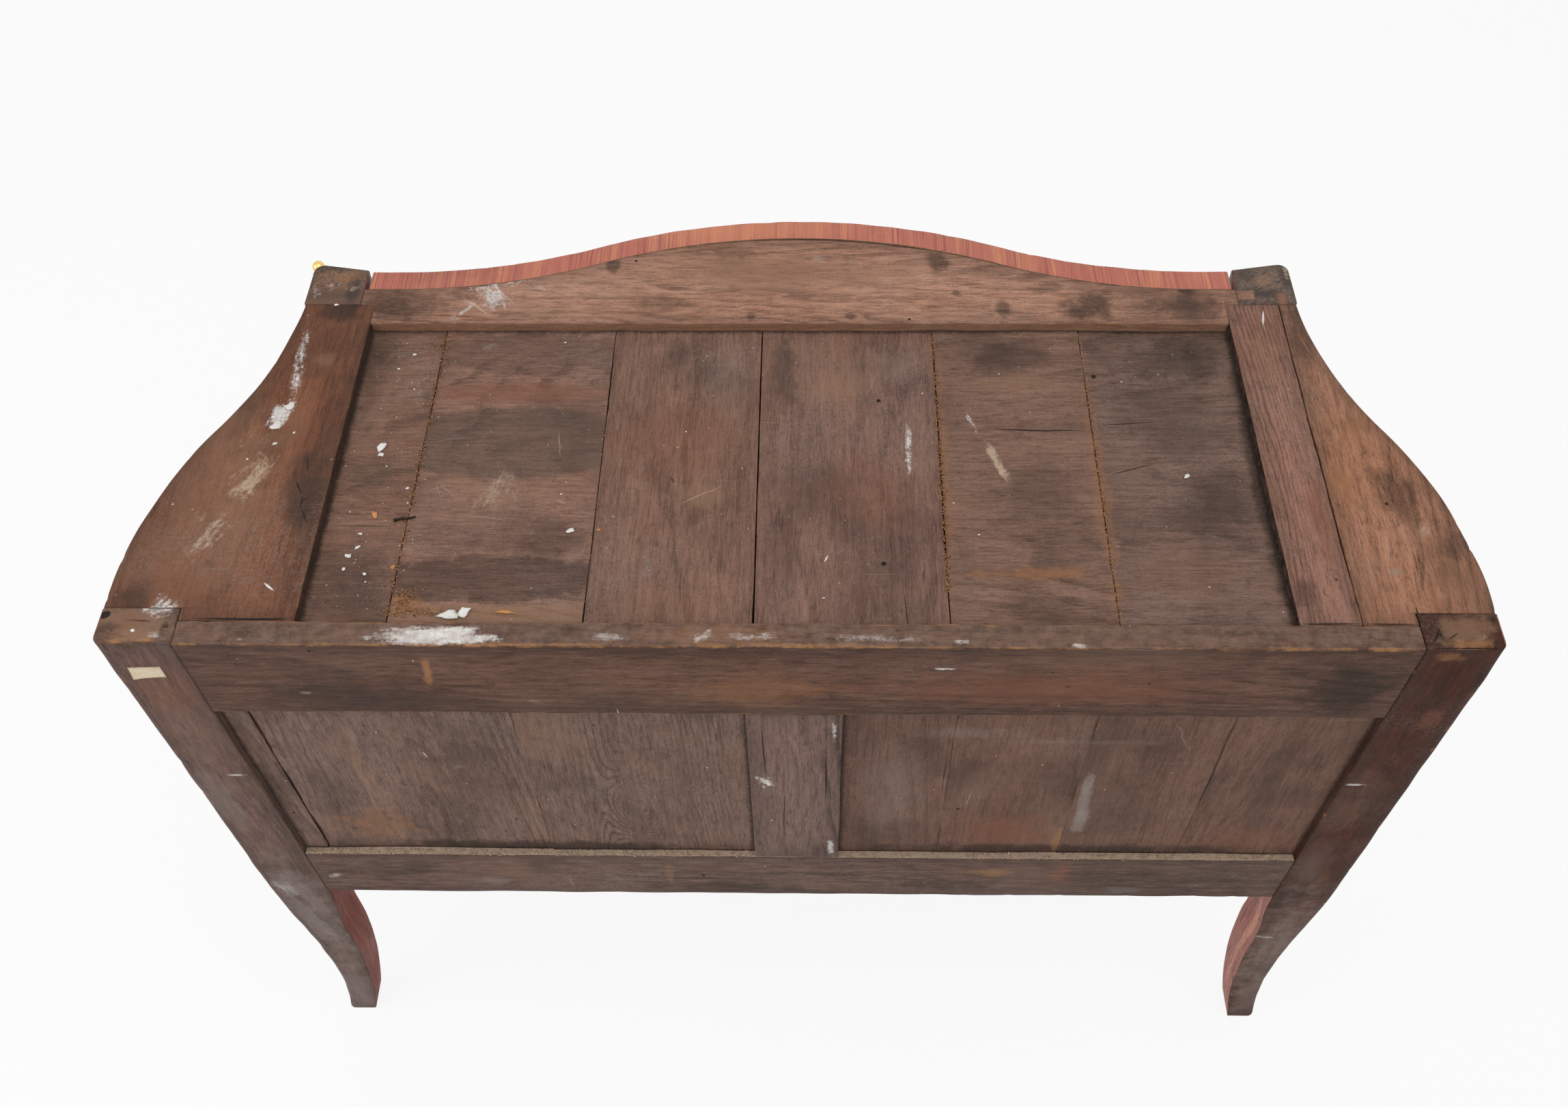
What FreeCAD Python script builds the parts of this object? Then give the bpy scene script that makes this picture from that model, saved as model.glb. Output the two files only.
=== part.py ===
import FreeCAD, Part
import Sketcher
import math
import os

# Driving dimensions in millimetres. Widths run across the case, depths run forward from the back
# plane and heights run up from the floor.
DIMENSIONS = {
    # case outline
    "case_height": 825.0,
    "rear_width": 1100.0,
    "front_width": 918.0,
    "case_depth": 494.0,
    "end_depth": 423.5,
    "bow_inflection": 190.0,
    "bow_half": 375.0,
    "side_curve_overrun": 22.0,
    "side_thickness": 20.0,
    "side_arch": 14.0,
    "case_body_height": 469.0,
    "side_skirt": 8.0,
    # rear posts with their legs
    "rear_post_width": 63.0,
    "rear_post_depth": 48.0,
    "rear_shelf_depth": 35.0,
    "rear_knee_rise": 19.0,
    "rear_ankle_height": 150.0,
    "rear_ankle_inset": 10.5,
    "rear_foot_flare": 15.0,
    "rear_inner_knee_drop": 6.0,
    "rear_inner_calf": 240.0,
    "rear_inner_step": 8.0,
    "rear_foot_width": 33.0,
    "rear_foot_depth": 36.0,
    "rear_taper_drop": 56.0,
    "rear_arris_radius": 8.0,
    # front posts with their legs
    "opening_width": 815.0,
    "front_post_depth": 45.5,
    "front_post_setback": 0.5,
    "front_post_slant": 8.0,
    "front_arris_radius": 9.0,
    "front_arris_bulge": 1.5,
    "front_knee_rise": 64.0,
    "front_ankle_height": 110.0,
    "front_ankle_inset": 17.5,
    "front_foot_flare": 13.0,
    "front_inner_knee_drop": 11.0,
    "front_inner_calf": 230.0,
    "front_inner_step": 8.0,
    "front_foot_size": 30.0,
    "template_margin": 1.0,
    "template_side_margin": 2.0,
    "template_reach": 8.0,
    # top frame and the boards let into it
    "frame_thickness": 22.0,
    "top_opening_width": 788.0,
    "front_rail_lip": 25.0,
    "left_strip_width": 49.0,
    "top_recess": 9.0,
    "top_board_thickness": 9.0,
    "groove_depth": 8.0,
    "groove_slack": 0.5,
    "board_gap": 0.8,
    "top_joint_a": 324.2,
    "top_joint_b": 167.2,
    "top_joint_c": 32.1,
    "top_joint_d": -123.9,
    "top_joint_e": -257.1,
    "lap_depth": 11.0,
    "rail_lap_length": 15.5,
    "rail_lap_width": 11.5,
    "rail_lap_setback": 6.0,
    "board_lap_length": 14.0,
    "board_lap_width": 9.0,
    "back_lap_length": 10.5,
    "back_lap_width": 13.0,
    "back_lap_setback": 3.0,
    "back_lap_flare": 2.5,
    # back frame
    "back_thickness": 23.0,
    "back_top_rail_height": 104.0,
    "back_bottom_rail_height": 88.0,
    "muntin_width": 82.0,
    "back_recess": 7.0,
    "back_board_thickness": 9.0,
    "back_board_right_a": 24.5,
    "back_board_right_b": 246.4,
    "back_board_left_a": 116.0,
    "back_board_left_b": 231.5,
    "back_board_left_c": 350.0,
    "tenon_length": 18.0,
    "tenon_thickness": 8.0,
    "tenon_shoulder": 10.0,
    # rails, runners and dust boards
    "front_thickness": 24.0,
    "front_gap": 1.0,
    "middle_rail_rise": 240.0,
    "bottom_rail_rise": 24.0,
    "apron_top_rise": 36.0,
    "apron_end_drop": 6.0,
    "apron_waist_half": 150.0,
    "apron_waist_rise": 8.0,
    "apron_point_drop": 16.0,
    "runner_inner": 350.0,
    "runner_gap": 0.4,
    "guide_width": 12.0,
    "guide_height": 20.0,
    "guide_clearance": 0.8,
    "dust_thickness": 8.0,
    # drawers
    "drawer_width": 809.0,
    "drawer_front_height": 213.0,
    "drawer_reveal": 1.5,
    "drawer_parting": 3.0,
    "drawer_lift": 0.3,
    "drawer_back_depth": 40.0,
    "drawer_side_height": 165.0,
    "drawer_side_thickness": 12.0,
    "drawer_back_thickness": 11.0,
    "drawer_back_drop": 8.0,
    "drawer_bottom_thickness": 7.0,
    "drawer_bottom_lift": 6.0,
    "drawer_groove": 5.0,
    "tail_length": 15.0,
    "tail_neck": 26.0,
    "tail_head": 34.0,
    # locks
    "lock_width": 72.0,
    "lock_height": 48.0,
    "lock_recess": 5.0,
    "lock_clearance": 3.0,
    "bolt_wall": 4.0,
    "bolt_width": 22.0,
    "bolt_thickness": 4.0,
    "bolt_height": 36.0,
    "bolt_slack": 0.4,
    "bolt_travel": 9.0,
    "lock_plate": 3.0,
    "keyhole_radius": 2.7,
    "keyhole_slot": 2.6,
    "keyhole_drop": 11.0,
    "keyhole_below_lock_top": 25.0,
    # gilt mounts
    "mount_seat": 0.2,
    "escutcheon_thickness": 4.0,
    "escutcheon_half_width": 19.0,
    "escutcheon_height": 66.0,
    "apron_mount_half_width": 52.0,
    "apron_mount_height": 46.0,
    "apron_mount_lobe_drop": 20.0,
    "chute_thickness": 4.0,
    "chute_margin": 10.0,
    "chute_length": 128.0,
    "chute_half_width": 16.0,
    "chute_waist": 8.0,
    "chute_drop": 1.0,
    "chute_left_drop": 12.0,
    "bead_radius": 5.8,
    "bead_stand_off": 0.3,
    "corner_template_depth": 180.0,
    "sabot_thickness": 2.6,
    "sabot_floor": 3.0,
    "sabot_height": 58.0,
    "sabot_peak": 22.0,
    # bail handles
    "handle_centre": 286.0,
    "handle_span": 112.0,
    "handle_rise": 12.0,
    "plate_radius": 20.0,
    "plate_seat": 0.5,
    "plate_rim": 2.0,
    "plate_boss_radius": 8.0,
    "plate_boss_rise": 3.0,
    "post_radius": 3.5,
    "post_reach": 18.0,
    "post_foot": 8.0,
    "head_radius": 6.0,
    "pin_radius": 1.8,
    "pin_slack": 0.3,
    "bail_radius": 2.6,
    "bail_bend": 14.0,
    "bail_drop": 44.0,
    "bail_side_gap": 0.6,
}

# Ratios by which the cast mounts take their outlines from their own height, length or half width.
CARTOUCHE = {
    "waist_ratio": 0.35,
    "waist_spread_ratio": 0.62,
    "shoulder_ratio": 0.72,
    "keyhole_ratio": 0.6,
    "foot_bend_ratio": 0.5,
    "side_bend_ratio": 0.45,
    "crown_bend_ratio": 1.25,
}
SHELL = {
    "crown_ratio": 0.9,
    "flank_ratio": 0.6,
    "foot_ratio": 0.2,
    "crown_bend_ratio": 0.25,
    "lobe_bend_ratio": 0.3,
    "foot_bend_ratio": 0.26,
}
CHUTE = {
    "knop_spread_ratio": 0.7,
    "knop_ratio": 0.62,
    "waist_ratio": 0.46,
    "shoulder_ratio": 0.16,
    "neck_spread_ratio": 0.5,
    "neck_ratio": 0.3,
    "tail_bend_ratio": 0.6,
    "knop_bend_ratio": 1.3,
    "waist_bend_ratio": 0.36,
}
SABOT_PEAK_RATIO = 0.35
TAILS = 3
DIAGONAL_ANGLE = 45
DIAGONAL = math.sqrt(0.5)

doc = FreeCAD.newDocument("commode")
sheet = doc.addObject("Spreadsheet::Sheet", "Sizes")
for row, (alias, value) in enumerate(DIMENSIONS.items(), start=1):
    sheet.set(f"A{row}", alias)
    sheet.set(f"B{row}", str(value))
    sheet.setAlias(f"B{row}", alias)
doc.recompute()


class Size:
    """A length known both as a number and as the sheet expression that yields it."""

    def __init__(self, value, text):
        self.value = float(value)
        self.text = text

    @staticmethod
    def of(item):
        if isinstance(item, Size):
            return item
        return Size(item, f"({float(item)!r})")

    def __add__(self, other):
        other = Size.of(other)
        return Size(self.value + other.value, f"({self.text} + {other.text})")

    def __sub__(self, other):
        other = Size.of(other)
        return Size(self.value - other.value, f"({self.text} - {other.text})")

    def __mul__(self, other):
        other = Size.of(other)
        return Size(self.value * other.value, f"({self.text} * {other.text})")

    def __truediv__(self, other):
        other = Size.of(other)
        return Size(self.value / other.value, f"({self.text} / {other.text})")

    def __neg__(self):
        return Size(-self.value, f"(0 - {self.text})")


def root(size):
    return Size(math.sqrt(size.value), f"sqrt({size.text})")


def arc_tangent(size):
    return Size(math.degrees(math.atan(size.value)), f"atan({size.text})")


def size_of(alias):
    return Size(float(sheet.get(alias)), f"Sizes.{alias}")


D = {alias: size_of(alias) for alias in DIMENSIONS}
ZERO = Size.of(0)

# The origin stands on the floor under the middle of the overall box, whose front is the escutcheon.
back = (D["case_depth"] + D["mount_seat"] + D["escutcheon_thickness"]) / 2
rear_half = D["rear_width"] / 2
front_half = D["front_width"] / 2
opening_half = D["opening_width"] / 2
drawer_half = D["drawer_width"] / 2
top_half = D["top_opening_width"] / 2
muntin_half = D["muntin_width"] / 2
rear_inner = rear_half - D["rear_post_width"]
frame_bottom = D["case_height"] - D["frame_thickness"]
top_surface = D["case_height"] - D["top_recess"]
top_underside = top_surface - D["top_board_thickness"]
lap_bottom = D["case_height"] - D["lap_depth"]
back_rail_bottom = D["case_height"] - D["back_top_rail_height"]
underside = D["case_height"] - D["case_body_height"]
side_underside = underside - D["side_skirt"]
back_rail_top = underside + D["back_bottom_rail_height"]
middle_rail_low = underside + D["middle_rail_rise"]
bottom_rail_low = underside + D["bottom_rail_rise"]
apron_top = underside + D["apron_top_rise"]
apron_end = underside - D["apron_end_drop"]
apron_waist = underside + D["apron_waist_rise"]
apron_point = underside - D["apron_point_drop"]
rear_knee = underside + D["rear_knee_rise"]
rear_inner_knee = underside - D["rear_inner_knee_drop"]
rear_taper = underside - D["rear_taper_drop"]
front_knee = underside + D["front_knee_rise"]
front_inner_knee = underside - D["front_inner_knee_drop"]
front_post_back = D["end_depth"] - D["front_post_depth"]
front_post_inner_depth = D["end_depth"] - D["front_post_setback"]
front_post_outer_depth = front_post_inner_depth + D["front_post_slant"]
front_rail_back = front_post_back - D["front_rail_lip"]
side_curve_end = front_post_back + D["side_curve_overrun"]
board_entry = D["groove_depth"] - D["groove_slack"]


def s_radius(run, rise, share):
    """Radius of one arc of a two-arc reverse curve that starts and ends parallel."""
    return share * (run * run + rise * rise) / (run * rise * 2)


def blend_radius(run, rise):
    """Radius of an arc that leaves a straight edge and drifts sideways by rise over run."""
    return (run * run + rise * rise) / (rise * 2)


# The bowed front: flat ends, hollow shoulders and a swelling middle.
bow_rise = D["case_depth"] - D["end_depth"]
bow_depth = D["case_depth"] - bow_rise * D["bow_inflection"] / D["bow_half"]
bow_radius = s_radius(D["bow_half"], bow_rise, D["bow_inflection"])
hollow_radius = s_radius(D["bow_half"], bow_rise, D["bow_half"] - D["bow_inflection"])

# The side: a reverse curve from the rear post to the narrower front post.
side_run = side_curve_end - D["rear_post_depth"]
side_rise = rear_half - front_half
side_radius = s_radius(side_run, side_rise, side_run / 2)
side_middle_x = (rear_half + front_half) / 2
side_middle_depth = D["rear_post_depth"] + side_run / 2
side_tail = side_curve_end - front_post_back
side_at_post = front_half + side_radius - root(side_radius * side_radius - side_tail * side_tail)

pieces = []


def bind(target, name, size):
    target.setExpression(name, size.text)


def keep(piece, label):
    """Names a finished sub-part and puts it on the list of pieces to write out."""
    piece.Label = label
    pieces.append(piece)
    return piece


def at(x, depth, *arc):
    """A plan point at a width and a depth from the back plane."""
    return (Size.of(x), back - depth, *arc)


def add_edge(sketch, begin, finish):
    """Adds the line or arc that reaches a corner, and gives it with the numbers of its two ends."""
    start = FreeCAD.Vector(begin[0].value, begin[1].value, 0)
    stop = FreeCAD.Vector(finish[0].value, finish[1].value, 0)
    if len(finish) == 2:
        return sketch.addGeometry(Part.LineSegment(start, stop), False), 1, 2
    radius, turn = finish[2:]
    chord = stop - start
    lean = FreeCAD.Vector(-chord.y, chord.x, 0).normalize()
    lean = lean * math.sqrt(radius.value ** 2 - chord.Length ** 2 / 4)
    centre = (start + stop) / 2 + (lean if turn == "left" else -lean)
    first, last = (start, stop) if turn == "left" else (stop, start)
    angles = [math.atan2(p.y - centre.y, p.x - centre.x) for p in (first, last)]
    circle = Part.Circle(centre, FreeCAD.Vector(0, 0, 1), radius.value)
    edge = sketch.addGeometry(Part.ArcOfCircle(circle, *angles), False)
    limit(sketch, Sketcher.Constraint("Radius", edge, radius.value), radius)
    return (edge, 1, 2) if turn == "left" else (edge, 2, 1)


def hook(sketch, ends, following):
    """Joins the end of each edge to the start of the one that follows it."""
    for (edge, _, stop), (other, start, _) in zip(ends, following):
        sketch.addConstraint(Sketcher.Constraint("Coincident", edge, stop, other, start))


def draw(sketch, outline):
    """Draws a closed outline of corners (x, y), or (x, y, radius, turn) reached by an arc."""
    ends = [add_edge(sketch, *corners) for corners in zip(outline[-1:] + outline[:-1], outline)]
    hook(sketch, ends, ends[1:] + ends[:1])
    for (edge, _, stop), corner in zip(ends, outline):
        pin_point(sketch, edge, stop, corner[0], corner[1])


def trace(sketch, points):
    """Draws an open path of the same corners."""
    ends = [add_edge(sketch, *corners) for corners in zip(points, points[1:])]
    hook(sketch, ends, ends[1:])
    pin_point(sketch, ends[0][0], ends[0][1], points[0][0], points[0][1])
    for (edge, _, stop), corner in zip(ends, points[1:]):
        pin_point(sketch, edge, stop, corner[0], corner[1])


def limit(sketch, constraint, size):
    index = sketch.addConstraint(constraint)
    sketch.setExpression(f"Constraints[{index}]", size.text)


def pin_point(sketch, edge, end, x, y):
    limit(sketch, Sketcher.Constraint("DistanceX", -1, 1, edge, end, x.value), x)
    limit(sketch, Sketcher.Constraint("DistanceY", -1, 1, edge, end, y.value), y)


VIEWS = {"plan": ("XY_Plane", "z"), "front": ("XZ_Plane", "y"), "side": ("YZ_Plane", "x")}


def sketch_in(body, view, name):
    sketch = body.newObject("Sketcher::SketchObject", name)
    role = VIEWS[view][0]
    plane = [item for item in body.Origin.OriginFeatures if item.Role == role][0]
    sketch.AttachmentSupport = [(plane, "")]
    sketch.MapMode = "FlatFace"
    return sketch


def prism(name, view, outline, start, length):
    """An outline drawn in one view and sawn through: up in plan, forward in front, +X in side."""
    body = doc.addObject("PartDesign::Body", name)
    sketch = sketch_in(body, view, name + "_outline")
    draw(sketch, outline)
    pad = body.newObject("PartDesign::Pad", name + "_pad")
    pad.Profile = sketch
    bind(pad, "Length", length)
    bind(body, "Placement.Base." + VIEWS[view][1], start)
    return body


def turned(name, axis, *outlines):
    """One or more profiles turned about the X axis (H_Axis) or the Y axis (V_Axis)."""
    body = doc.addObject("PartDesign::Body", name)
    sketch = sketch_in(body, "plan", name + "_profile")
    for outline in outlines:
        draw(sketch, outline)
    turn = body.newObject("PartDesign::Revolution", name + "_turn")
    turn.Profile = sketch
    turn.ReferenceAxis = (sketch, [axis])
    return body


def place(target, x, y, z, angle=ZERO):
    bind(target, "Placement.Base.x", Size.of(x))
    bind(target, "Placement.Base.y", Size.of(y))
    bind(target, "Placement.Base.z", Size.of(z))
    bind(target, "Placement.Rotation.Angle", angle)


def box(name, x, depth, z):
    """A block between two widths, two depths from the back plane and two heights."""
    block = doc.addObject("Part::Box", name)
    x = [Size.of(edge) for edge in x]
    z = [Size.of(edge) for edge in z]
    bind(block, "Length", x[1] - x[0])
    bind(block, "Width", Size.of(depth[1]) - depth[0])
    bind(block, "Height", z[1] - z[0])
    bind(block, "Placement.Base.x", x[0])
    bind(block, "Placement.Base.y", back - depth[1])
    bind(block, "Placement.Base.z", z[0])
    return block


def joined(name, shapes):
    result = doc.addObject("Part::MultiFuse", name)
    result.Shapes = shapes
    return result


def shared(name, shapes):
    result = doc.addObject("Part::MultiCommon", name)
    result.Shapes = shapes
    return result


def cut(name, base, tools):
    result = doc.addObject("Part::Cut", name)
    result.Base = base
    result.Tool = tools[0] if len(tools) == 1 else joined(name + "_cutters", tools)
    return result


def grouped(name, shapes):
    result = doc.addObject("Part::Compound", name)
    result.Links = shapes
    return result


def mirrored(name, source):
    result = doc.addObject("Part::Mirroring", name)
    result.Source = source
    result.Normal = FreeCAD.Vector(1, 0, 0)
    return result


def front_path(half, inset, leftward=False):
    """Points along the bowed front, set back by inset, from one end to the other."""
    sign, outer, inner = (-1, "left", "right") if leftward else (1, "right", "left")
    ends = D["end_depth"] - inset
    knee = bow_depth - inset
    return [
        at(half * -sign, ends),
        at(D["bow_half"] * -sign, ends),
        at(D["bow_inflection"] * -sign, knee, hollow_radius, outer),
        at(D["bow_inflection"] * sign, knee, bow_radius, inner),
        at(D["bow_half"] * sign, ends, hollow_radius, outer),
        at(half * sign, ends),
    ]


def side_path(inset):
    """Points along the right side, front to rear, set in from the outer face."""
    return [
        at(side_at_post - inset, front_post_back),
        at(side_middle_x - inset, side_middle_depth, side_radius, "right"),
        at(rear_half - inset, D["rear_post_depth"], side_radius, "left"),
    ]


def front_band(name, half, z, inset=ZERO):
    """A board bent to the front's curve, between two heights."""
    rear = D["front_thickness"] + inset
    outline = front_path(half, inset) + front_path(half, rear, leftward=True)
    return prism(name, "plan", outline, z[0], z[1] - z[0])


def rail_outline():
    """A frame rail behind the drawer fronts, shouldered round the front posts."""
    inset = D["front_thickness"] + D["front_gap"]
    return front_path(opening_half, inset) + [
        at(opening_half, front_post_back),
        at(top_half, front_post_back),
        at(top_half, front_rail_back),
        at(-top_half, front_rail_back),
        at(-top_half, front_post_back),
        at(-opening_half, front_post_back),
    ]


def tenon_pair(name, shoulder, depth, z):
    """Tenons on both ends of a rail whose shoulders stand at a half width."""
    reach = shoulder + D["tenon_length"]
    return [
        box(name + "_right", (shoulder, reach), depth, z),
        box(name + "_left", (-reach, -shoulder), depth, z),
    ]


def back_tenon_depth():
    start = D["back_recess"]
    return (start, start + D["tenon_thickness"])


def make_back_frame():
    """Two rails and a muntin, grooved for the back boards and tenoned together."""
    depth = (ZERO, D["back_thickness"])
    groove = (D["back_recess"], D["back_recess"] + D["back_board_thickness"])
    tenon = back_tenon_depth()
    shoulder = D["tenon_shoulder"]
    top = (back_rail_bottom, D["case_height"])
    low = (underside, back_rail_top)
    top_tenons = tenon_pair("back_top_tenon", rear_inner, tenon,
                            (top[0] + D["groove_depth"], lap_bottom - shoulder))
    low_tenons = tenon_pair("back_low_tenon", rear_inner, tenon,
                            (low[0] + shoulder, low[1] - D["groove_depth"]))
    lap_start = D["back_lap_setback"]
    lap_end = lap_start + D["back_lap_width"]
    lap = prism("back_lap", "plan", [
        at(rear_inner, lap_start + D["back_lap_flare"]),
        at(rear_inner, lap_end),
        at(rear_inner + D["back_lap_length"], lap_end),
        at(rear_inner + D["back_lap_length"], lap_start),
    ], lap_bottom, D["lap_depth"])
    muntin_tenon = muntin_half - D["tenon_shoulder"]
    muntin_tenons = [
        box("muntin_tenon_top", (-muntin_tenon, muntin_tenon), tenon,
            (top[0], top[0] + D["tenon_length"])),
        box("muntin_tenon_low", (-muntin_tenon, muntin_tenon), tenon,
            (low[1] - D["tenon_length"], low[1])),
    ]
    span = (-rear_inner, rear_inner)
    top_blank = joined("back_top_blank", [box("back_top_board", span, depth, top), lap] + top_tenons)
    low_blank = joined("back_low_blank", [box("back_low_board", span, depth, low)] + low_tenons)
    top_groove = box("back_top_groove", span, groove, (top[0], top[0] + D["groove_depth"]))
    low_groove = box("back_low_groove", span, groove, (low[1] - D["groove_depth"], low[1]))
    ploughed_half = top_half + D["groove_depth"]
    ledge = box("back_top_plough", (-ploughed_half, ploughed_half),
                (D["back_thickness"] - D["groove_depth"], D["back_thickness"]),
                (top_underside, top_surface))
    keep(cut("back_top_rail", top_blank, [top_groove, ledge, muntin_tenons[0]]), "back_top_rail")
    keep(cut("back_bottom_rail", low_blank, [low_groove, muntin_tenons[1]]), "back_bottom_rail")
    stile = box("muntin_board", (-muntin_half, muntin_half), depth, (low[1], top[0]))
    ploughs = [
        box("muntin_groove_right", (muntin_half - D["groove_depth"], muntin_half), groove, (low[1], top[0])),
        box("muntin_groove_left", (-muntin_half, -muntin_half + D["groove_depth"]), groove, (low[1], top[0])),
    ]
    ploughed = cut("muntin_ploughed", stile, ploughs)
    keep(joined("back_muntin", [ploughed] + muntin_tenons), "back_muntin")
    return {"tenons": [top_tenons[0], low_tenons[0]], "lap": lap, "groove": groove}


def board_row(name, edges, depth, z):
    """Boards side by side from right to left, with a narrow open joint between neighbours."""
    half_gap = D["board_gap"] / 2
    boards = []
    last = len(edges) - 2
    for index, (right, left) in enumerate(zip(edges, edges[1:])):
        x_left = left if index == last else left + half_gap
        x_right = right if index == 0 else right - half_gap
        boards.append(box(f"{name}_{index + 1}", (x_left, x_right), depth, z))
    return boards


def make_back_panels():
    """Upright boards filling the two openings of the back frame."""
    depth = (D["back_recess"], D["back_recess"] + D["back_board_thickness"])
    z = (back_rail_top - board_entry, back_rail_bottom + board_entry)
    inner = muntin_half - board_entry
    outer = rear_inner + board_entry
    right_joints = [rear_inner - D["back_board_right_" + letter] for letter in "ab"]
    left_joints = [D["back_board_left_" + letter] - rear_inner for letter in "cba"]
    right = [outer] + right_joints + [inner]
    left = [-inner] + left_joints + [-outer]
    keep(grouped("back_panel_right", board_row("back_board_right", right, depth, z)), "back_panel_right")
    keep(grouped("back_panel_left", board_row("back_board_left", left, depth, z)), "back_panel_left")


def round_rear_arris(leg):
    """Rounds the outer edge up the back of a rear leg, from the foot to the top of the post."""
    doc.recompute()
    middle = rear_half.value - D["rear_post_width"].value / 2
    chosen = []
    for number, edge in enumerate(leg.Shape.Edges, start=1):
        low, high = [point.Point for point in (edge.Vertexes[0], edge.Vertexes[-1])]
        upright = abs(high.z - low.z) > D["template_margin"].value
        behind = min(low.y, high.y) > back.value - D["template_margin"].value
        if upright and behind and (low.x + high.x) / 2 > middle:
            chosen.append(number)
    radius = D["rear_arris_radius"].value
    rounded = doc.addObject("Part::Fillet", "rear_leg_rounded")
    rounded.Base = leg
    rounded.Edges = [(number, radius, radius) for number in chosen]
    return rounded


def make_rear_posts(joints):
    """Posts running down into sabre legs, sawn to one profile from behind and one from the side."""
    top = D["case_height"]
    ankle = D["rear_ankle_height"]
    run = rear_knee - ankle
    bend = s_radius(run, D["rear_ankle_inset"], run / 2)
    ankle_x = rear_half - D["rear_ankle_inset"]
    foot_x = ankle_x + D["rear_foot_flare"]
    calf = D["rear_inner_calf"]
    step_run = rear_inner_knee - calf
    step_bend = s_radius(step_run, D["rear_inner_step"], step_run / 2)
    calf_x = rear_inner + D["rear_inner_step"]
    toe_x = foot_x - D["rear_foot_width"]
    rear_view = [
        (rear_inner, top),
        (rear_inner, rear_inner_knee),
        (rear_inner + D["rear_inner_step"] / 2, calf + step_run / 2, step_bend, "left"),
        (calf_x, calf, step_bend, "right"),
        (toe_x, ZERO, blend_radius(calf, toe_x - calf_x), "left"),
        (foot_x, ZERO),
        (ankle_x, ankle, blend_radius(ankle, D["rear_foot_flare"]), "right"),
        (rear_half - D["rear_ankle_inset"] / 2, ankle + run / 2, bend, "right"),
        (rear_half, rear_knee, bend, "left"),
        (rear_half, top),
    ]
    taper = D["rear_post_depth"] - D["rear_foot_depth"]
    side_view = [
        (back, top),
        (back, ZERO),
        (back - D["rear_foot_depth"], ZERO),
        (back - D["rear_post_depth"], rear_taper,
         blend_radius(rear_taper, taper), "right"),
        (back - D["rear_post_depth"], top),
    ]
    reach = D["rear_post_depth"] + D["template_margin"]
    seen_from_behind = prism("rear_leg_front_template", "front", rear_view, back, reach)
    seen_from_side = prism("rear_leg_side_template", "side", side_view,
                           rear_inner - D["template_margin"],
                           D["rear_post_width"] + D["rear_foot_flare"] + D["template_margin"] * 2)
    sawn = shared("rear_leg_sawn", [seen_from_behind, seen_from_side])
    shelf = box("rear_shelf", (rear_inner, rear_half), (D["rear_shelf_depth"], D["rear_post_depth"]),
                (frame_bottom, top))
    groove = box("rear_post_groove", (rear_inner, rear_inner + D["groove_depth"]), joints["groove"],
                 (back_rail_top - D["groove_depth"], back_rail_bottom + D["groove_depth"]))
    rounded = round_rear_arris(sawn)
    blank = cut("rear_post_blank", rounded, [shelf, groove, side_tongues()[0]] + joints["tenons"])
    keep(cut("rear_post_right", blank, [joints["lap"]]), "rear_post_right")
    keep(mirrored("rear_post_left", blank), "rear_post_left")


def side_tongues():
    """Upright tongues on the rear and front edges of a side panel."""
    names = ("side_tongue_rear", "side_tongue_front")
    found = [doc.getObject(name) for name in names]
    if all(found):
        return found
    inset = (D["side_thickness"] - D["tenon_thickness"]) / 2
    z = (bottom_rail_low, frame_bottom - D["tenon_shoulder"])
    rear_x = rear_half - inset
    front_x = side_at_post - inset
    rear_depth = D["rear_post_depth"]
    front_depth = front_post_back
    return [
        box(names[0], (rear_x - D["tenon_thickness"], rear_x), (rear_depth - D["groove_depth"], rear_depth), z),
        box(names[1], (front_x - D["tenon_thickness"], front_x),
            (front_depth, front_depth + D["groove_depth"]), z),
    ]


def front_leg_views(grow, top, foot):
    """Front and side profiles of a cabriole front leg, grown outwards all round by grow."""
    ankle = D["front_ankle_height"]
    run = front_knee - ankle
    calf = D["front_inner_calf"]
    step = D["front_inner_step"]
    step_run = front_inner_knee - calf
    bend = s_radius(run, D["front_ankle_inset"], run / 2)
    step_bend = s_radius(step_run, step, step_run / 2)
    floor = D["sabot_floor"]
    views = []
    corners = (
        (opening_half, front_half + D["template_side_margin"]),
        (front_post_back, front_post_outer_depth + D["template_margin"]),
    )
    for inner, outer in corners:
        inner = inner - grow
        outer = outer + grow
        ankle_edge = outer - D["front_ankle_inset"]
        foot_edge = ankle_edge + D["front_foot_flare"]
        toe_edge = foot_edge - D["front_foot_size"] - grow * 2
        calf_edge = inner + step
        toe_bend = blend_radius(calf - floor, toe_edge - calf_edge)
        foot_bend = blend_radius(ankle - floor, D["front_foot_flare"])
        views.append([
            (inner, top),
            (inner, front_inner_knee),
            (inner + step / 2, calf + step_run / 2, step_bend, "left"),
            (calf_edge, calf, step_bend, "right"),
            (toe_edge, floor, toe_bend, "left"),
            (toe_edge, foot),
            (foot_edge, foot),
            (foot_edge, floor),
            (ankle_edge, ankle, foot_bend, "right"),
            (outer - D["front_ankle_inset"] / 2, ankle + run / 2, bend, "right"),
            (outer, front_knee, bend, "left"),
            (outer, top),
        ])
    return views


def without_repeats(outline):
    """Drops a corner that falls on the one before it."""
    kept = []
    for corner in outline:
        if kept and corner[0].value == kept[-1][0].value and corner[1].value == kept[-1][1].value:
            continue
        kept.append(corner)
    return kept


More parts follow.
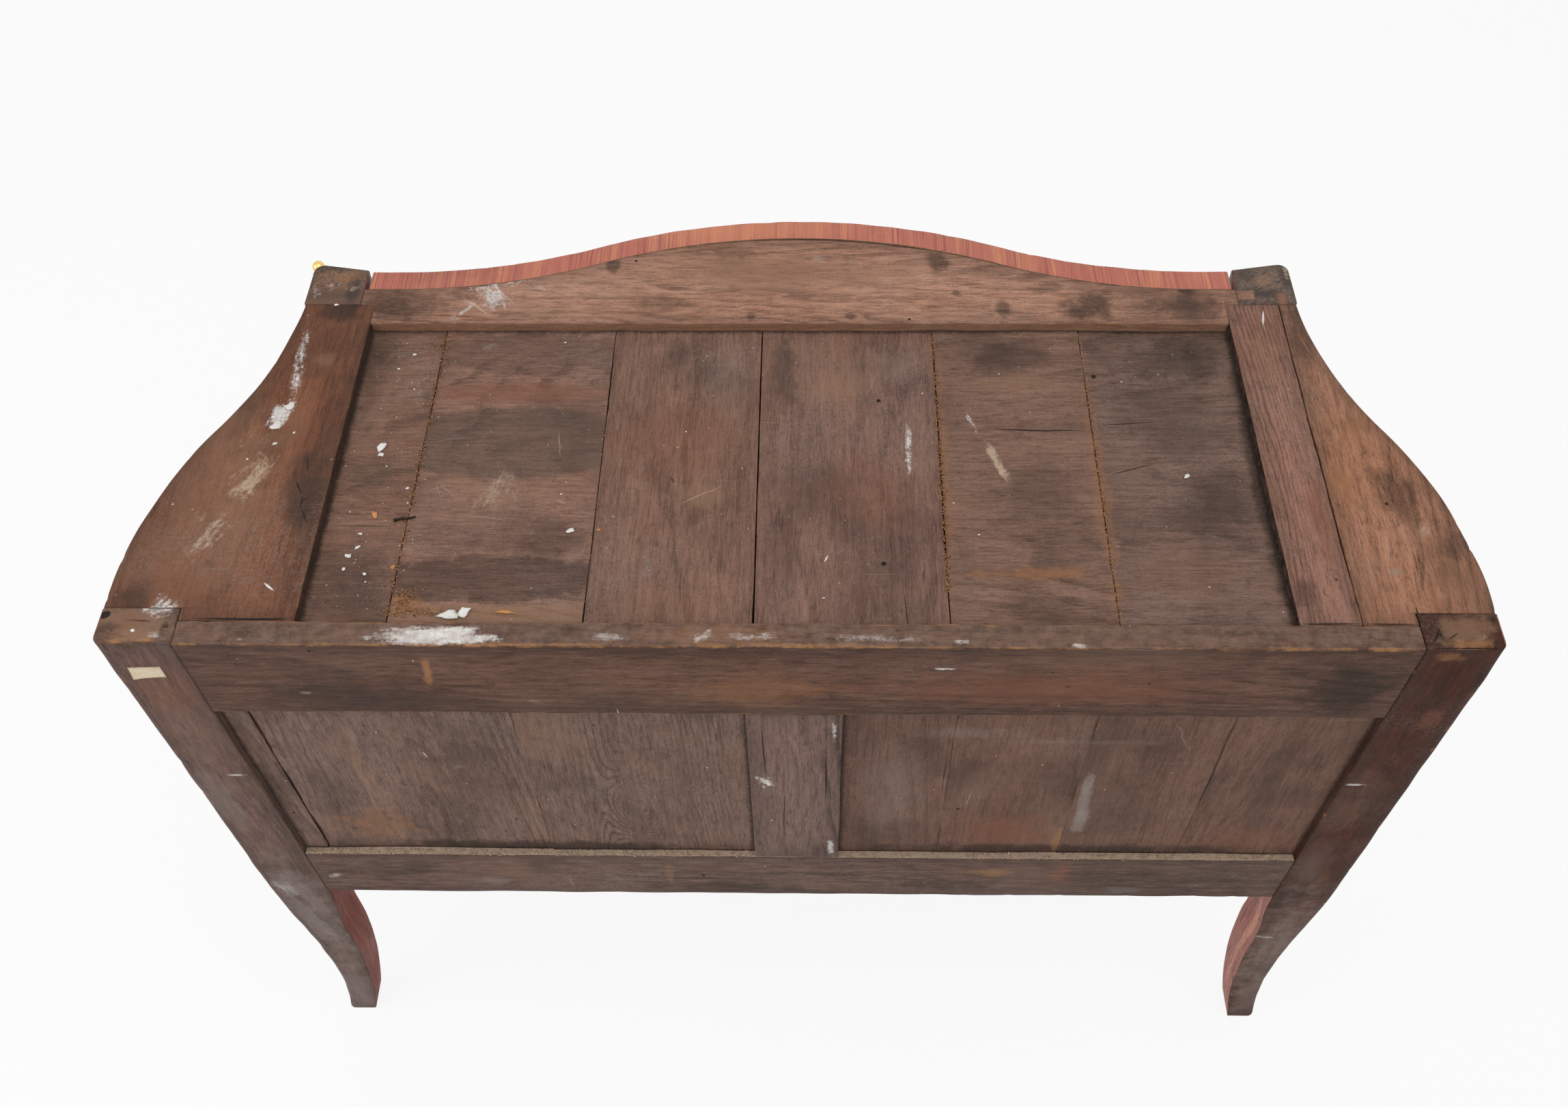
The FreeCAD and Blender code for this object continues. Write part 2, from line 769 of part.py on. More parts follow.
def front_leg(name, grow, top, foot):
    """A leg sawn from the front and from the side, as wide blocks cut to crossing templates."""
    front_view, side_view = front_leg_views(grow, top, foot)
    side_view = [(back - depth, z, *turned_over(arc)) for depth, z, *arc in side_view]
    reach = front_post_outer_depth + D["template_reach"]
    across = front_half + D["template_reach"]
    seen_front = prism(name + "_front_template", "front", without_repeats(front_view), back, reach)
    seen_side = prism(name + "_side_template", "side", without_repeats(side_view), ZERO, across)
    return [seen_front, seen_side]


def turned_over(arc):
    """The same arc seen in a view whose horizontal axis runs the other way."""
    if not arc:
        return arc
    return [arc[0], "left" if arc[1] == "right" else "right"]


def arris_path(shift):
    """Plan points round the outer corner of the right front post, moved diagonally outwards."""
    outer = front_half + D["front_arris_bulge"]
    corner = D["front_arris_radius"]
    slant = D["front_post_slant"] / (outer - corner - opening_half)
    start = opening_half + D["chute_margin"]
    start_depth = front_post_inner_depth + slant * D["chute_margin"]
    return [
        at(start + shift, start_depth + shift),
        at(outer - corner + shift, front_post_outer_depth + shift),
        at(outer + shift, front_post_outer_depth - corner + shift, corner, "left"),
        at(front_half + shift, side_curve_end + shift),
    ]


def make_front_posts(rail_joints, laps):
    """Corner posts with a rounded arris, running down into cabriole legs."""
    arris = arris_path(ZERO)
    plan = [at(opening_half, front_post_back), at(opening_half, front_post_inner_depth)]
    plan += arris[1:]
    plan += [at(side_at_post, front_post_back)]
    column = prism("front_post_plan", "plan", plan, ZERO, D["case_height"])
    sawn = shared("front_post_sawn",
                  front_leg("front_leg", ZERO, D["case_height"], D["sabot_floor"]) + [column])
    blank = cut("front_post_blank", sawn, rail_joints + [side_tongues()[1]])
    keep(blank, "front_post_right")
    keep(cut("front_post_left", mirrored("front_post_left_blank", blank), laps), "front_post_left")


def make_top_frame():
    """Front rail, one broad right board, two left boards; grooved all round for the top boards."""
    z = (frame_bottom, D["case_height"])
    plough = (top_underside, top_surface)
    front_depth = (front_rail_back, front_rail_back + D["groove_depth"])
    lap_depth = front_post_back + D["rail_lap_setback"]
    rail_lap = box("front_rail_lap", (-opening_half - D["rail_lap_length"], -opening_half),
                   (lap_depth, lap_depth + D["rail_lap_width"]), (lap_bottom, D["case_height"]))
    rail = prism("top_front_rail_board", "plan", rail_outline(), z[0], D["frame_thickness"])
    ledge = box("front_plough", (-top_half, top_half), front_depth, plough)
    tongued = joined("top_front_rail_blank", [rail, rail_lap])
    keep(cut("top_front_rail", tongued, [ledge, bolt_mortise("top_rail_mortise", z[0])]), "top_front_rail")
    boards = {}
    for name, inner in (("right", top_half), ("left", top_half + D["left_strip_width"])):
        outline = [at(inner, front_post_back)] + side_path(ZERO) + [
            at(rear_half, D["rear_shelf_depth"]),
            at(rear_inner, D["rear_shelf_depth"]),
            at(rear_inner, D["back_thickness"]),
            at(inner, D["back_thickness"]),
        ]
        boards[name] = prism(f"top_side_{name}_blank", "plan", outline, z[0], D["frame_thickness"])
    groove = box("side_plough", (top_half, top_half + D["groove_depth"]),
                 (D["back_thickness"], front_post_back), plough)
    keep(cut("top_side_board_right", boards["right"], [groove]), "top_side_board_right")
    lap_x = top_half + D["left_strip_width"]
    board_lap = box("side_board_lap", (lap_x, lap_x + D["board_lap_width"]),
                    (front_post_back, front_post_back + D["board_lap_length"]),
                    (lap_bottom, D["case_height"]))
    outer = joined("top_side_left_lapped", [boards["left"], board_lap])
    keep(mirrored("top_side_board_left", outer), "top_side_board_left")
    strip = box("left_strip_board", (top_half, lap_x), (D["back_thickness"], front_post_back), z)
    keep(mirrored("top_side_strip_left", cut("left_strip_ploughed", strip, [groove])), "top_side_strip_left")
    return [rail_lap, mirrored("side_board_lap_left", board_lap)]


def make_top_boards():
    """Six boards running front to back, lying sunk in the frame."""
    joints = [D["top_joint_" + letter] for letter in "abcde"]
    edges = [top_half + board_entry] + joints + [-(top_half + board_entry)]
    depth = (D["back_thickness"] - board_entry, front_rail_back + board_entry)
    for board in board_row("top_board", edges, depth, (top_underside, top_surface)):
        keep(board, board.Name)


def make_side_panels():
    """Bent side walls with an arched lower edge, tongued into the posts."""
    outline = side_path(ZERO) + [
        at(rear_half - D["side_thickness"], D["rear_post_depth"]),
        at(side_middle_x - D["side_thickness"], side_middle_depth, side_radius, "right"),
        at(side_at_post - D["side_thickness"], front_post_back, side_radius, "left"),
    ]
    low = side_underside
    wall = prism("side_panel_plan", "plan", outline, low, frame_bottom - low)
    half_span = (front_post_back - D["rear_post_depth"]) / 2
    arch = [
        (back - front_post_back, low),
        (back - D["rear_post_depth"], low, blend_radius(half_span, D["side_arch"]), "right"),
        (back - D["rear_post_depth"], frame_bottom),
        (back - front_post_back, frame_bottom),
    ]
    template = prism("side_panel_arch", "side", arch, ZERO, rear_half + D["template_margin"])
    panel = joined("side_panel_right", [shared("side_panel_sawn", [wall, template])] + side_tongues())
    keep(panel, "side_panel_right")
    keep(mirrored("side_panel_left", panel), "side_panel_left")


def rail_tenons(name, low):
    """Tenons of a drawer rail into the front posts."""
    depth = front_post_back + D["rail_lap_setback"]
    z = (low + D["tenon_thickness"], low + D["frame_thickness"] - D["tenon_thickness"] / 2)
    return tenon_pair(name, opening_half, (depth, depth + D["tenon_thickness"]), z)


def bolt_depth():
    """Depths between which a lock bolt stands, a wall's width behind the rail's front edge."""
    front = D["case_depth"] - D["front_thickness"] - D["front_gap"] - D["bolt_wall"]
    return (front - D["bolt_thickness"], front)


def bolt_mortise(name, underside):
    """The slot in a rail's underside that takes the lock bolt."""
    rear, front = bolt_depth()
    half = D["bolt_width"] / 2 + D["bolt_slack"]
    return box(name, (-half, half), (rear - D["bolt_slack"], front + D["bolt_slack"]),
               (underside, underside + D["bolt_travel"] + D["bolt_slack"]))


def make_drawer_rails():
    """Middle and bottom rails with the runners, guides and dust boards that carry the drawers."""
    joints = []
    guides = []
    for level, low in (("middle", middle_rail_low), ("bottom", bottom_rail_low)):
        high = low + D["frame_thickness"]
        dust_low = low + (D["frame_thickness"] - D["dust_thickness"]) / 2
        dust_z = (dust_low, dust_low + D["dust_thickness"])
        plough = box(f"{level}_rail_plough", (-top_half, top_half),
                     (front_rail_back, front_rail_back + D["groove_depth"]), dust_z)
        tenons = rail_tenons(f"{level}_rail_tenon", low)
        joints.append(tenons[0])
        rail = prism(f"{level}_rail_board", "plan", rail_outline(), low, D["frame_thickness"])
        cutters = [plough]
        if level == "middle":
            cutters.append(bolt_mortise("middle_rail_mortise", low))
        keep(cut(f"{level}_rail", joined(f"{level}_rail_blank", [rail] + tenons), cutters), f"{level}_rail")
        inset = D["side_thickness"] + D["runner_gap"]
        outline = [
            at(D["runner_inner"], front_rail_back),
            at(top_half, front_rail_back),
            at(top_half, front_post_back),
        ] + side_path(inset) + [
            at(rear_inner, D["rear_post_depth"]),
            at(rear_inner, D["back_thickness"]),
            at(D["runner_inner"], D["back_thickness"]),
        ]
        runner = prism(f"{level}_runner_board", "plan", outline, low, D["frame_thickness"])
        groove = box(f"{level}_runner_groove", (D["runner_inner"], D["runner_inner"] + D["groove_depth"]),
                     (D["back_thickness"], front_rail_back), dust_z)
        right = cut(f"{level}_runner_right", runner, [groove])
        left = mirrored(f"{level}_runner_left", right)
        keep(right, f"{level}_runner_right")
        keep(left, f"{level}_runner_left")
        half = D["runner_inner"] + board_entry
        dust = box(f"{level}_dust_board", (-half, half),
                   (D["back_thickness"], front_rail_back + board_entry), dust_z)
        keep(dust, f"{level}_dust_board")
        edge = drawer_half + D["guide_clearance"]
        guide = box(f"{level}_guide", (edge, edge + D["guide_width"]),
                    (D["back_thickness"], front_post_back), (high, high + D["guide_height"]))
        guides += [guide, mirrored(f"{level}_guide_mirror", guide)]
    keep(grouped("drawer_guides", guides), "drawer_guides")
    return joints


def make_apron():
    """The shaped board under the drawers, hanging to a point in the middle."""
    z = (apron_point, apron_top)
    board = front_band("apron_board", opening_half, z)
    waist = D["apron_waist_half"]
    end_run = opening_half - waist
    end_rise = apron_waist - apron_end
    drop = apron_waist - apron_point
    drop_radius = s_radius(waist, drop, waist / 2)
    lower = [
        (-opening_half, apron_end),
        (-waist, apron_waist, blend_radius(end_run, end_rise), "right"),
        (-waist / 2, apron_waist - drop / 2, drop_radius, "right"),
        (waist / 2, apron_waist - drop / 2, drop_radius, "left"),
        (waist, apron_waist, drop_radius, "right"),
        (opening_half, apron_end, blend_radius(end_run, end_rise), "right"),
        (opening_half, apron_top),
        (-opening_half, apron_top),
    ]
    template = prism("apron_template", "front", lower, back, D["case_depth"] + D["template_margin"])
    depth = D["end_depth"] - D["front_thickness"] + D["tenon_thickness"]
    shoulder = D["tenon_shoulder"] / 2
    tenons = tenon_pair("apron_tenon", opening_half, (depth, depth + D["tenon_thickness"]),
                        (apron_end + shoulder, apron_top - shoulder))
    keep(joined("front_apron", [shared("apron_sawn", [board, template])] + tenons), "front_apron")
    return tenons[0]


def tail_points(low, base, tip, high):
    """Dovetail corners up one end of a drawer side, evenly spaced."""
    pitch = (high - low) / TAILS
    points = []
    for index in range(TAILS):
        centre = low + pitch * index + pitch / 2
        for edge, half, sign in ((base, "tail_neck", -1), (tip, "tail_head", -1),
                                 (tip, "tail_head", 1), (base, "tail_neck", 1)):
            points.append((back - edge, centre + D[half] / 2 * sign))
    return points


def make_drawer_box(name, base, top):
    """Front, dovetailed sides and back, and a bottom slid into grooves."""
    low = base + D["drawer_lift"]
    high = low + D["drawer_side_height"]
    rear = D["drawer_back_depth"]
    rear_base = rear + D["drawer_back_thickness"]
    front_base = D["end_depth"] - D["front_thickness"]
    inner = drawer_half - D["drawer_side_thickness"]
    floor = low + D["drawer_bottom_lift"]
    floor_top = floor + D["drawer_bottom_thickness"]
    back_low = floor_top
    back_high = high - D["drawer_back_drop"]
    outline = [(back - rear_base, low), (back - front_base, low)]
    outline += tail_points(low, front_base, front_base + D["tail_length"], high)
    outline += [(back - front_base, high), (back - rear_base, high)]
    outline += tail_points(back_low, rear_base, rear, back_high)[::-1]
    side_blank = prism(name + "_side_blank", "side", outline, inner, D["drawer_side_thickness"])
    groove = box(name + "_side_groove", (inner, inner + D["drawer_groove"]), (rear, front_base),
                 (floor, floor_top))
    right = cut(name + "_side_right", side_blank, [groove])
    left = mirrored(name + "_side_left", right)
    keep(right, name + "_side_right")
    keep(left, name + "_side_left")
    back_board = box(name + "_back_board", (-drawer_half, drawer_half), (rear, rear_base), (back_low, back_high))
    sides = [side_blank, mirrored(name + "_side_blank_left", side_blank)]
    keep(cut(name + "_back", back_board, sides), name + "_back")
    reach = inner + D["drawer_groove"] - D["groove_slack"]
    inset = D["front_thickness"] - D["drawer_groove"] + D["groove_slack"]
    floor_outline = front_path(reach, inset) + [at(reach, rear), at(-reach, rear)]
    keep(prism(name + "_bottom", "plan", floor_outline, floor, D["drawer_bottom_thickness"]), name + "_bottom")
    front_low = top - D["drawer_front_height"]
    front_board = front_band(name + "_front_board", drawer_half, (front_low, top))
    slot_inset = D["front_thickness"] - D["drawer_groove"]
    slot_half = inner + D["drawer_groove"]
    slot_outline = front_path(slot_half, slot_inset)
    slot_outline += front_path(slot_half, D["front_thickness"] * 2, leftward=True)
    slot = prism(name + "_front_groove", "plan", slot_outline, floor, D["drawer_bottom_thickness"])
    return front_board, sides + [slot]


def keyhole(name, z):
    """A round hole with a slot below it, through the middle of a drawer front."""
    start = D["case_depth"] - D["front_thickness"] * 2
    end = D["case_depth"] + D["front_thickness"]
    half = D["keyhole_slot"] / 2
    outline = [
        (-half, z - D["keyhole_drop"]),
        (half, z - D["keyhole_drop"]),
        (half, z),
        (D["keyhole_radius"], z + D["keyhole_radius"]),
        (ZERO, z + D["keyhole_radius"] * 2, D["keyhole_radius"], "left"),
        (-D["keyhole_radius"], z + D["keyhole_radius"], D["keyhole_radius"], "left"),
        (-half, z),
    ]
    return prism(name, "front", outline, back - start, end - start)


def make_lock(name, underside):
    """A box lock let into the drawer front, with a bolt that rises into the rail above."""
    high = underside - D["lock_clearance"]
    low = high - D["lock_height"]
    half = D["lock_width"] / 2
    bolt_rear, bolt_front = bolt_depth()
    case_front = D["case_depth"] - D["front_thickness"] + D["lock_recess"]
    depth = (bolt_rear - D["lock_plate"], case_front)
    case = box(name + "_lock_case", (-half, half), depth, (low, high))
    bolt_half = D["bolt_width"] / 2
    slack = D["bolt_slack"]
    bolt_low = high - D["bolt_height"]
    channel = box(name + "_lock_channel", (-bolt_half - slack, bolt_half + slack),
                  (bolt_rear - slack, bolt_front + slack), (bolt_low - slack, high))
    hole = keyhole(name + "_lock_keyhole", high - D["keyhole_below_lock_top"])
    entry = cut(name + "_lock", case, [channel, hole])
    keep(entry, name + "_lock")
    bolt = box(name + "_bolt", (-bolt_half, bolt_half), (bolt_rear, bolt_front), (bolt_low, high))
    keep(bolt, name + "_bolt")
    return case


def cartouche(half, low, high):
    """A pear-shaped outline, wide above the middle, with a point at the foot."""
    height = high - low
    waist = low + height * CARTOUCHE["waist_ratio"]
    waist_half = half * CARTOUCHE["waist_spread_ratio"]
    shoulder = low + height * CARTOUCHE["shoulder_ratio"]
    crown_bend = half * CARTOUCHE["crown_bend_ratio"]
    side_bend = height * CARTOUCHE["side_bend_ratio"]
    foot_bend = height * CARTOUCHE["foot_bend_ratio"]
    return [
        (ZERO, low, foot_bend, "right"),
        (waist_half, waist, foot_bend, "right"),
        (half, shoulder, side_bend, "left"),
        (ZERO, high, crown_bend, "left"),
        (-half, shoulder, crown_bend, "left"),
        (-waist_half, waist, side_bend, "left"),
    ]


def front_mount(name, outline, holes):
    """A cast mount lying on the swell of the front, of even thickness."""
    seat = -D["mount_seat"]
    face = seat - D["escutcheon_thickness"]
    inflection = D["bow_inflection"]
    band = [
        at(-inflection, bow_depth - seat),
        at(inflection, bow_depth - seat, bow_radius, "left"),
        at(inflection, bow_depth - face),
        at(-inflection, bow_depth - face, bow_radius, "right"),
    ]
    heights = [corner[1] for corner in outline]
    low = min(heights, key=lambda size: size.value) - D["front_thickness"]
    high = max(heights, key=lambda size: size.value) + D["front_thickness"]
    sheet_metal = prism(name + "_sheet", "plan", band, low, high - low)
    template = prism(name + "_template", "front", outline, back - bow_depth + D["front_thickness"],
                     bow_rise + D["front_thickness"] * 2)
    mount = shared(name + "_cast", [sheet_metal, template])
    return cut(name, mount, holes) if holes else mount


def make_apron_mount():
    """A five-lobed shell hanging at the middle of the apron."""
    half = D["apron_mount_half_width"]
    high = apron_top - D["mount_seat"]
    low = high - D["apron_mount_height"]
    shoulder = high - D["apron_mount_lobe_drop"]
    crown = half * SHELL["crown_ratio"]
    flank = half * SHELL["flank_ratio"]
    foot = half * SHELL["foot_ratio"]
    crown_bend = half * SHELL["crown_bend_ratio"]
    lobe_bend = half * SHELL["lobe_bend_ratio"]
    middle = (shoulder + low) / 2
    lobes = [
        (-crown, high),
        (-half, shoulder, crown_bend, "left"),
        (-flank, middle, lobe_bend, "left"),
        (-foot, low, lobe_bend, "left"),
        (foot, low, half * SHELL["foot_bend_ratio"], "left"),
        (flank, middle, lobe_bend, "left"),
        (half, shoulder, lobe_bend, "left"),
        (crown, high, crown_bend, "left"),
    ]
    keep(front_mount("apron_mount", lobes, []), "apron_mount")


def hollow_point(x):
    """Depth of the hollow shoulder of the front at a width, and the slope's sine and cosine there."""
    sine = (D["bow_half"] - x) / hollow_radius
    cosine = root(Size.of(1) - sine * sine)
    depth = D["end_depth"] + hollow_radius * (Size.of(1) - cosine)
    return depth, sine, cosine


def handle_post(name, x, z, side):
    """A turned plate and eye post standing square to the front, and the place of its eye."""
    seat = D["plate_seat"]
    rim = seat + D["plate_rim"]
    boss = rim + D["plate_boss_rise"]
    neck = D["post_reach"] - root(D["head_radius"] * D["head_radius"] - D["post_radius"] * D["post_radius"])
    tip = D["post_reach"] + D["head_radius"]
    profile = [
        (ZERO, -seat),
        (D["plate_radius"], -seat),
        (D["plate_radius"], -rim),
        (D["plate_boss_radius"], -boss),
        (D["post_radius"], -D["post_foot"]),
        (D["post_radius"], -neck),
        (ZERO, -tip, D["head_radius"], "right"),
    ]
    post = turned(name, "V_Axis", profile)
    depth, sine, cosine = hollow_point(x)
    place(post, x * side, back - depth, z, arc_tangent(sine / cosine) * side)
    eye_x = (x + D["post_reach"] * sine) * side
    eye_y = back - depth - D["post_reach"] * cosine
    return post, eye_x, eye_y


def make_handle(name, side, z):
    """Two eye posts and the bail that swings between them."""
    inner = handle_post(f"{name}_post_inner", D["handle_centre"] - D["handle_span"] / 2, z, side)
    outer = handle_post(f"{name}_post_outer", D["handle_centre"] + D["handle_span"] / 2, z, side)
    across = outer[1] - inner[1]
    along = outer[2] - inner[2]
    half = root(across * across + along * along) / 2
    middle_x = (inner[1] + outer[1]) / 2
    middle_y = (inner[2] + outer[2]) / 2
    angle = arc_tangent(along / across)
    arm = half - D["head_radius"] - D["bail_side_gap"] - D["bail_radius"]
    drop = D["bail_drop"]
    bend = D["bail_bend"]
    bail = doc.addObject("PartDesign::Body", name + "_bail")
    path = sketch_in(bail, "front", name + "_bail_path")
    trace(path, [
        (-arm, ZERO),
        (-arm, bend - drop),
        (bend - arm, -drop, bend, "left"),
        (arm - bend, -drop),
        (arm, bend - drop, bend, "left"),
        (arm, ZERO),
    ])
    section = sketch_in(bail, "plan", name + "_bail_section")
    ring(section, -arm, ZERO, D["bail_radius"])
    rod = bail.newObject("PartDesign::AdditivePipe", name + "_bail_rod")
    rod.Profile = section
    rod.Spine = (path, [])
    pins = sketch_in(bail, "plan", name + "_bail_pins")
    tip = half - D["pin_slack"]
    for sign in (-1, 1):
        draw(pins, [
            (arm * sign, ZERO),
            (tip * sign, ZERO),
            (tip * sign, D["pin_radius"]),
            (arm * sign, D["pin_radius"]),
        ])
    turn = bail.newObject("PartDesign::Revolution", name + "_bail_pin_turn")
    turn.Profile = pins
    turn.ReferenceAxis = (pins, ["H_Axis"])
    place(bail, middle_x, middle_y, z, angle)
    keep(bail, name + "_bail")
    bore_radius = D["pin_radius"] + D["pin_slack"]
    bore = turned(name + "_bore", "H_Axis",
                  [(-half, ZERO), (half, ZERO), (half, bore_radius), (-half, bore_radius)])
    place(bore, middle_x, middle_y, z, angle)
    return [inner[0], outer[0]], bore


def ring(sketch, x, y, radius):
    centre = FreeCAD.Vector(x.value, y.value, 0)
    edge = sketch.addGeometry(Part.Circle(centre, FreeCAD.Vector(0, 0, 1), radius.value), False)
    pin_point(sketch, edge, 3, x, y)
    limit(sketch, Sketcher.Constraint("Radius", edge, radius.value), radius)


def make_drawer(name, base, top, rail_underside):
    """One complete drawer: box, lock, escutcheon and two bail handles."""
    front_board, cutters = make_drawer_box(name + "_drawer", base, top)
    lock_case = make_lock(name, rail_underside)
    lock_top = rail_underside - D["lock_clearance"]
    key_z = lock_top - D["keyhole_below_lock_top"]
    hole = keyhole(name + "_front_keyhole", key_z)
    keep(cut(name + "_drawer_front", front_board, cutters + [lock_case, hole]), name + "_drawer_front")
    low = key_z - D["escutcheon_height"] * CARTOUCHE["keyhole_ratio"]
    outline = cartouche(D["escutcheon_half_width"], low, low + D["escutcheon_height"])
    plate_hole = keyhole(name + "_plate_keyhole", key_z)
    keep(front_mount(name + "_escutcheon", outline, [plate_hole]), name + "_escutcheon")
    handle_z = top - D["drawer_front_height"] / 2 + D["handle_rise"]
    posts = []
    bores = []
    for side, word in ((1, "right"), (-1, "left")):
        pair, bore = make_handle(f"{name}_{word}", side, handle_z)
        posts += pair
        bores.append(bore)
    keep(cut(name + "_handle_plates", grouped(name + "_post_group", posts), bores), name + "_handle_plates")


def corner_template(name, outline, z):
    """An outline drawn square to the diagonal of the right front post and sawn through its corner."""
    template = prism(name, "front", outline, ZERO, D["corner_template_depth"])
    away = D["corner_template_depth"] / 2 * DIAGONAL
    place(template, front_half - away, back - front_post_outer_depth + away, z, Size.of(DIAGONAL_ANGLE))
    return template


def make_chutes():
    """Gilt corner mounts that hang down the arris of the front posts under a round bead."""
    seat = D["mount_seat"]
    inner = arris_path(seat)
    outer = arris_path(seat + D["chute_thickness"])
    reverse = [outer[3], outer[2][:2], (*outer[1][:2], D["front_arris_radius"], "right"), outer[0]]
    length = D["chute_length"]
    half = D["chute_half_width"]
    waist = D["chute_waist"]
    knop = half * CHUTE["knop_spread_ratio"]
    neck = half * CHUTE["neck_spread_ratio"]
    knop_z = length * -CHUTE["knop_ratio"]
    waist_z = length * -CHUTE["waist_ratio"]
    shoulder_z = length * -CHUTE["shoulder_ratio"]
    neck_z = half * -CHUTE["neck_ratio"]
    tail_bend = length * CHUTE["tail_bend_ratio"]
    knop_bend = half * CHUTE["knop_bend_ratio"]
    waist_bend = length * CHUTE["waist_bend_ratio"]
    for word, drop in (("right", D["chute_drop"]), ("left", D["chute_left_drop"])):
        top = D["case_height"] - drop
        shell = prism(f"chute_{word}_shell", "plan", inner + reverse, top - length, length)
        outline = [
            (knop, knop_z, tail_bend, "left"),
            (waist, waist_z, knop_bend, "left"),
            (half, shoulder_z, waist_bend, "right"),
            (neck, neck_z, half, "left"),
            (-neck, neck_z),
            (-half, shoulder_z, half, "left"),
            (-waist, waist_z, waist_bend, "right"),
            (-knop, knop_z, knop_bend, "left"),
            (ZERO, -length, tail_bend, "left"),
        ]
        template = corner_template(f"chute_{word}_template", outline, top)
        leaf = shared(f"chute_{word}_leaf", [shell, template])
        bead = doc.addObject("Part::Sphere", f"chute_{word}_bead")
        bind(bead, "Radius", D["bead_radius"])
        bead_depth = front_post_outer_depth + D["bead_stand_off"]
        place(bead, front_half + D["bead_stand_off"], back - bead_depth, top - D["bead_radius"])
        mount = joined(f"chute_{word}_mount", [leaf, bead])
        carved = cut(f"chute_{word}_seated", mount, [doc.getObject("front_post_plan")])
        if word == "left":
            carved = mirrored("chute_left_mirrored", carved)
        keep(carved, f"corner_chute_{word}")


def make_sabots():
    """Gilt shoes round the front feet, rising to a point on the arris."""
    floor = D["sabot_floor"]
    top = D["sabot_height"] + D["sabot_peak"]
    outer = shared("sabot_outer", front_leg("sabot_outer_leg", D["sabot_thickness"], D["case_height"], ZERO))
    inner = shared("sabot_inner", front_leg("sabot_inner_leg", D["mount_seat"], D["case_height"], floor))
    reach = D["front_foot_size"] * 2
    wing = D["sabot_height"] - D["sabot_peak"]
    peak_half = D["front_foot_size"] * SABOT_PEAK_RATIO
    peak = [
        (-reach, ZERO),
        (reach, ZERO),
        (reach, wing),
        (peak_half, D["sabot_height"], reach, "right"),
        (ZERO, top, reach, "right"),
        (-peak_half, D["sabot_height"], reach, "right"),
        (-reach, wing, reach, "right"),
    ]
    template = corner_template("sabot_template", peak, ZERO)
    shoe = cut("sabot_right", shared("sabot_block", [outer, template]), [inner])
    keep(shoe, "sabot_right")
    keep(mirrored("sabot_left", shoe), "sabot_left")


def check_and_write():
    doc.recompute()
    for item in doc.Objects:
        if "Invalid" in item.State or "Error" in item.State:
            raise RuntimeError(f"{item.Name} did not build: {item.State}")
    for piece in pieces:
        if piece.Shape.isNull() or not piece.Shape.isValid() or not piece.Shape.Solids:
            raise RuntimeError(f"{piece.Label} has no valid solid")
    os.makedirs("parts", exist_ok=True)
    for piece in pieces:
        piece.Shape.exportStep(f"parts/{piece.Label}.step")
    print(len(pieces), "pieces written")


back_joints = make_back_frame()
make_back_panels()
make_rear_posts(back_joints)
laps = make_top_frame()
make_top_boards()
make_side_panels()
post_joints = make_drawer_rails()
post_joints.append(make_apron())
make_front_posts(post_joints, laps)
upper_top = D["case_height"] - D["drawer_reveal"]
lower_top = upper_top - D["drawer_front_height"] - D["drawer_parting"]
make_drawer("upper", middle_rail_low + D["frame_thickness"], upper_top, frame_bottom)
make_drawer("lower", bottom_rail_low + D["frame_thickness"], lower_top, middle_rail_low)
make_apron_mount()
make_chutes()
make_sabots()
check_and_write()
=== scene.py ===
import math
import bpy
import numpy as np
from mathutils import Matrix, Vector


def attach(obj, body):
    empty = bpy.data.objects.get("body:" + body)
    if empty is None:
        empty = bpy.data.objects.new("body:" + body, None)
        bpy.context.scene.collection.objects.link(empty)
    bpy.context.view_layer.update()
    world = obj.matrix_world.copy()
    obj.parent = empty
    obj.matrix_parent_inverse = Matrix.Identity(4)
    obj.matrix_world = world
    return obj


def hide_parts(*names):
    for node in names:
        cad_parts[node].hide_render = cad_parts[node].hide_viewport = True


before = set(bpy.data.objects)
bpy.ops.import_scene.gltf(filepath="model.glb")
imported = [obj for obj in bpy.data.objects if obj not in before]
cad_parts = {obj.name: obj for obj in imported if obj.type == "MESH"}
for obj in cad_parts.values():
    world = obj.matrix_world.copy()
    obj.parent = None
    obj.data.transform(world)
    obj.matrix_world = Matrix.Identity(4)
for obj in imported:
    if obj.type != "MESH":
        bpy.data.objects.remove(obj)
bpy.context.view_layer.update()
print("stage: packed frame loaded,", len(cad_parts), "nodes")

# outline of the case in metres; depths run forward from the back plane
case = {
    "back": 0.2491, "height": 0.825, "frameLow": 0.803, "rearHalf": 0.55, "rearInner": 0.487,
    "frontHalf": 0.459, "openingHalf": 0.4075, "topHalf": 0.394, "depth": 0.494, "endDepth": 0.4235,
    "bowInflection": 0.19, "bowHalf": 0.375, "sideStart": 0.048, "sideEnd": 0.4, "postBack": 0.378,
    "frontThick": 0.024, "sideThick": 0.02, "frameFront": -0.1289, "frameBack": 0.2261, "railBack": -0.1039,
    "lap": 0.2141, "frontOuter": 0.461, "postFront": 0.4315, "drawerHalf": 0.4045, "muntinHalf": 0.041,
    "panelLow": 0.444, "panelHigh": 0.721}


# depth where the bow turns from swelling to hollow
bowKnee = case["depth"] - (case["depth"] - case["endDepth"]) * case["bowInflection"] / case["bowHalf"]


def arcRise(t, run, rise):  # an arc that leaves its tangent at zero and has risen by rise at run
    radius = (run ** 2 + rise ** 2) / (2 * abs(rise))
    t = np.clip(t, 0, run)
    return math.copysign(1, rise) * (radius - np.sqrt(radius ** 2 - t ** 2))


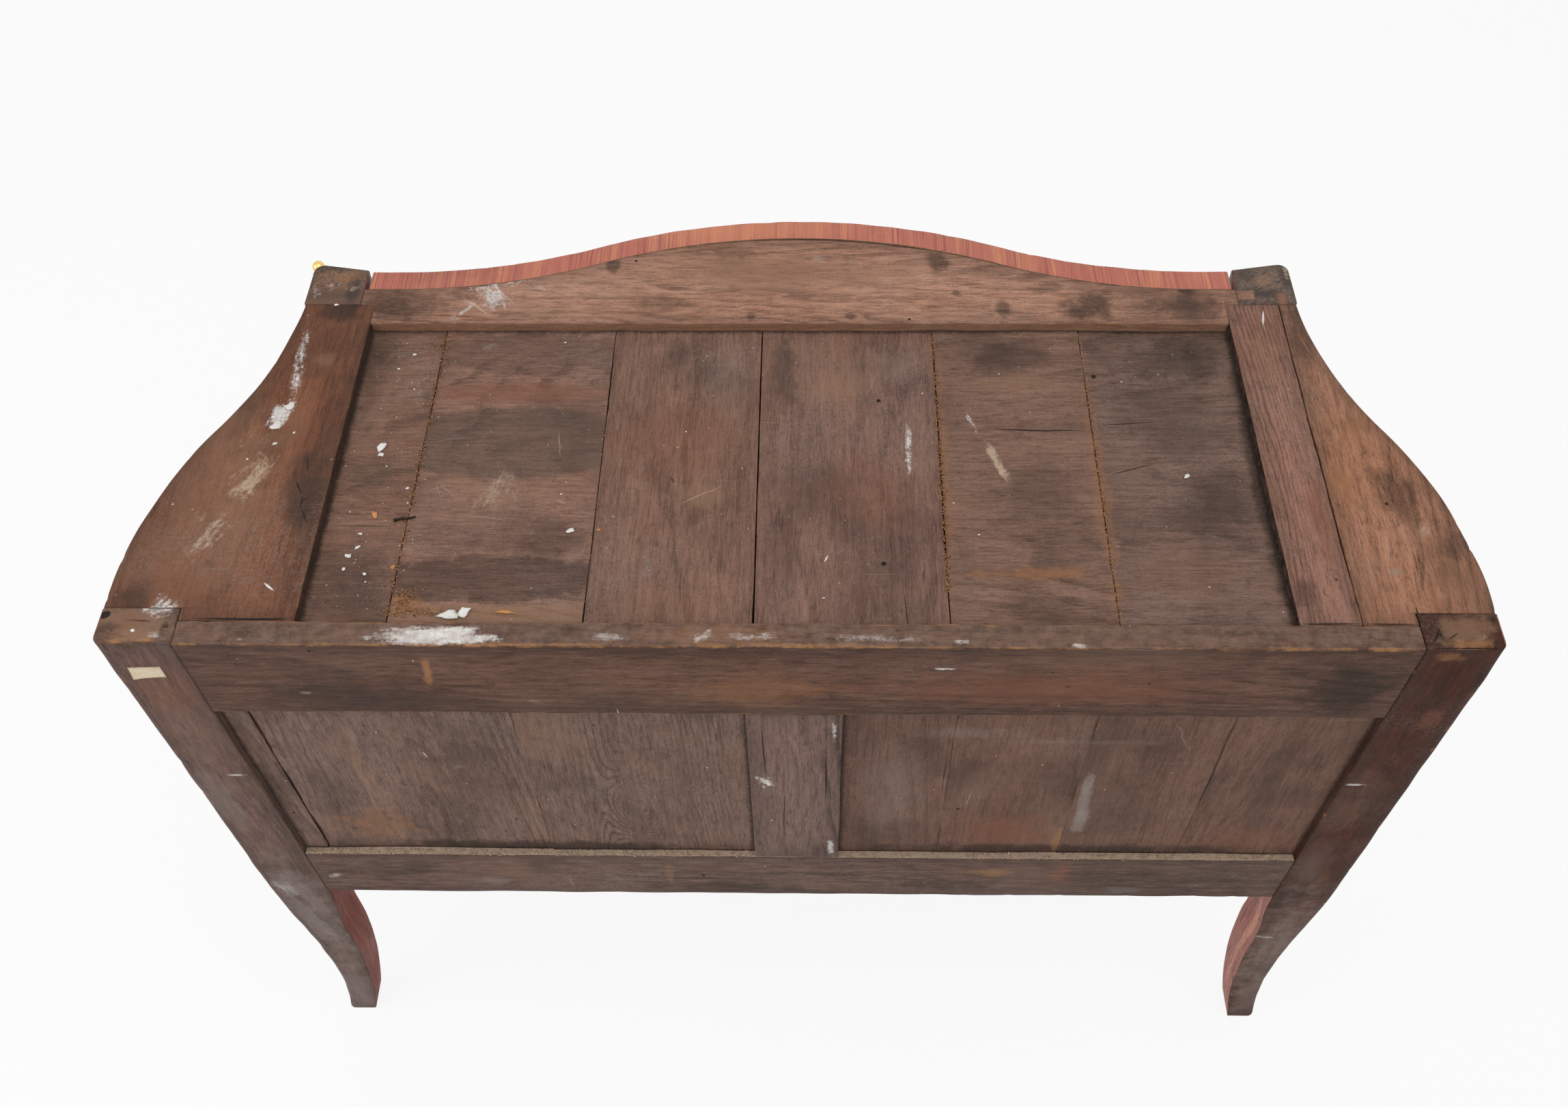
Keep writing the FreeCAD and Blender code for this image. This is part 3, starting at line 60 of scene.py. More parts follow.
def reverseCurve(t, run, rise):  # two equal arcs, each tangent to the run at its own end
    t = np.clip(t, 0, run)
    first = arcRise(np.minimum(t, run / 2), run / 2, rise / 2)
    second = rise - arcRise(np.minimum(run - t, run / 2), run / 2, rise / 2)
    return np.where(t < run / 2, first, second)


def atDepth(depth):
    return case["back"] - depth


def frontY(x, inset=0.0):  # flat ends, hollow shoulders and a swelling middle, each an arc
    x = np.abs(x)
    swell = case["depth"] - arcRise(x, case["bowInflection"], case["depth"] - bowKnee)
    hollow = case["endDepth"] + arcRise(case["bowHalf"] - x, case["bowHalf"] - case["bowInflection"],
        bowKnee - case["endDepth"])
    return atDepth(np.where(x < case["bowInflection"], swell, hollow) - inset)


def mirrored(side, low, high):  # low and high limits of a piece, turned over for the other side
    if side > 0:
        return low, high
    return lambda t: -high(t), lambda t: -low(t)


sides = ((1, "right"), (-1, "left"))


def sideX(y):  # a reverse curve from the rear post in to the front post
    run = case["sideEnd"] - case["sideStart"]
    return case["rearHalf"] - reverseCurve(case["back"] - y - case["sideStart"], run,
        case["rearHalf"] - case["frontHalf"])


def ripple(points, seed, wave):  # eight sine waves in seeded directions, each about wave long
    rng = np.random.default_rng(seed)
    pull = rng.normal(size=(8, 3))
    pull /= np.linalg.norm(pull, axis=1, keepdims=True)
    pull *= 2 * math.pi / wave * rng.uniform(0.6, 1.7, (8, 1))
    return np.sin(points @ pull.T + rng.uniform(0, 2 * math.pi, 8)).sum(-1) / 3


def putMesh(name, points, quads, triangles, material, body, nodes=(), marks=None):
    mesh = bpy.data.meshes.new(name)
    quads = np.asarray(quads, int).reshape(-1, 4)
    triangles = np.asarray(triangles, int).reshape(-1, 3)
    points = np.asarray(points, float)
    split = np.concatenate([quads[:, :3], quads[:, [0, 2, 3]], triangles])
    first, second, third = points[split].transpose(1, 0, 2)
    if np.einsum("ij,ij->", first, np.cross(second, third)) < 0:  # a negative volume is inside out
        quads, triangles = quads[:, ::-1], triangles[:, ::-1]
    corners = np.concatenate([quads.ravel(), triangles.ravel()])
    starts = np.concatenate([np.arange(len(quads)) * 4, len(quads) * 4 + np.arange(len(triangles)) * 3])
    mesh.vertices.add(len(points))
    mesh.vertices.foreach_set("co", np.asarray(points, np.float32).ravel())
    mesh.loops.add(len(corners))
    mesh.loops.foreach_set("vertex_index", corners.astype(np.int32))
    mesh.polygons.add(len(starts))
    mesh.polygons.foreach_set("loop_start", starts.astype(np.int32))
    mesh.polygons.foreach_set("use_smooth", np.ones(len(starts), bool))
    mesh.update(calc_edges=True)
    for label, values in (marks or {}).items():
        mark = mesh.attributes.new(label, "FLOAT", "POINT")
        mark.data.foreach_set("value", np.asarray(values, np.float32).ravel())
    piece = bpy.data.objects.new(name, mesh)
    bpy.context.scene.collection.objects.link(piece)
    mesh.materials.append(material)
    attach(piece, body)
    if nodes:
        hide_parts(*nodes)
    return piece


def ringFaces(rows, around, first=0):  # quads between neighbouring closed rings of points
    row = np.arange(rows - 1)[:, None] * around
    here = np.arange(around)[None, :]
    following = (here + 1) % around
    quads = np.stack([row + here, row + following, row + around + following, row + around + here], -1)
    return quads.reshape(-1, 4) + first


def sectionPlan(flatA, flatB, bend):  # which corner arcs a section point lies between, and how far along
    parts = []
    for corner in range(4):
        turn = np.linspace(math.pi * (1 + corner / 2), math.pi * (1.5 + corner / 2), bend + 1)
        count = flatA if corner % 2 == 0 else flatB
        flat = (1 - np.cos(np.linspace(0, math.pi, count + 1)[1:-1])) / 2
        onArc = np.full(len(turn), corner)
        parts.append((np.full(len(turn) + len(flat), corner),
            np.r_[onArc, np.full(len(flat), (corner + 1) % 4)], np.r_[turn, np.full(len(flat), turn[-1])],
            np.r_[np.zeros(len(turn)), flat]))
    return [np.concatenate(column) for column in zip(*parts)]


def globeRings(rings, around):  # level rings of a unit globe, without its two poles
    fall = np.linspace(0, math.pi, rings + 2)[1:-1, None]
    bearing = np.linspace(0, 2 * math.pi, around, endpoint=False)
    level = np.sin(fall)
    return np.stack([level * np.cos(bearing), level * np.sin(bearing), np.cos(fall) + 0 * bearing], -1)


def endFans(rows, around):
    # triangles closing the first and last ring on the two points that follow the rings
    count, here = rows * around, np.arange(around)
    following = (here + 1) % around
    last = count - around
    return np.concatenate([
        np.stack([np.full(around, count), following, here], -1),
        np.stack([np.full(around, count + 1), last + here, last + following], -1)])


def sweptBlock(name, spec, material, nodes=(), body="carcase"):
    # A rounded rectangle carried along one axis. Each station lays out four corner arcs and the flats
    # between them; the ends close over quarter-round insets and shrinking rings; slow ripples push the
    # surface along its own normal, and small nicks widen the corner arcs here and there.
    along = "xyz".index(spec["along"])
    axisA, axisB = (along + 1) % 3, (along + 2) % 3
    start, stop = spec["span"]
    stepCount, flatA, flatB = spec["steps"]
    seed = spec.get("seed", 1)
    soft = spec.get("end", 0.0012)
    turn = np.linspace(0, math.pi / 2, 4)
    inner = start + soft + (stop - start - 2 * soft) * np.linspace(0, 1, stepCount + 1)[1:-1]
    breaks = np.array([t + side for t in spec.get("breaks", ()) for side in (-4e-5, 4e-5)])
    inner = np.sort(np.r_[inner, breaks])
    capShrink = np.array([0.3, 0.62, 0.86, 0.97])
    offset = soft * (1 - np.cos(turn))
    closing = soft * (1 - np.sin(turn))
    stations = np.r_[np.full(4, start), start + offset, inner, stop - offset[::-1], np.full(4, stop)]
    inset = np.r_[np.full(4, soft), closing, np.zeros(len(inner)), closing[::-1], np.full(4, soft)]
    shrink = np.r_[capShrink, np.ones(len(inner) + 8), capShrink[::-1]]

    def extent(value):
        return np.broadcast_to(value(stations) if callable(value) else value, stations.shape).astype(float)

    lowA, highA = [extent(value) for value in spec["a"]]
    lowB, highB = [extent(value) for value in spec["b"]]
    middleA, halfA = (lowA + highA) / 2, (highA - lowA) / 2 - inset
    middleB, halfB = (lowB + highB) / 2, (highB - lowB) / 2 - inset
    edge = np.broadcast_to(np.asarray(spec["edge"], float), (4,))
    line = np.stack([stations, stations * 0, stations * 0], -1)
    wear = np.stack([ripple(line, seed + 11 * corner, 0.05) for corner in range(4)], -1)
    rng = np.random.default_rng(seed)
    nickCount = int((stop - start) / 0.05) + 1
    place = rng.uniform(start, stop, (nickCount, 4))
    width = rng.uniform(0.0015, 0.006, (nickCount, 4))
    depth = rng.uniform(0, 1, (nickCount, 4)) ** 3 * spec.get("nick", 0.0015)
    nicks = (depth * np.exp(-((stations[:, None, None] - place) / width) ** 2)).sum(1)
    radius = edge + 0.35 * np.minimum(edge, 0.0015) * wear + nicks
    radius = np.minimum(np.maximum(radius, 2e-4), 0.96 * np.minimum(halfA, halfB)[:, None])
    if "slot" in spec:  # half length, the two sides and the depth of a blind mortise in the low face
        slotHalf, slotSides, slotDeep = spec["slot"]
        nearSlot, inSlot = np.abs(stations) < slotHalf + 0.012, np.abs(stations) < slotHalf
        radius[nearSlot, 0] = 0.0008
    signA, signB = np.array([-1, 1, 1, -1]), np.array([-1, -1, 1, 1])
    centreA = middleA[:, None] + signA * (halfA[:, None] - radius)
    centreB = middleB[:, None] + signB * (halfB[:, None] - radius)
    fromCorner, toCorner, angle, share = sectionPlan(flatA, flatB, spec.get("bend", 4))

    def across(centre, direction):
        near = centre[:, fromCorner] + radius[:, fromCorner] * direction
        far = centre[:, toCorner] + radius[:, toCorner] * direction
        return near * (1 - share) + far * share

    pointA = middleA[:, None] + (across(centreA, np.cos(angle)) - middleA[:, None]) * shrink[:, None]
    pointB = middleB[:, None] + (across(centreB, np.sin(angle)) - middleB[:, None]) * shrink[:, None]
    points = np.zeros((len(stations), len(angle), 3))
    points[..., along] = stations[:, None]
    points[..., axisA], points[..., axisB] = pointA, pointB
    amount, wave = spec.get("wobble", (0.00025, 0.12))
    push = amount * (ripple(points, seed + 5, wave) - 1) * (shrink[:, None] == 1)
    points[..., axisA] += push * np.cos(angle)
    points[..., axisB] += push * np.sin(angle)
    if "slot" in spec:  # four rows of the flat become the edges of the mortise, the middle two its floor
        columns = spec.get("bend", 4) + 1 + np.arange(4)
        sideLines = (slotSides[0], slotSides[0] + 2e-5, slotSides[1] - 2e-5, slotSides[1])
        points[..., axisA][np.ix_(nearSlot, columns)] = sideLines
        points[..., axisB][np.ix_(inSlot, columns[1:3])] += slotDeep
    flatLength = np.where(np.abs(np.cos(angle)) < 0.5, halfA[:, None] * 2, halfB[:, None] * 2)
    reach = np.where(share > 0, np.minimum(share, 1 - share) * flatLength, 0)
    reach = np.minimum(reach,
        np.minimum(stations - start, stop - stations)[:, None] + (shrink[:, None] < 1) * 9)
    rim = (1 - shrink[:, None]) * np.minimum(halfA, halfB)[:, None]
    reach = np.where(shrink[:, None] < 1, rim, reach)
    onSide = (shrink[:, None] == 1) * 1.0
    marks = {
        "edge": np.exp(-reach / 0.004), "rim": np.exp(-reach / 0.016), "faceA": np.cos(angle) * onSide,
        "faceB": np.sin(angle) * onSide}
    rows, around = points.shape[:2]
    flatPoints = np.concatenate([points.reshape(-1, 3), points[:1].mean(1), points[-1:].mean(1)])
    marks = {label: np.r_[values.ravel(), values[0, 0], values[-1, 0]] for label, values in marks.items()}
    if "shape" in spec:
        flatPoints = spec["shape"](flatPoints)
    return putMesh(name, flatPoints, ringFaces(rows, around), endFans(rows, around), material, body,
        nodes, marks)


class shaderTree:  # a node tree, with short words for the nodes that recur
    def __init__(self, tree):
        self.tree, self.nodes = tree, tree.nodes

    def link(self, value, socket):  # joins a socket, or sets it to a value
        if isinstance(value, bpy.types.NodeSocket):
            self.tree.links.new(value, socket)
        else:
            socket.default_value = value

    def add(self, kind, inputs=None, **settings):
        made = self.nodes.new(kind)
        for key, value in settings.items():
            setattr(made, key, value)
        for key, value in (inputs or {}).items():
            self.link(value, made.inputs[key])
        return made

    def calc(self, operation, *values):
        return self.add("ShaderNodeMath", dict(enumerate(values)), operation=operation).outputs[0]

    def times(self, *values):
        return self.calc("MULTIPLY", *values)

    def plus(self, *values):
        return self.calc("ADD", *values)

    def minus(self, *values):
        return self.calc("SUBTRACT", *values)

    def timesPlus(self, *values):
        return self.calc("MULTIPLY_ADD", *values)

    def most(self, *values):
        return self.calc("MAXIMUM", *values)

    def least(self, *values):
        return self.calc("MINIMUM", *values)

    def smooth(self, value, low, high):  # 0 at low, 1 at high, eased at both ends
        return self.add("ShaderNodeMapRange", {"Value": value, "From Min": low, "From Max": high},
            interpolation_type="SMOOTHSTEP").outputs["Result"]

    def mixed(self, factor, first, second):
        return self.add("ShaderNodeMix", {0: factor, 6: tone(first), 7: tone(second)},
            data_type="RGBA").outputs[2]

    def coat(self, under, mask, amount, over):  # one colour over another, as far as a mask and an amount say
        return self.mixed(self.times(mask, amount), under, over)

    def between(self, factor, first, second):
        return self.add("ShaderNodeMix", {0: factor, 2: first, 3: second}).outputs[0]

    def vector(self, operation, *values):
        return self.add("ShaderNodeVectorMath", dict(enumerate(values)), operation=operation).outputs[0]

    def length(self, value):
        return self.add("ShaderNodeVectorMath", {0: value}, operation="LENGTH").outputs["Value"]

    def stretch(self, vector, scale):
        return self.vector("MULTIPLY", vector, scale)

    def noise(self, vector, scale=1.0, detail=2.0, roughness=0.5):
        inputs = {"Vector": vector, "Scale": scale, "Detail": detail, "Roughness": roughness}
        return self.add("ShaderNodeTexNoise", inputs).outputs[0]

    def streaks(self, vector, scale, detail, roughness=0.5):  # noise with its own scale along each axis
        return self.noise(self.stretch(vector, scale), 1, detail, roughness)

    def axes(self, vector):
        return self.add("ShaderNodeSeparateXYZ", {0: vector}).outputs

    def joined(self, *values):
        return self.add("ShaderNodeCombineXYZ", dict(enumerate(values))).outputs[0]

    def place(self, order="xyz", shift=(0, 0, 0)):  # Object coordinates with their axes reordered and moved
        found = self.axes(self.add("ShaderNodeTexCoord").outputs["Object"])
        turned = self.joined(*[found["xyz".index(axis)] for axis in order])
        return self.vector("ADD", turned, shift) if any(shift) else turned

    def attribute(self, name):
        return self.add("ShaderNodeAttribute", attribute_name=name).outputs["Fac"]

    def grouped(self, group, **inputs):
        return self.add("ShaderNodeGroup", inputs, node_tree=group.tree).outputs

    def gives(self, result, **outputs):  # joins what a group puts out
        for key, value in outputs.items():
            self.link(value, result[key])
        return self

    def directRays(self):  # 1 for what the camera sees straight, mirrored or through something clear
        path = self.add("ShaderNodeLightPath").outputs
        return self.most(self.most(path["Is Camera Ray"], path["Is Glossy Ray"]),
            path["Is Transmission Ray"])


def tone(value):  # a colour named in tint or given as three numbers; a socket passes as it is
    if isinstance(value, str):
        value = tint[value]
    return (*value, 1.0) if isinstance(value, (tuple, list)) else value


def gained(value, gain):  # a colour multiplied part by part
    parts = tint[value] if isinstance(value, str) else value
    return tuple(part * share for part, share in zip(parts, gain))


def startGroup(name, inputs, outputs):  # a number makes a float, three a vector; a word names the kind itself
    group = bpy.data.node_groups.new(name, "ShaderNodeTree")
    for label, value in inputs.items():
        kind = value if isinstance(value, str) else "Vector" if isinstance(value, tuple) else "Float"
        socket = group.interface.new_socket(label, in_out="INPUT", socket_type="NodeSocket" + kind)
        if kind != value:
            socket.default_value = value
    for label, kind in outputs.items():
        group.interface.new_socket(label, in_out="OUTPUT", socket_type="NodeSocket" + kind)
    given = group.nodes.new("NodeGroupInput").outputs
    result = group.nodes.new("NodeGroupOutput").inputs
    return shaderTree(group), given, result


def startMaterial(name):
    material = bpy.data.materials.new(name)
    material.use_nodes = True
    return material, shaderTree(material.node_tree), material.node_tree.nodes["Principled BSDF"]


shaderSockets = {
    "colour": "Base Color", "rough": "Roughness", "metal": "Metallic", "specular": "Specular IOR Level"}


def dress(tree, shader, bump=None, **values):  # bump is its height, strength and distance
    for key, value in values.items():
        tree.link(value, shader.inputs[shaderSockets[key]])
    if bump:
        made = tree.add("ShaderNodeBump", dict(zip(("Height", "Strength", "Distance"), bump)))
        tree.link(made.outputs[0], shader.inputs["Normal"])


def makeOakGrain():  # growth rings round a leaning pith, fine fibre, and short pores along the rings
    tree, given, result = startGroup("oakGrain", {
        "Vector": "Vector", "RingGap": 0.006, "PithAcross": 0.02, "PithDepth": 0.05, "Tilt": 0.05,
        "Eye": (0, 0, 0), "EyeRise": 0.0},
        {"Tone": "Float", "Lines": "Float", "Pores": "Float", "Height": "Float"})
    vector = given["Vector"]
    parts = tree.axes(vector)
    slow = tree.streaks(vector, (2.4, 10, 10), 2)
    quick = tree.streaks(vector, (9, 55, 55), 2)
    sway = tree.timesPlus(tree.minus(slow, 0.5), 0.05, tree.times(tree.minus(quick, 0.5), 0.006))
    across = tree.minus(tree.plus(parts[1], sway), given["PithAcross"])
    deep = tree.minus(tree.plus(parts[2], sway), given["PithDepth"])
    reach = tree.calc("SQRT", tree.timesPlus(across, across, tree.times(deep, deep)))
    reach = tree.timesPlus(parts[0], given["Tilt"], reach)
    away = tree.vector("SUBTRACT", vector, given["Eye"])
    away = tree.length(tree.stretch(away, (15, 42, 0)))
    eye = tree.calc("POWER", math.e, tree.times(tree.times(away, away), -1.0))
    reach = tree.timesPlus(eye, given["EyeRise"], reach)  # rings close round an eye
    ring = tree.calc("FRACT", tree.calc("DIVIDE", reach, given["RingGap"]))
    lines = tree.times(tree.smooth(ring, 0.45, 0.93), tree.minus(1.0, tree.smooth(ring, 0.93, 1.0)))
    strength = tree.smooth(tree.streaks(vector, (1.1, 26, 26), 2), 0.36, 0.66)
    lines = tree.times(lines, strength)
    fibre = tree.streaks(vector, (9, 330, 330), 4, 0.6)
    hair = tree.streaks(vector, (34, 1250, 1250), 2)
    dash = tree.streaks(vector, (60, 1700, 1700), 1)
    pores = tree.smooth(tree.timesPlus(lines, 0.11, dash), 0.6, 0.7)
    shade = tree.timesPlus(tree.minus(fibre, 0.5), 1.2, tree.timesPlus(tree.minus(hair, 0.5), 0.9, 0.5))
    height = tree.minus(tree.times(shade, 0.5), tree.timesPlus(pores, 0.45, tree.times(lines, 0.25)))
    return tree.gives(result, Tone=shade, Lines=lines, Pores=pores, Height=height)


def markSpace(tree, given, vector=None):  # a mark's own space: its centre at zero, its half size at one
    inputs = {
        "Vector": vector or given["Vector"], "Location": given["Centre"], "Rotation": given["Turn"],
        "Scale": given["Size"]}
    return tree.add("ShaderNodeMapping", inputs, vector_type="TEXTURE").outputs[0]


markInputs = {"Vector": "Vector", "Centre": "Vector", "Turn": "Vector", "Size": (1, 1, 1)}


def makeSmear():  # a dragged, broken coat: streaks along the mark, powder and bare pores, thinning to its rim
    tree, given, result = startGroup("smear", {**markInputs, "Cover": 0.5}, {"Mask": "Float"})
    local = markSpace(tree, given)
    squared = tree.vector("MULTIPLY", local, local)
    reach = tree.length(squared)
    turned = tree.add("ShaderNodeMapping", {"Vector": given["Vector"], "Rotation": given["Turn"]},
        vector_type="TEXTURE").outputs[0]
    streak = tree.streaks(turned, (75, 460, 460), 3, 0.6)
    patch = tree.streaks(turned, (55, 105, 105), 4, 0.62)
    powder = tree.noise(given["Vector"], 260, 7, 0.78)
    level = tree.timesPlus(streak, 0.36, tree.timesPlus(patch, 0.52, tree.times(powder, 0.66)))
    level = tree.timesPlus(given["Cover"], 0.4, level)
    level = tree.minus(level, tree.times(reach, 0.32))
    mask = tree.times(tree.smooth(level, 0.8, 1.04), tree.timesPlus(powder, 1.0, 0.42))
    return tree.gives(result, Mask=tree.least(mask, 1.0))


def makeStain():  # a soft blot with a ragged rim
    tree, given, result = startGroup("stain", {**markInputs, "Ragged": 0.5, "Soft": 0.65},
        {"Mask": "Float"})
    local = markSpace(tree, given)
    reach = tree.length(local)
    rough = tree.minus(tree.noise(given["Vector"], 45, 6, 0.68), 0.5)
    reach = tree.timesPlus(rough, tree.times(given["Ragged"], 3.2), reach)
    mask = tree.minus(1.0, tree.smooth(reach, tree.minus(1.0, given["Soft"]), 1.0))
    grit = tree.noise(given["Vector"], 520, 3, 0.7)
    return tree.gives(result, Mask=tree.times(mask, tree.timesPlus(grit, 0.9, 0.55)))


def makeCrack():  # a thin wandering line that closes at both ends; Size gives half length and half width
    tree, given, result = startGroup("crack", {**markInputs, "Wander": 0.002}, {"Mask": "Float"})
    bent = tree.add("ShaderNodeTexNoise",
        {"Vector": given["Vector"], "Scale": 38.0, "Detail": 3.0}).outputs["Color"]
    shift = tree.vector("ADD", bent, (-0.5, -0.5, -0.5))
    shift = tree.add("ShaderNodeVectorMath", {0: shift, "Scale": given["Wander"]},
        operation="SCALE").outputs[0]
    parts = tree.axes(markSpace(tree, given, tree.vector("ADD", given["Vector"], shift)))
    reach = tree.plus(tree.calc("ABSOLUTE", parts[1]), tree.times(parts[0], parts[0]))
    return tree.gives(result, Mask=tree.minus(1.0, tree.smooth(reach, 0.5, 1.0)))


def makeSpecks():  # scattered round grains: some cells of a cell pattern hold one, each of its own size
    tree, given, result = startGroup("specks", {"Vector": "Vector", "Scale": 300, "Density": 0.05},
        {"Mask": "Float"})
    cell = tree.add("ShaderNodeTexVoronoi", {"Vector": given["Vector"], "Scale": given["Scale"]})
    draw = tree.add("ShaderNodeSeparateColor", {0: cell.outputs["Color"]}).outputs
    chosen = tree.calc("LESS_THAN", draw[0], given["Density"])
    size = tree.timesPlus(draw[1], 0.3, 0.1)
    grain = tree.minus(1.0, tree.smooth(tree.calc("DIVIDE", cell.outputs["Distance"], size), 0.6, 1.0))
    return tree.gives(result, Mask=tree.times(chosen, grain))


def makeEdgeWear():  # rubbed arrises, broken up by noise
    tree, given, result = startGroup("edgeWear", {"Edge": 0, "Vector": "Vector", "Amount": 0.5},
        {"Mask": "Float"})
    broken = tree.noise(given["Vector"], 60, 4, 0.65)
    level = tree.times(given["Edge"], tree.plus(broken, 0.25))
    low = tree.minus(1.0, given["Amount"])
    return tree.gives(result, Mask=tree.smooth(tree.minus(level, low), 0.0, 0.35))


def makeRimSootAndShade():  # soot and painted shade along the rim of a sunk panel: the nearest of four lines, raggedly
    tree, given, result = startGroup("cornerDirt",
        {"Vector": "Vector", "LowA": 0, "HighA": 1, "LowB": 0, "HighB": 1, "Width": 0.0055},
        {"Mask": "Float"})
    parts = tree.axes(given["Vector"])
    gapA = tree.least(tree.minus(parts[0], given["LowA"]), tree.minus(given["HighA"], parts[0]))
    gapB = tree.least(tree.minus(parts[1], given["LowB"]), tree.minus(given["HighB"], parts[1]))
    rough = tree.minus(tree.noise(given["Vector"], 210, 5, 0.7), 0.5)
    gap = tree.timesPlus(rough, tree.times(given["Width"], 1.5), tree.least(gapA, gapB))
    share = tree.calc("DIVIDE", gap, given["Width"])
    return tree.gives(result, Mask=tree.minus(1.0, tree.smooth(share, 0.05, 1.0)))


def makeRoseGrain():  # striped veneer: broad bands, dark veins and fine lines running along the first axis
    tree, given, result = startGroup("roseGrain",
        {"Vector": "Vector", "Rose": "Color", "Orange": "Color", "Dark": "Color"},
        {"Color": "Color", "Height": "Float"})
    vector = given["Vector"]
    sway = tree.streaks(vector, (9, 20, 20), 2)
    parts = tree.axes(vector)
    across = tree.timesPlus(tree.minus(sway, 0.5), 0.014, parts[1])
    place = tree.joined(parts[0], across, parts[2])
    broad = tree.streaks(place, (3, 42, 42), 2)
    vein = tree.streaks(place, (5, 210, 210), 3, 0.6)
    fine = tree.streaks(place, (22, 900, 900), 2)
    colour = tree.mixed(tree.smooth(broad, 0.47, 0.66), given["Rose"], given["Orange"])
    colour = tree.coat(colour, tree.smooth(vein, 0.54, 0.64), 0.62, given["Dark"])
    colour = tree.coat(colour, tree.smooth(fine, 0.5, 0.64), 0.36, given["Dark"])
    pores = tree.streaks(place, (110, 2300, 2300), 1)
    colour = tree.coat(colour, tree.smooth(pores, 0.6, 0.7), 0.6, given["Dark"])
    colour = tree.coat(colour, tree.smooth(fine, 0.48, 0.34), 0.3, given["Orange"])
    relief = tree.timesPlus(pores, 0.3, tree.times(fine, 0.4))
    return tree.gives(result, Color=colour, Height=tree.minus(vein, relief))


oakGrain, smear, stain, crack = makeOakGrain(), makeSmear(), makeStain(), makeCrack()
specks, edgeWear, roseGrain, cornerDirt = makeSpecks(), makeEdgeWear(), makeRoseGrain(), makeRimSootAndShade()
markGroups = {"smear": smear, "stain": stain, "crack": crack}

# colours as they are written on the surface (linear)
tint = {
    "oakDark": (0.08, 0.044, 0.031), "oakLight": (0.275, 0.172, 0.128), "oakWarm": (0.235, 0.12, 0.072),
    "pore": (0.03, 0.018, 0.013), "grime": (0.04, 0.027, 0.022), "dust": (0.31, 0.265, 0.235),
    "plaster": (0.8, 0.765, 0.73), "lime": (0.96, 0.94, 0.9), "frass": (0.42, 0.205, 0.085),
    "wear": (0.44, 0.205, 0.08), "soot": (0.016, 0.012, 0.01), "grey": (0.27, 0.222, 0.203),
    "rose": (0.43, 0.12, 0.082), "orange": (0.66, 0.25, 0.125), "vein": (0.19, 0.048, 0.04),
    "kingwood": (0.23, 0.07, 0.052), "kingLight": (0.37, 0.13, 0.085), "kingDark": (0.075, 0.02, 0.02),
    "gilt": (0.86, 0.57, 0.205), "giltDark": (0.17, 0.09, 0.03), "iron": (0.06, 0.056, 0.054),
    "tan": (0.3, 0.172, 0.105), "greyWarm": (0.262, 0.186, 0.16), "frassDark": (0.33, 0.15, 0.066),
    "cream": (0.52, 0.4, 0.29), "olive": (0.072, 0.055, 0.042), "redwood": (0.215, 0.086, 0.05),
    "oakBrown": (0.135, 0.066, 0.042), "rust": (0.19, 0.075, 0.03), "ledge": (0.43, 0.318, 0.232),
    "paper": (0.78, 0.655, 0.48), "paperDirt": (0.43, 0.31, 0.2)}

# top and back: axis they face, where marks lie, how deep
markPlaces = {"xyz": (2, 820, 30), "xzy": (1, 246, 20)}


def millimetres(*values):
    return tuple(value * 0.001 for value in values)


def layMarks(tree, colour, height, marks):
    # each mark covers those before it, on faces turned the way it was laid; plaster stands proud, cracks sink
    facing = tree.axes(tree.add("ShaderNodeNewGeometry").outputs["Normal"])
    shown = {plane: tree.smooth(facing[axis], 0.45, 0.8) for plane, (axis, *_) in markPlaces.items()}
    spaces = {}
    for mark in marks:
        plane = mark["plane"]
        middle, half = markPlaces[plane][1:]
        if plane not in spaces:
            spaces[plane] = tree.place(plane)
        mask = tree.grouped(markGroups[mark["kind"]], Vector=spaces[plane],
            Centre=millimetres(*mark["at"], middle), Turn=(0, 0, math.radians(mark["turn"])),
            Size=millimetres(*mark["size"], half), **mark["own"])["Mask"]
        mask = tree.times(mask, shown[plane])
        colour = tree.coat(colour, mask, mark["strength"], mark["tint"])
        if mark["rise"]:
            height = tree.timesPlus(mask, mark["rise"], height)
    return colour, height


def makeMark(kind, at, size, hue, strength, turn, rise=0.0, **own):
    return {
        "kind": kind, "at": at, "size": size, "tint": hue, "strength": strength, "turn": turn,
        "plane": "xyz", "rise": rise, "own": own}


def blot(at, size, hue, strength=0.6, turn=0.0, ragged=0.5, soft=0.65):
    return makeMark("stain", at, size, hue, strength, turn, Ragged=ragged, Soft=soft)


def chalk(at, size, cover=0.5, turn=0.0, strength=0.85, hue="plaster"):
    return makeMark("smear", at, size, hue, strength, turn, rise=0.25, Cover=cover)


def split(start, stop, width=0.8, hue="soot", strength=0.9, wander=2.0):
    run = (stop[0] - start[0], stop[1] - start[1])
    middle = ((start[0] + stop[0]) / 2, (start[1] + stop[1]) / 2)
    rise = -0.6 if hue == "soot" else 0.1
    return makeMark("crack", middle, (math.hypot(*run) / 2, width), hue, strength,
        math.degrees(math.atan2(run[1], run[0])), rise, Wander=wander * 0.001)


def onBack(*marks):  # marks laid on the back instead of the top
    return [{**mark, "plane": "xzy"} for mark in marks]


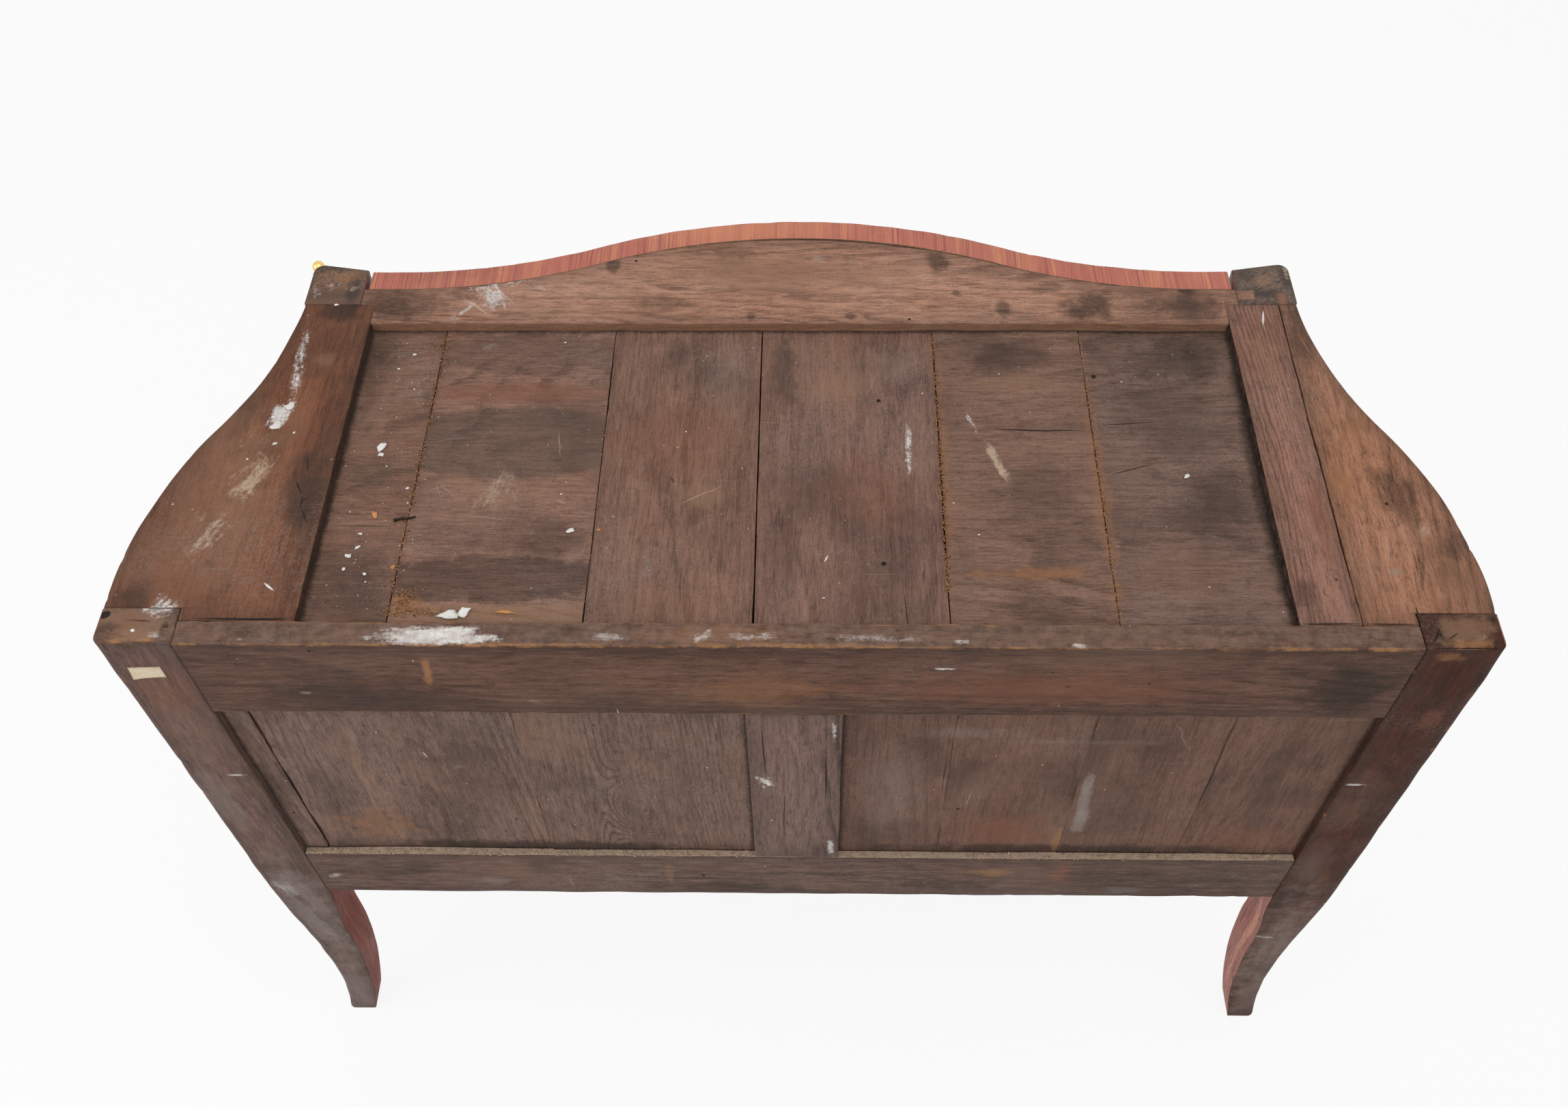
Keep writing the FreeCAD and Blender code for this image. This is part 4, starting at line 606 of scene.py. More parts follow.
def makeOakSurface():
    # ringed grain from dark to light; slow clouds of warm wood, soot and pale dust; darker towards the rims,
    # rubbed arrises, crumbs of dust, worm holes and hair scratches
    tree, given, result = startGroup("oakSurface", {
        "Grain": "Vector", "Place": "Vector", "Edge": 0, "Rim": 0, "Dark": "Color", "Middle": "Color",
        "Light": "Color", "RingGap": 0.007, "PithAcross": 0.02, "PithDepth": 0.06, "Tilt": 0.05,
        "Lines": 0.45, "Pores": 0.65, "Warm": 0.4, "Grime": 0.5, "Dust": 0.3, "Wear": 0.25, "Crumbs": 0.004,
        "Worm": 0.003, "Streak": 0.45, "Eye": (0, 0, 0), "EyeRise": 0.0},
        {"Color": "Color", "Height": "Float", "Rough": "Float"})
    passed = ("RingGap", "PithAcross", "PithDepth", "Tilt", "Eye", "EyeRise")
    grain = tree.grouped(oakGrain, Vector=given["Grain"], **{label: given[label] for label in passed})
    place = given["Place"]
    colour = tree.mixed(tree.smooth(grain["Tone"], 0.05, 0.5), given["Dark"], given["Middle"])
    colour = tree.mixed(tree.smooth(grain["Tone"], 0.5, 1.0), colour, given["Light"])

    def mottled(under, scale, detail, roughness, light, dark):
        # pale above the middle of a noise, dark below it
        pattern = tree.streaks(given["Grain"], scale, detail, roughness)
        under = tree.coat(under, tree.smooth(pattern, *light[:2]), light[2], given["Light"])
        return tree.coat(under, tree.smooth(pattern, *dark[:2]), dark[2], given["Dark"])

    colour = mottled(colour, (1.5, 34, 34), 3, 0.55, (0.52, 0.72, 0.4), (0.48, 0.28, 0.45))
    colour = tree.coat(colour, grain["Lines"], given["Lines"], given["Dark"])
    colour = tree.coat(colour, grain["Pores"], given["Pores"], "pore")
    colour = mottled(colour, (330, 640, 640), 4, 0.72, (0.5, 0.7, 0.4), (0.5, 0.3, 0.55))
    darker = tree.times(given["Streak"], 1.2)
    colour = mottled(colour, (38, 210, 210), 5, 0.68, (0.51, 0.68, given["Streak"]), (0.49, 0.32, darker))
    colour = mottled(colour, (1100, 1700, 1700), 3, 0.8, (0.5, 0.66, 0.42), (0.5, 0.34, 0.5))
    warm = tree.smooth(tree.streaks(given["Grain"], (5, 9, 9), 4, 0.6), 0.48, 0.7)
    colour = tree.coat(colour, warm, given["Warm"], "oakWarm")
    cloud = tree.smooth(tree.noise(place, 8.5, 6, 0.62), 0.47, 0.7)
    spotty = tree.smooth(tree.noise(place, 70, 5, 0.66), 0.52, 0.74)
    soot = tree.most(cloud, tree.times(spotty, 0.8))
    # darker towards the rims of each piece
    soot = tree.most(soot, tree.times(given["Rim"], 0.85))
    colour = tree.coat(colour, soot, given["Grime"], "grime")
    haze = tree.smooth(tree.streaks(place, (6, 6, 6.7), 5, 0.6), 0.44, 0.72)
    grit = tree.smooth(tree.noise(place, 420, 3, 0.7), 0.4, 0.68)
    dust = tree.times(haze, grit)
    colour = tree.coat(colour, dust, given["Dust"], "dust")
    slant = tree.add("ShaderNodeMapping",
        {"Vector": place, "Rotation": (0.3, 0.2, 0.9), "Scale": (5, 900, 900)})
    scratch = tree.smooth(tree.noise(slant.outputs[0], 1, 1), 0.715, 0.75)
    scratch = tree.times(scratch, tree.smooth(tree.noise(place, 14, 2), 0.5, 0.62))
    colour = tree.coat(colour, scratch, 0.4, "dust")
    rubbed = tree.grouped(edgeWear, Edge=given["Edge"], Vector=place, Amount=given["Wear"])["Mask"]
    colour = tree.coat(colour, rubbed, 0.75, "wear")
    fine = tree.grouped(specks, Vector=place, Scale=640.0, Density=0.05)["Mask"]
    colour = tree.coat(colour, fine, 0.45, "dust")
    crumbs = tree.grouped(specks, Vector=place, Scale=330.0, Density=given["Crumbs"])["Mask"]
    crumbs = tree.times(crumbs, tree.smooth(tree.noise(place, 12, 3), 0.46, 0.6))
    colour = tree.coat(colour, crumbs, 0.75, "plaster")
    worm = tree.grouped(specks, Vector=place, Scale=140.0, Density=given["Worm"])["Mask"]
    colour = tree.mixed(worm, colour, "soot")
    height = tree.timesPlus(crumbs, 0.5, grain["Height"])
    height = tree.minus(height, tree.timesPlus(worm, 1.2, tree.times(scratch, 0.3)))
    rough = tree.timesPlus(dust, 0.2, 0.66)
    rough = tree.minus(rough, tree.times(warm, 0.14))
    return tree.gives(result, Color=colour, Height=height, Rough=rough)


oakSurface = makeOakSurface()
oakValues = ("ringGap", "tilt", "lines", "pores", "warm", "grime", "dust", "wear", "crumbs", "worm",
    "streak", "eye", "eyeRise")
kingwood = ("kingwood", "kingLight", "kingDark")


def striped(tree, vector, tones):  # veneer in three tones: its ground, its light bands and its veins
    rose, orange, dark = [tone(value) for value in tones]
    return tree.grouped(roseGrain, Vector=vector, Rose=rose, Orange=orange, Dark=dark)


def oakMaterial(name, look):
    # the oak surface with this piece's own grain, tones and marks
    material, tree, shader = startMaterial(name)
    shift = look.get("shift", (0, 0, 0))
    values = {key[0].upper() + key[1:]: look[key] for key in oakValues if key in look}
    across, deep = look.get("pith", (0.02, 0.06))
    dark, middle, light = [tone(gained(value, look.get("gain", (1, 1, 1)))) for value in look["colours"]]
    surface = tree.grouped(oakSurface, Grain=tree.place(look["grain"], shift),
        Place=tree.place("xyz", (shift[0] * 3.1, shift[1], 0.0)), Edge=tree.attribute("edge"),
        Rim=tree.times(tree.attribute("rim"), look.get("rim", 1.0)), Dark=dark, Middle=middle, Light=light,
        PithAcross=across, PithDepth=deep, **values)
    colour, height = layMarks(tree, surface["Color"], surface["Height"], look.get("marks", ()))
    # soot and painted shade darken the corner where the sunk field meets its frame
    if "opening" in look:
        order, lowA, highA, lowB, highB = look["opening"]
        dirt = tree.grouped(cornerDirt, Vector=tree.place(order), LowA=lowA, HighA=highA, LowB=lowB,
            HighB=highB)["Mask"]
        colour = tree.coat(colour, dirt, 0.72, "soot")
    # a colour laid over the faces turned one way: painted light on the front rail's back face, painted shade
    # on the inner faces of the side board and strip, dust on the bottom rail's ledge, a lighter top on the
    # back top rail
    for label, sign, hue, amount in look.get("faces", ()):
        turnedTo = tree.smooth(tree.times(tree.attribute(label), sign), 0.72, 0.96)
        patchy = tree.timesPlus(tree.noise(tree.place(), 110, 5, 0.7), 1.6, amount - 0.75)
        patchy = tree.most(patchy, 0.0)
        colour = tree.coat(colour, turnedTo, tree.least(patchy, 1.0), hue)
    if "veneer" in look:
        colour = veneerOver(tree, colour, look["veneer"])
    dress(tree, shader, (height, 0.55, 0.0008), colour=colour, rough=surface["Rough"], specular=0.12)
    return material


def veneerOver(tree, colour, look):  # rose veneer on the faces that an attribute picks out; its tones are raised by a gain, which on the left rear post is painted light
    face = tree.times(tree.attribute(look["attribute"]), look["side"])
    height = tree.axes(tree.place())[2]
    leg = tree.times(tree.smooth(face, -0.88, -0.98), tree.smooth(height, 0.357, 0.353))
    picked = tree.most(tree.smooth(face, 0.88, 0.98), leg)
    tones = [gained(name, look["lift"]) for name in kingwood]
    return tree.mixed(picked, colour, striped(tree, tree.place(look["grain"]), tones)["Color"])


print("stage: node groups and finishes ready")


def veneerMaterial(name, look):
    # a field of diagonal stripes mirrored about both middle lines, a crossband round it and a thin line
    # of stringing between; the inner face is oak
    material, tree, shader = startMaterial(name)
    place = tree.place(look["plane"], tuple(-value for value in look["middle"]))
    parts = tree.axes(place)
    far, tall = tree.calc("ABSOLUTE", parts[0]), tree.calc("ABSOLUTE", parts[1])
    endGap = tree.minus(look["half"][0], far)
    rimGap = tree.minus(look["half"][1], tall)
    gap = tree.least(endGap, rimGap)
    slope = math.radians(look.get("slope", 38))
    along = tree.timesPlus(far, math.cos(slope), tree.times(tall, math.sin(slope)))
    over = tree.minus(tree.times(far, math.sin(slope)), tree.times(tall, math.cos(slope)))
    field = tree.joined(along, over, look.get("seed", 0.0))
    atEnd = tree.calc("LESS_THAN", endGap, rimGap)
    bandAlong, bandOver = tree.between(atEnd, parts[1], parts[0]), tree.between(atEnd, parts[0], parts[1])
    band = tree.joined(bandAlong, bandOver, look.get("seed", 0.0) + 3)
    middle = striped(tree, field, ("rose", "orange", "vein"))
    border = striped(tree, band, kingwood)
    width = look.get("band", 0.026)
    inBand = tree.calc("LESS_THAN", gap, width)
    colour = tree.mixed(inBand, middle["Color"], border["Color"])
    string = tree.calc("LESS_THAN", tree.calc("ABSOLUTE", tree.minus(gap, width)), 0.0009)
    colour = tree.coat(colour, string, 0.85, (0.62, 0.42, 0.2))
    plain = tree.place()
    faded = tree.smooth(tree.noise(plain, 5, 3, 0.6), 0.4, 0.7)
    colour = tree.coat(colour, faded, 0.25, (0.46, 0.21, 0.12))
    dirt = tree.smooth(tree.noise(plain, 17, 4, 0.65), 0.5, 0.76)
    colour = tree.coat(colour, dirt, 0.45, "grime")
    scuff = tree.smooth(tree.streaks(plain, (900, 900, 30), 2), 0.66, 0.74)
    colour = tree.coat(colour, scuff, 0.3, (0.5, 0.27, 0.17))
    rubbed = tree.grouped(edgeWear, Edge=tree.attribute("edge"), Vector=plain, Amount=0.5)["Mask"]
    colour = tree.coat(colour, rubbed, 0.6, "wear")
    if "rim" in look:  # the top edge shows orange stripes across its thickness
        fine = tree.stretch(tree.place(look["rim"], (0.3, 0, 0)), (1.0, 2.5, 2.5))
        rim = striped(tree, fine, ((0.5, 0.15, 0.102), (0.63, 0.228, 0.126), (0.215, 0.052, 0.038)))
        rim = layMarks(tree, rim["Color"], 0.0, [
            blot((60, -235), (170, 30), "orange", 0.52, ragged=0.3, soft=0.95),
            blot((330, -180), (90, 40), "vein", 0.3, ragged=0.5, soft=0.9)])[0]
        onRim = tree.smooth(tree.attribute("faceB"), 0.6, 0.8)
        colour = tree.mixed(onRim, colour, rim)
    oak = tree.grouped(oakGrain, Vector=tree.place("xzy", (0.4, 0, 0)), RingGap=0.006, Tilt=0.04)
    bare = tree.mixed(tree.smooth(oak["Tone"], 0.2, 0.8), (0.16, 0.085, 0.05), (0.36, 0.21, 0.13))
    bare = tree.coat(bare, oak["Lines"], 0.5, (0.11, 0.06, 0.035))
    inside = tree.times(tree.attribute(look["inner"][0]), look["inner"][1])
    inside = tree.smooth(inside, 0.6, 0.8)
    colour = tree.mixed(inside, colour, bare)
    height = tree.minus(tree.between(inBand, middle["Height"], border["Height"]), tree.times(string, 0.3))
    rough = tree.timesPlus(dirt, 0.2, tree.between(inside, 0.34, 0.75))
    dress(tree, shader, (height, 0.22, 0.0006), colour=colour, rough=rough, specular=0.4)
    return material


def giltMaterial(name):
    # worn gilding: bright on the crests, brown lacquer and dirt with painted shade in the hollows, pitted
    # casting skin
    material, tree, shader = startMaterial(name)
    plain = tree.place()
    relief = tree.attribute("relief")
    mottle = tree.noise(plain, 95, 4, 0.65)
    hollow = tree.minus(1.0, tree.smooth(tree.timesPlus(tree.minus(mottle, 0.5), 0.7, relief), 0.2, 0.82))
    # the hollows darken towards giltDark: lacquer and dirt, with painted shade for depth
    colour = tree.coat("gilt", hollow, 0.85, "giltDark")
    stained = tree.smooth(tree.noise(plain, 38, 4, 0.6), 0.52, 0.74)
    colour = tree.coat(colour, stained, 0.5, (0.46, 0.26, 0.08))
    pit = tree.smooth(tree.noise(plain, 900, 3, 0.6), 0.42, 0.6)
    rough = tree.timesPlus(hollow, 0.3, tree.timesPlus(stained, 0.14, 0.26))
    height = tree.timesPlus(mottle, 0.8, tree.times(pit, 0.3))
    metal = tree.minus(1.0, tree.times(hollow, 0.35))
    dress(tree, shader, (height, 0.35, 0.0003), colour=colour, rough=rough, metal=metal)
    return material


def ironMaterial(name):
    material, tree, shader = startMaterial(name)
    plain = tree.place()
    rusty = tree.smooth(tree.noise(plain, 120, 5, 0.65), 0.46, 0.66)
    filed = tree.streaks(plain, (120, 2200, 900), 2)
    colour = tree.mixed(tree.smooth(filed, 0.4, 0.62), "iron", (0.12, 0.11, 0.105))
    colour = tree.mixed(rusty, colour, "rust")
    dress(tree, shader, (tree.timesPlus(filed, 0.3, rusty), 0.4, 0.0004), colour=colour,
        rough=tree.timesPlus(rusty, 0.35, 0.42), metal=tree.minus(0.9, tree.times(rusty, 0.8)))
    return material


gilt, iron = giltMaterial("gilt_bronze_worn"), ironMaterial("lock_iron_rusty")
print("stage: veneer, gilt and iron ready")


def board(name, look):
    # a sunk plank of the top; cupped across its width and a little out of level with its neighbours
    low, high = look["x"][0] - 0.0002, look["x"][1] + 0.0002
    cup, (tilt, lift) = 0.0006, look["level"]
    middle, half = (low + high) / 2, (high - low) / 2

    def lay(points):
        share = (points[:, 0] - middle) / half
        points[:, 2] += cup * (share ** 2 - 1) + tilt * share + lift
        return points

    spec = {
        "along": "y", "span": (-0.1114, 0.2336), "a": (0.8073, 0.816), "b": (low, high), "edge": 0.0006,
        "steps": (90, 4, 26), "wobble": (0.0003, 0.09), "nick": 0.0022, "seed": look["seed"], "shape": lay}
    opening = ("xyz", -case["topHalf"], case["topHalf"], case["railBack"], case["frameBack"])
    finish = oakMaterial(name + "_oak", {**look, "rim": 0.35, "opening": opening})
    return sweptBlock(name + "_plank", spec, finish, [name])


boardLooks = {
    "top_board_1": {
        "x": (0.3246, 0.4015), "level": (0.0003, 0.0), "seed": 21, "gain": (1.32, 1.26, 1.21),
        "grain": "xyz", "shift": (0.3, 0.02, 0), "pith": (0.1, 0.07), "ringGap": 0.008, "tilt": 0.09,
        "dust": 0.42, "colours": ((0.085, 0.047, 0.035), (0.178, 0.098, 0.07), (0.25, 0.152, 0.112)),
        "crumbs": 0.01,
        "marks": [
            chalk((338, -32), (48, 8), 0.3, 92, 0.4, "dust"), blot((385, -70), (25, 40), "grime", 0.5),
            blot((360, 190), (45, 45), "grime", 0.35), blot((362, 62), (30, 26), "olive", 0.35),
            # the long dark strip down the plank's edge beside the raised side board is painted shadow
            blot((396, 60), (8, 190), "grime", 0.6), split((394, 125), (326, 124), 0.5)]},
    "top_board_2": {
        "x": (0.1676, 0.3238), "level": (-0.0002, -0.0003), "seed": 22, "gain": (1.48, 1.41, 1.42),
        "grain": "xyz", "shift": (1.3, 0.31, 0), "pith": (0.36, 0.05), "ringGap": 0.007, "tilt": 0.12,
        "dust": 0.35, "colours": ((0.085, 0.047, 0.035), (0.185, 0.105, 0.076), (0.262, 0.162, 0.12)),
        "marks": [
            blot((245, -75), (110, 32), "grime", 0.35, soft=0.3),
            blot((245, -27), (110, 15), "redwood", 0.5, soft=0.5, ragged=0.2),
            blot((245, 32), (120, 44), "olive", 0.5, soft=0.12, ragged=0.1),
            blot((255, 100), (48, 30), "tan", 0.3, 15, 0.9),
            chalk((262, 96), (30, 15), 0.28, 62, 0.5, "cream"),
            chalk((240, 82), (24, 8), 0.25, 105, 0.45, "cream"),
            blot((290, 78), (24, 12), "tan", 0.35, ragged=0.9),
            blot((312, 203), (13, 15), "frassDark", 0.65, ragged=0.9),
            blot((298, 209), (22, 5), "frassDark", 0.6, ragged=0.9),
            chalk((252, 84), (32, 15), 0.45, 78, 0.5, "cream"),
            split((314, 88), (296, 80), 0.7, "dust", 0.7, 5),
            split((308, 76), (300, 94), 0.6, "dust", 0.7, 4), blot((200, 140), (40, 30), "grime", 0.5),
            blot((245, 178), (110, 26), "grime", 0.55, soft=0.2, ragged=0.25),
            blot((245, 214), (120, 12), "tan", 0.6, soft=0.15, ragged=0.1),
            split((303, 80), (287, 94), 0.7, "dust", 0.7, 8),
            split((285, 112), (238, 119), 0.7, "dust", 0.7, 8),
            split((209, 16), (202, 50), 0.8, "dust", 0.6, 8),
            split((316, 30), (280, 26), 0.6, "dust", 0.5, 6),
            split((202, 96), (192, 100), 1.2, "dust", 0.8),
            chalk((284, -84), (15, 7), 0.45, 14, 0.5, "dust")]},
    "top_board_3": {
        "x": (0.0325, 0.1668), "level": (0.0002, 0.0002), "seed": 23, "gain": (1.19, 1.17, 1.16),
        "grain": "yxz", "shift": (2.3, 0.11, 0), "pith": (0.21, 0.045), "ringGap": 0.007, "tilt": 0.03,
        "dust": 0.3, "colours": ((0.1, 0.053, 0.038), (0.2, 0.11, 0.08), (0.28, 0.168, 0.124)),
        "marks": [
            blot((110, -75), (14, 22), "grime", 0.4), blot((80, 92), (26, 24), "tan", 0.5),
            blot((100, 30), (70, 60), "redwood", 0.3), blot((60, -40), (30, 50), "dust", 0.1),
            chalk((119, 165), (16, 6), 0.4, 84, 0.4, "dust"), blot((110, 205), (60, 30), "oakWarm", 0.3),
            split((101, 102), (58, 78), 0.6, "cream", 0.6, 5),
            split((106, 70), (103, 78), 1.6, "soot", 0.6)]},
    "top_board_4": {
        "x": (-0.1235, 0.0317), "level": (0.0, -0.0004), "seed": 24, "gain": (1.21, 1.14, 1.13),
        "grain": "yxz", "shift": (3.3, 0.21, 0), "pith": (0.17, 0.05), "ringGap": 0.0065, "tilt": 0.04,
        "dust": 0.32, "colours": ((0.095, 0.053, 0.04), (0.19, 0.108, 0.081), (0.268, 0.166, 0.128)),
        "marks": [
            blot((12, -50), (18, 60), "grime", 0.5), blot((-35, -35), (35, 28), "tan", 0.35),
            blot((-95, -60), (25, 30), "dust", 0.1), blot((-60, 80), (60, 60), "redwood", 0.25),
            blot((-100, 120), (22, 60), "grime", 0.35), blot((10, 150), (20, 60), "grime", 0.35),
            chalk((-97, 36), (32, 4), 0.55, 88), split((-75, -60), (-60, -20), 0.6, "dust", 0.35, 9),
            split((-28, 152), (-24, 160), 1.0, "plaster", 0.8), split((-88, 188), (-91, 232), 0.6)]},
    "top_board_5": {
        "x": (-0.2567, -0.1243), "level": (-0.0004, 0.0), "seed": 25, "gain": (1.19, 1.17, 1.16),
        "grain": "xyz", "shift": (4.3, 0.41, 0), "pith": (0.47, 0.06), "ringGap": 0.008, "tilt": 0.1,
        "dust": 0.3, "colours": ((0.095, 0.052, 0.038), (0.196, 0.111, 0.081), (0.275, 0.168, 0.124)),
        "crumbs": 0.006,
        "marks": [
            blot((-190, -70), (50, 25), "grime", 0.45), blot((-200, -38), (60, 14), "tan", 0.4),
            blot((-205, 90), (50, 55), "grime", 0.4), blot((-200, 210), (60, 22), "grime", 0.35),
            blot((-125, 50), (9, 175), "frassDark", 0.32, ragged=0.9),
            blot((-256, 90), (7, 150), "frassDark", 0.3, ragged=0.9),
            blot((-190, 171), (70, 8), "frassDark", 0.5, ragged=0.8),
            split((-162, 15), (-256, 19), 1.3, wander=4), chalk((-153, 8), (20, 3), 0.4, 112),
            chalk((-172, 52), (30, 5), 0.68, 112, hue="cream")]},
    "top_board_6": {
        "x": (-0.4015, -0.2575), "level": (0.0003, -0.0003), "seed": 26, "gain": (1.21, 1.18, 1.17),
        "grain": "xyz", "shift": (5.3, 0.51, 0), "pith": (0.56, 0.06), "ringGap": 0.007, "tilt": 0.08,
        "dust": 0.3, "colours": ((0.075, 0.044, 0.034), (0.16, 0.096, 0.074), (0.228, 0.148, 0.116)),
        "warm": 0.25,
        "marks": [
            blot((-345, -70), (60, 40), "soot", 0.5), blot((-330, 0), (70, 60), "grime", 0.4),
            # the long dark strip down the plank's edge beside the raised strip is painted shadow
            blot((-360, 92), (30, 40), "grime", 0.45), blot((-392, 60), (10, 190), "soot", 0.6),
            blot((-259, 70), (7, 180), "frassDark", 0.3, ragged=0.9), split((-260, 12), (-318, 7), 0.7),
            split((-263, 69), (-310, 54), 0.7), blot((-320, 170), (60, 40), "oakWarm", 0.2)]}}
for nodeName, look in boardLooks.items():
    board(nodeName, look)
print("stage: planks of the top laid")

# frame of the top
frameTop = (case["frameLow"], case["height"])
sideBoard = {  # what the boards along both sides of the top share
    "along": "y", "span": (case["frameFront"], case["frameBack"]), "a": frameTop, "edge": 0.0013,
    "wobble": (0.0003, 0.1), "nick": 0.002}
railLook = {
    "gain": (1.52, 1.47, 1.47), "grain": "xyz", "shift": (0.1, 0.02, 0), "pith": (-0.145, 0.76),
    "ringGap": 0.006, "tilt": 0.035, "warm": 0.55,
    "colours": ((0.13, 0.064, 0.042), (0.33, 0.172, 0.112), (0.43, 0.25, 0.172)),
    # the face turned to the back, over the open top, is painted warmer: painted light on its lit face
    "faces": [("faceA", 1, "oakWarm", 0.6)], "lines": 0.85, "pores": 0.85, "grime": 0.45, "streak": 0.6,
    "marks": [
        blot((270, -124), (90, 16), "oakLight", 0.3, ragged=0.4, soft=0.9),
        blot((40, -165), (250, 45), "oakLight", 0.28, ragged=0.3, soft=0.9),
        blot((-345, -140), (110, 60), "grime", 0.42, ragged=0.4, soft=0.9),
        blot((0, -170), (150, 28), "oakWarm", 0.3),
        blot((372, -134), (66, 44), "grime", 0.62, ragged=0.4, soft=0.8),
        blot((378, -124), (30, 22), "soot", 0.35), blot((176, -180), (10, 14), "grime", 0.65),
        blot((-132, -186), (13, 18), "soot", 0.6), blot((-190, -122), (9, 16), "soot", 0.55),
        blot((-270, -126), (34, 24), "grime", 0.75), blot((-282, -117), (14, 12), "soot", 0.5),
        blot((-362, -148), (11, 8), "soot", 0.5), blot((-147, -143), (8, 6), "grime", 0.6),
        blot((-49, -113), (7, 6), "grime", 0.6), blot((42, -114), (7, 10), "soot", 0.5),
        blot((-360, -125), (46, 24), "grime", 0.6), blot((-18, -191), (6, 6), "dust", 0.5),
        blot((230, -122), (40, 10), "tan", 0.4), chalk((288, -142), (34, 20), 0.42, 122, 0.75),
        chalk((268, -160), (24, 8), 0.4, 30, 0.7), chalk((310, -120), (26, 7), 0.35, 55, 0.7),
        chalk((240, -150), (20, 6), 0.3, 140, 0.6), split((300, -168), (262, -128), 0.6, "plaster", 0.6, 4),
        split((318, -140), (280, -112), 0.5, "plaster", 0.5, 5),
        split((330, -165), (268, -150), 0.5, "dust", 0.6, 5),
        blot((120, -130), (40, 10), "soot", 0.35, ragged=0.9),
        blot((60, -200), (30, 8), "soot", 0.3, ragged=0.9),
        blot((-230, -150), (26, 9), "soot", 0.35, ragged=0.9)]}
railOak = oakMaterial("top_front_rail_oak", railLook)
boltSlot = (0.0114, (-0.2163, -0.2115), 0.0094)  # mortise for the upper bolt: half length, sides, depth
sweptBlock("top_front_rail_board", {
    "along": "x", "span": (-case["openingHalf"], case["openingHalf"]), "b": frameTop, "edge": 0.0013,
    "a": (lambda x: frontY(x, 0.025 + 0.0026 * np.exp(-((x + 0.05) / 0.16) ** 2)),
        lambda x: np.where(np.abs(x) < case["topHalf"], case["railBack"], case["frameFront"])),
    "breaks": (-case["topHalf"], -boltSlot[0], boltSlot[0], case["topHalf"]), "steps": (170, 26, 5),
    "wobble": (0.0003, 0.11), "nick": 0.002, "slot": boltSlot, "seed": 31}, railOak, ["top_front_rail"])


def tongue(name, material, **spec):  # the flush top of a lap
    sweptBlock(name, {"edge": 0.0006, "end": 0.0006, "wobble": (0.0001, 0.03), **spec}, material)


def innerLimit(y):  # the side boards stop at the rear post where they lap it
    return np.where(y > case["lap"], case["rearInner"], sideX(y))


tongueTop = (0.814, 0.8255)
tongue("top_front_rail_tongue", railOak, along="x", span=(-0.423, -0.4074), a=(-0.1464, -0.1349),
    b=tongueTop, steps=(8, 6, 5), seed=32)
sideLook = {
    "gain": (0.97, 0.79, 0.71), "grain": "yxz", "shift": (0.6, -0.3, 0), "pith": (0.17, 0.77),
    "ringGap": 0.0075, "tilt": 0.05, "warm": 0.6,
    "colours": ((0.105, 0.048, 0.029), (0.24, 0.112, 0.067), (0.33, 0.172, 0.108)), "grime": 0.55,
    # the inner face, turned to the opening, is darkened: painted shade
    "crumbs": 0.006, "faces": [("faceB", -1, "grime", 0.7)],
    "marks": [
        blot((428, -75), (60, 70), "grime", 0.4, ragged=0.4, soft=0.9),
        blot((415, 90), (22, 58), "grime", 0.55), blot((425, -57), (12, 12), "tan", 0.35, ragged=0.9),
        blot((424, -125), (28, 26), "grime", 0.8), blot((440, 20), (20, 60), "oakWarm", 0.35),
        blot((500, 190), (30, 40), "redwood", 0.35), blot((528, 215), (20, 30), "grime", 0.55),
        blot((484, 0), (12, 60), "grime", 0.4), split((419, 54), (415, 76), 1.1, wander=6),
        split((424, 82), (415, 98), 1.1, wander=6), split((415, 97), (413, 114), 1.2, wander=6),
        split((413, 112), (403, 130), 1.0, wander=6), split((409, 100), (415, 108), 0.8, wander=3),
        blot((406, 60), (24, 180), "grime", 0.45, ragged=0.4, soft=0.9),
        blot((474, 60), (40, 150), "tan", 0.35, 12, 0.5, 0.9),
        chalk((470, 70), (130, 12), 0.14, 68, 0.5, "cream"),
        split((427, 189), (416, 198), 1.3, "plaster", 0.95), split((392, 225), (482, 224.4), 1.3, wander=1),
        split((394, 224), (440, 225), 0.9, wander=1), chalk((449, -45), (85, 8), 0.33, 92),
        chalk((453, 10), (16, 11), 0.7, 80), chalk((461, 82), (38, 13), 0.5, 70, hue="cream"),
        chalk((484, 145), (38, 13), 0.45, 60, hue="cream"), chalk((505, 218), (20, 14), 0.5, 55),
        chalk((476, 40), (26, 6), 0.3, 75, hue="cream")]}
sweptBlock("top_side_board_right_board", {
    **sideBoard, "b": (case["topHalf"], innerLimit), "breaks": (case["lap"],), "steps": (110, 5, 24),
    "seed": 33}, oakMaterial("top_side_right_oak", sideLook), ["top_side_board_right"])
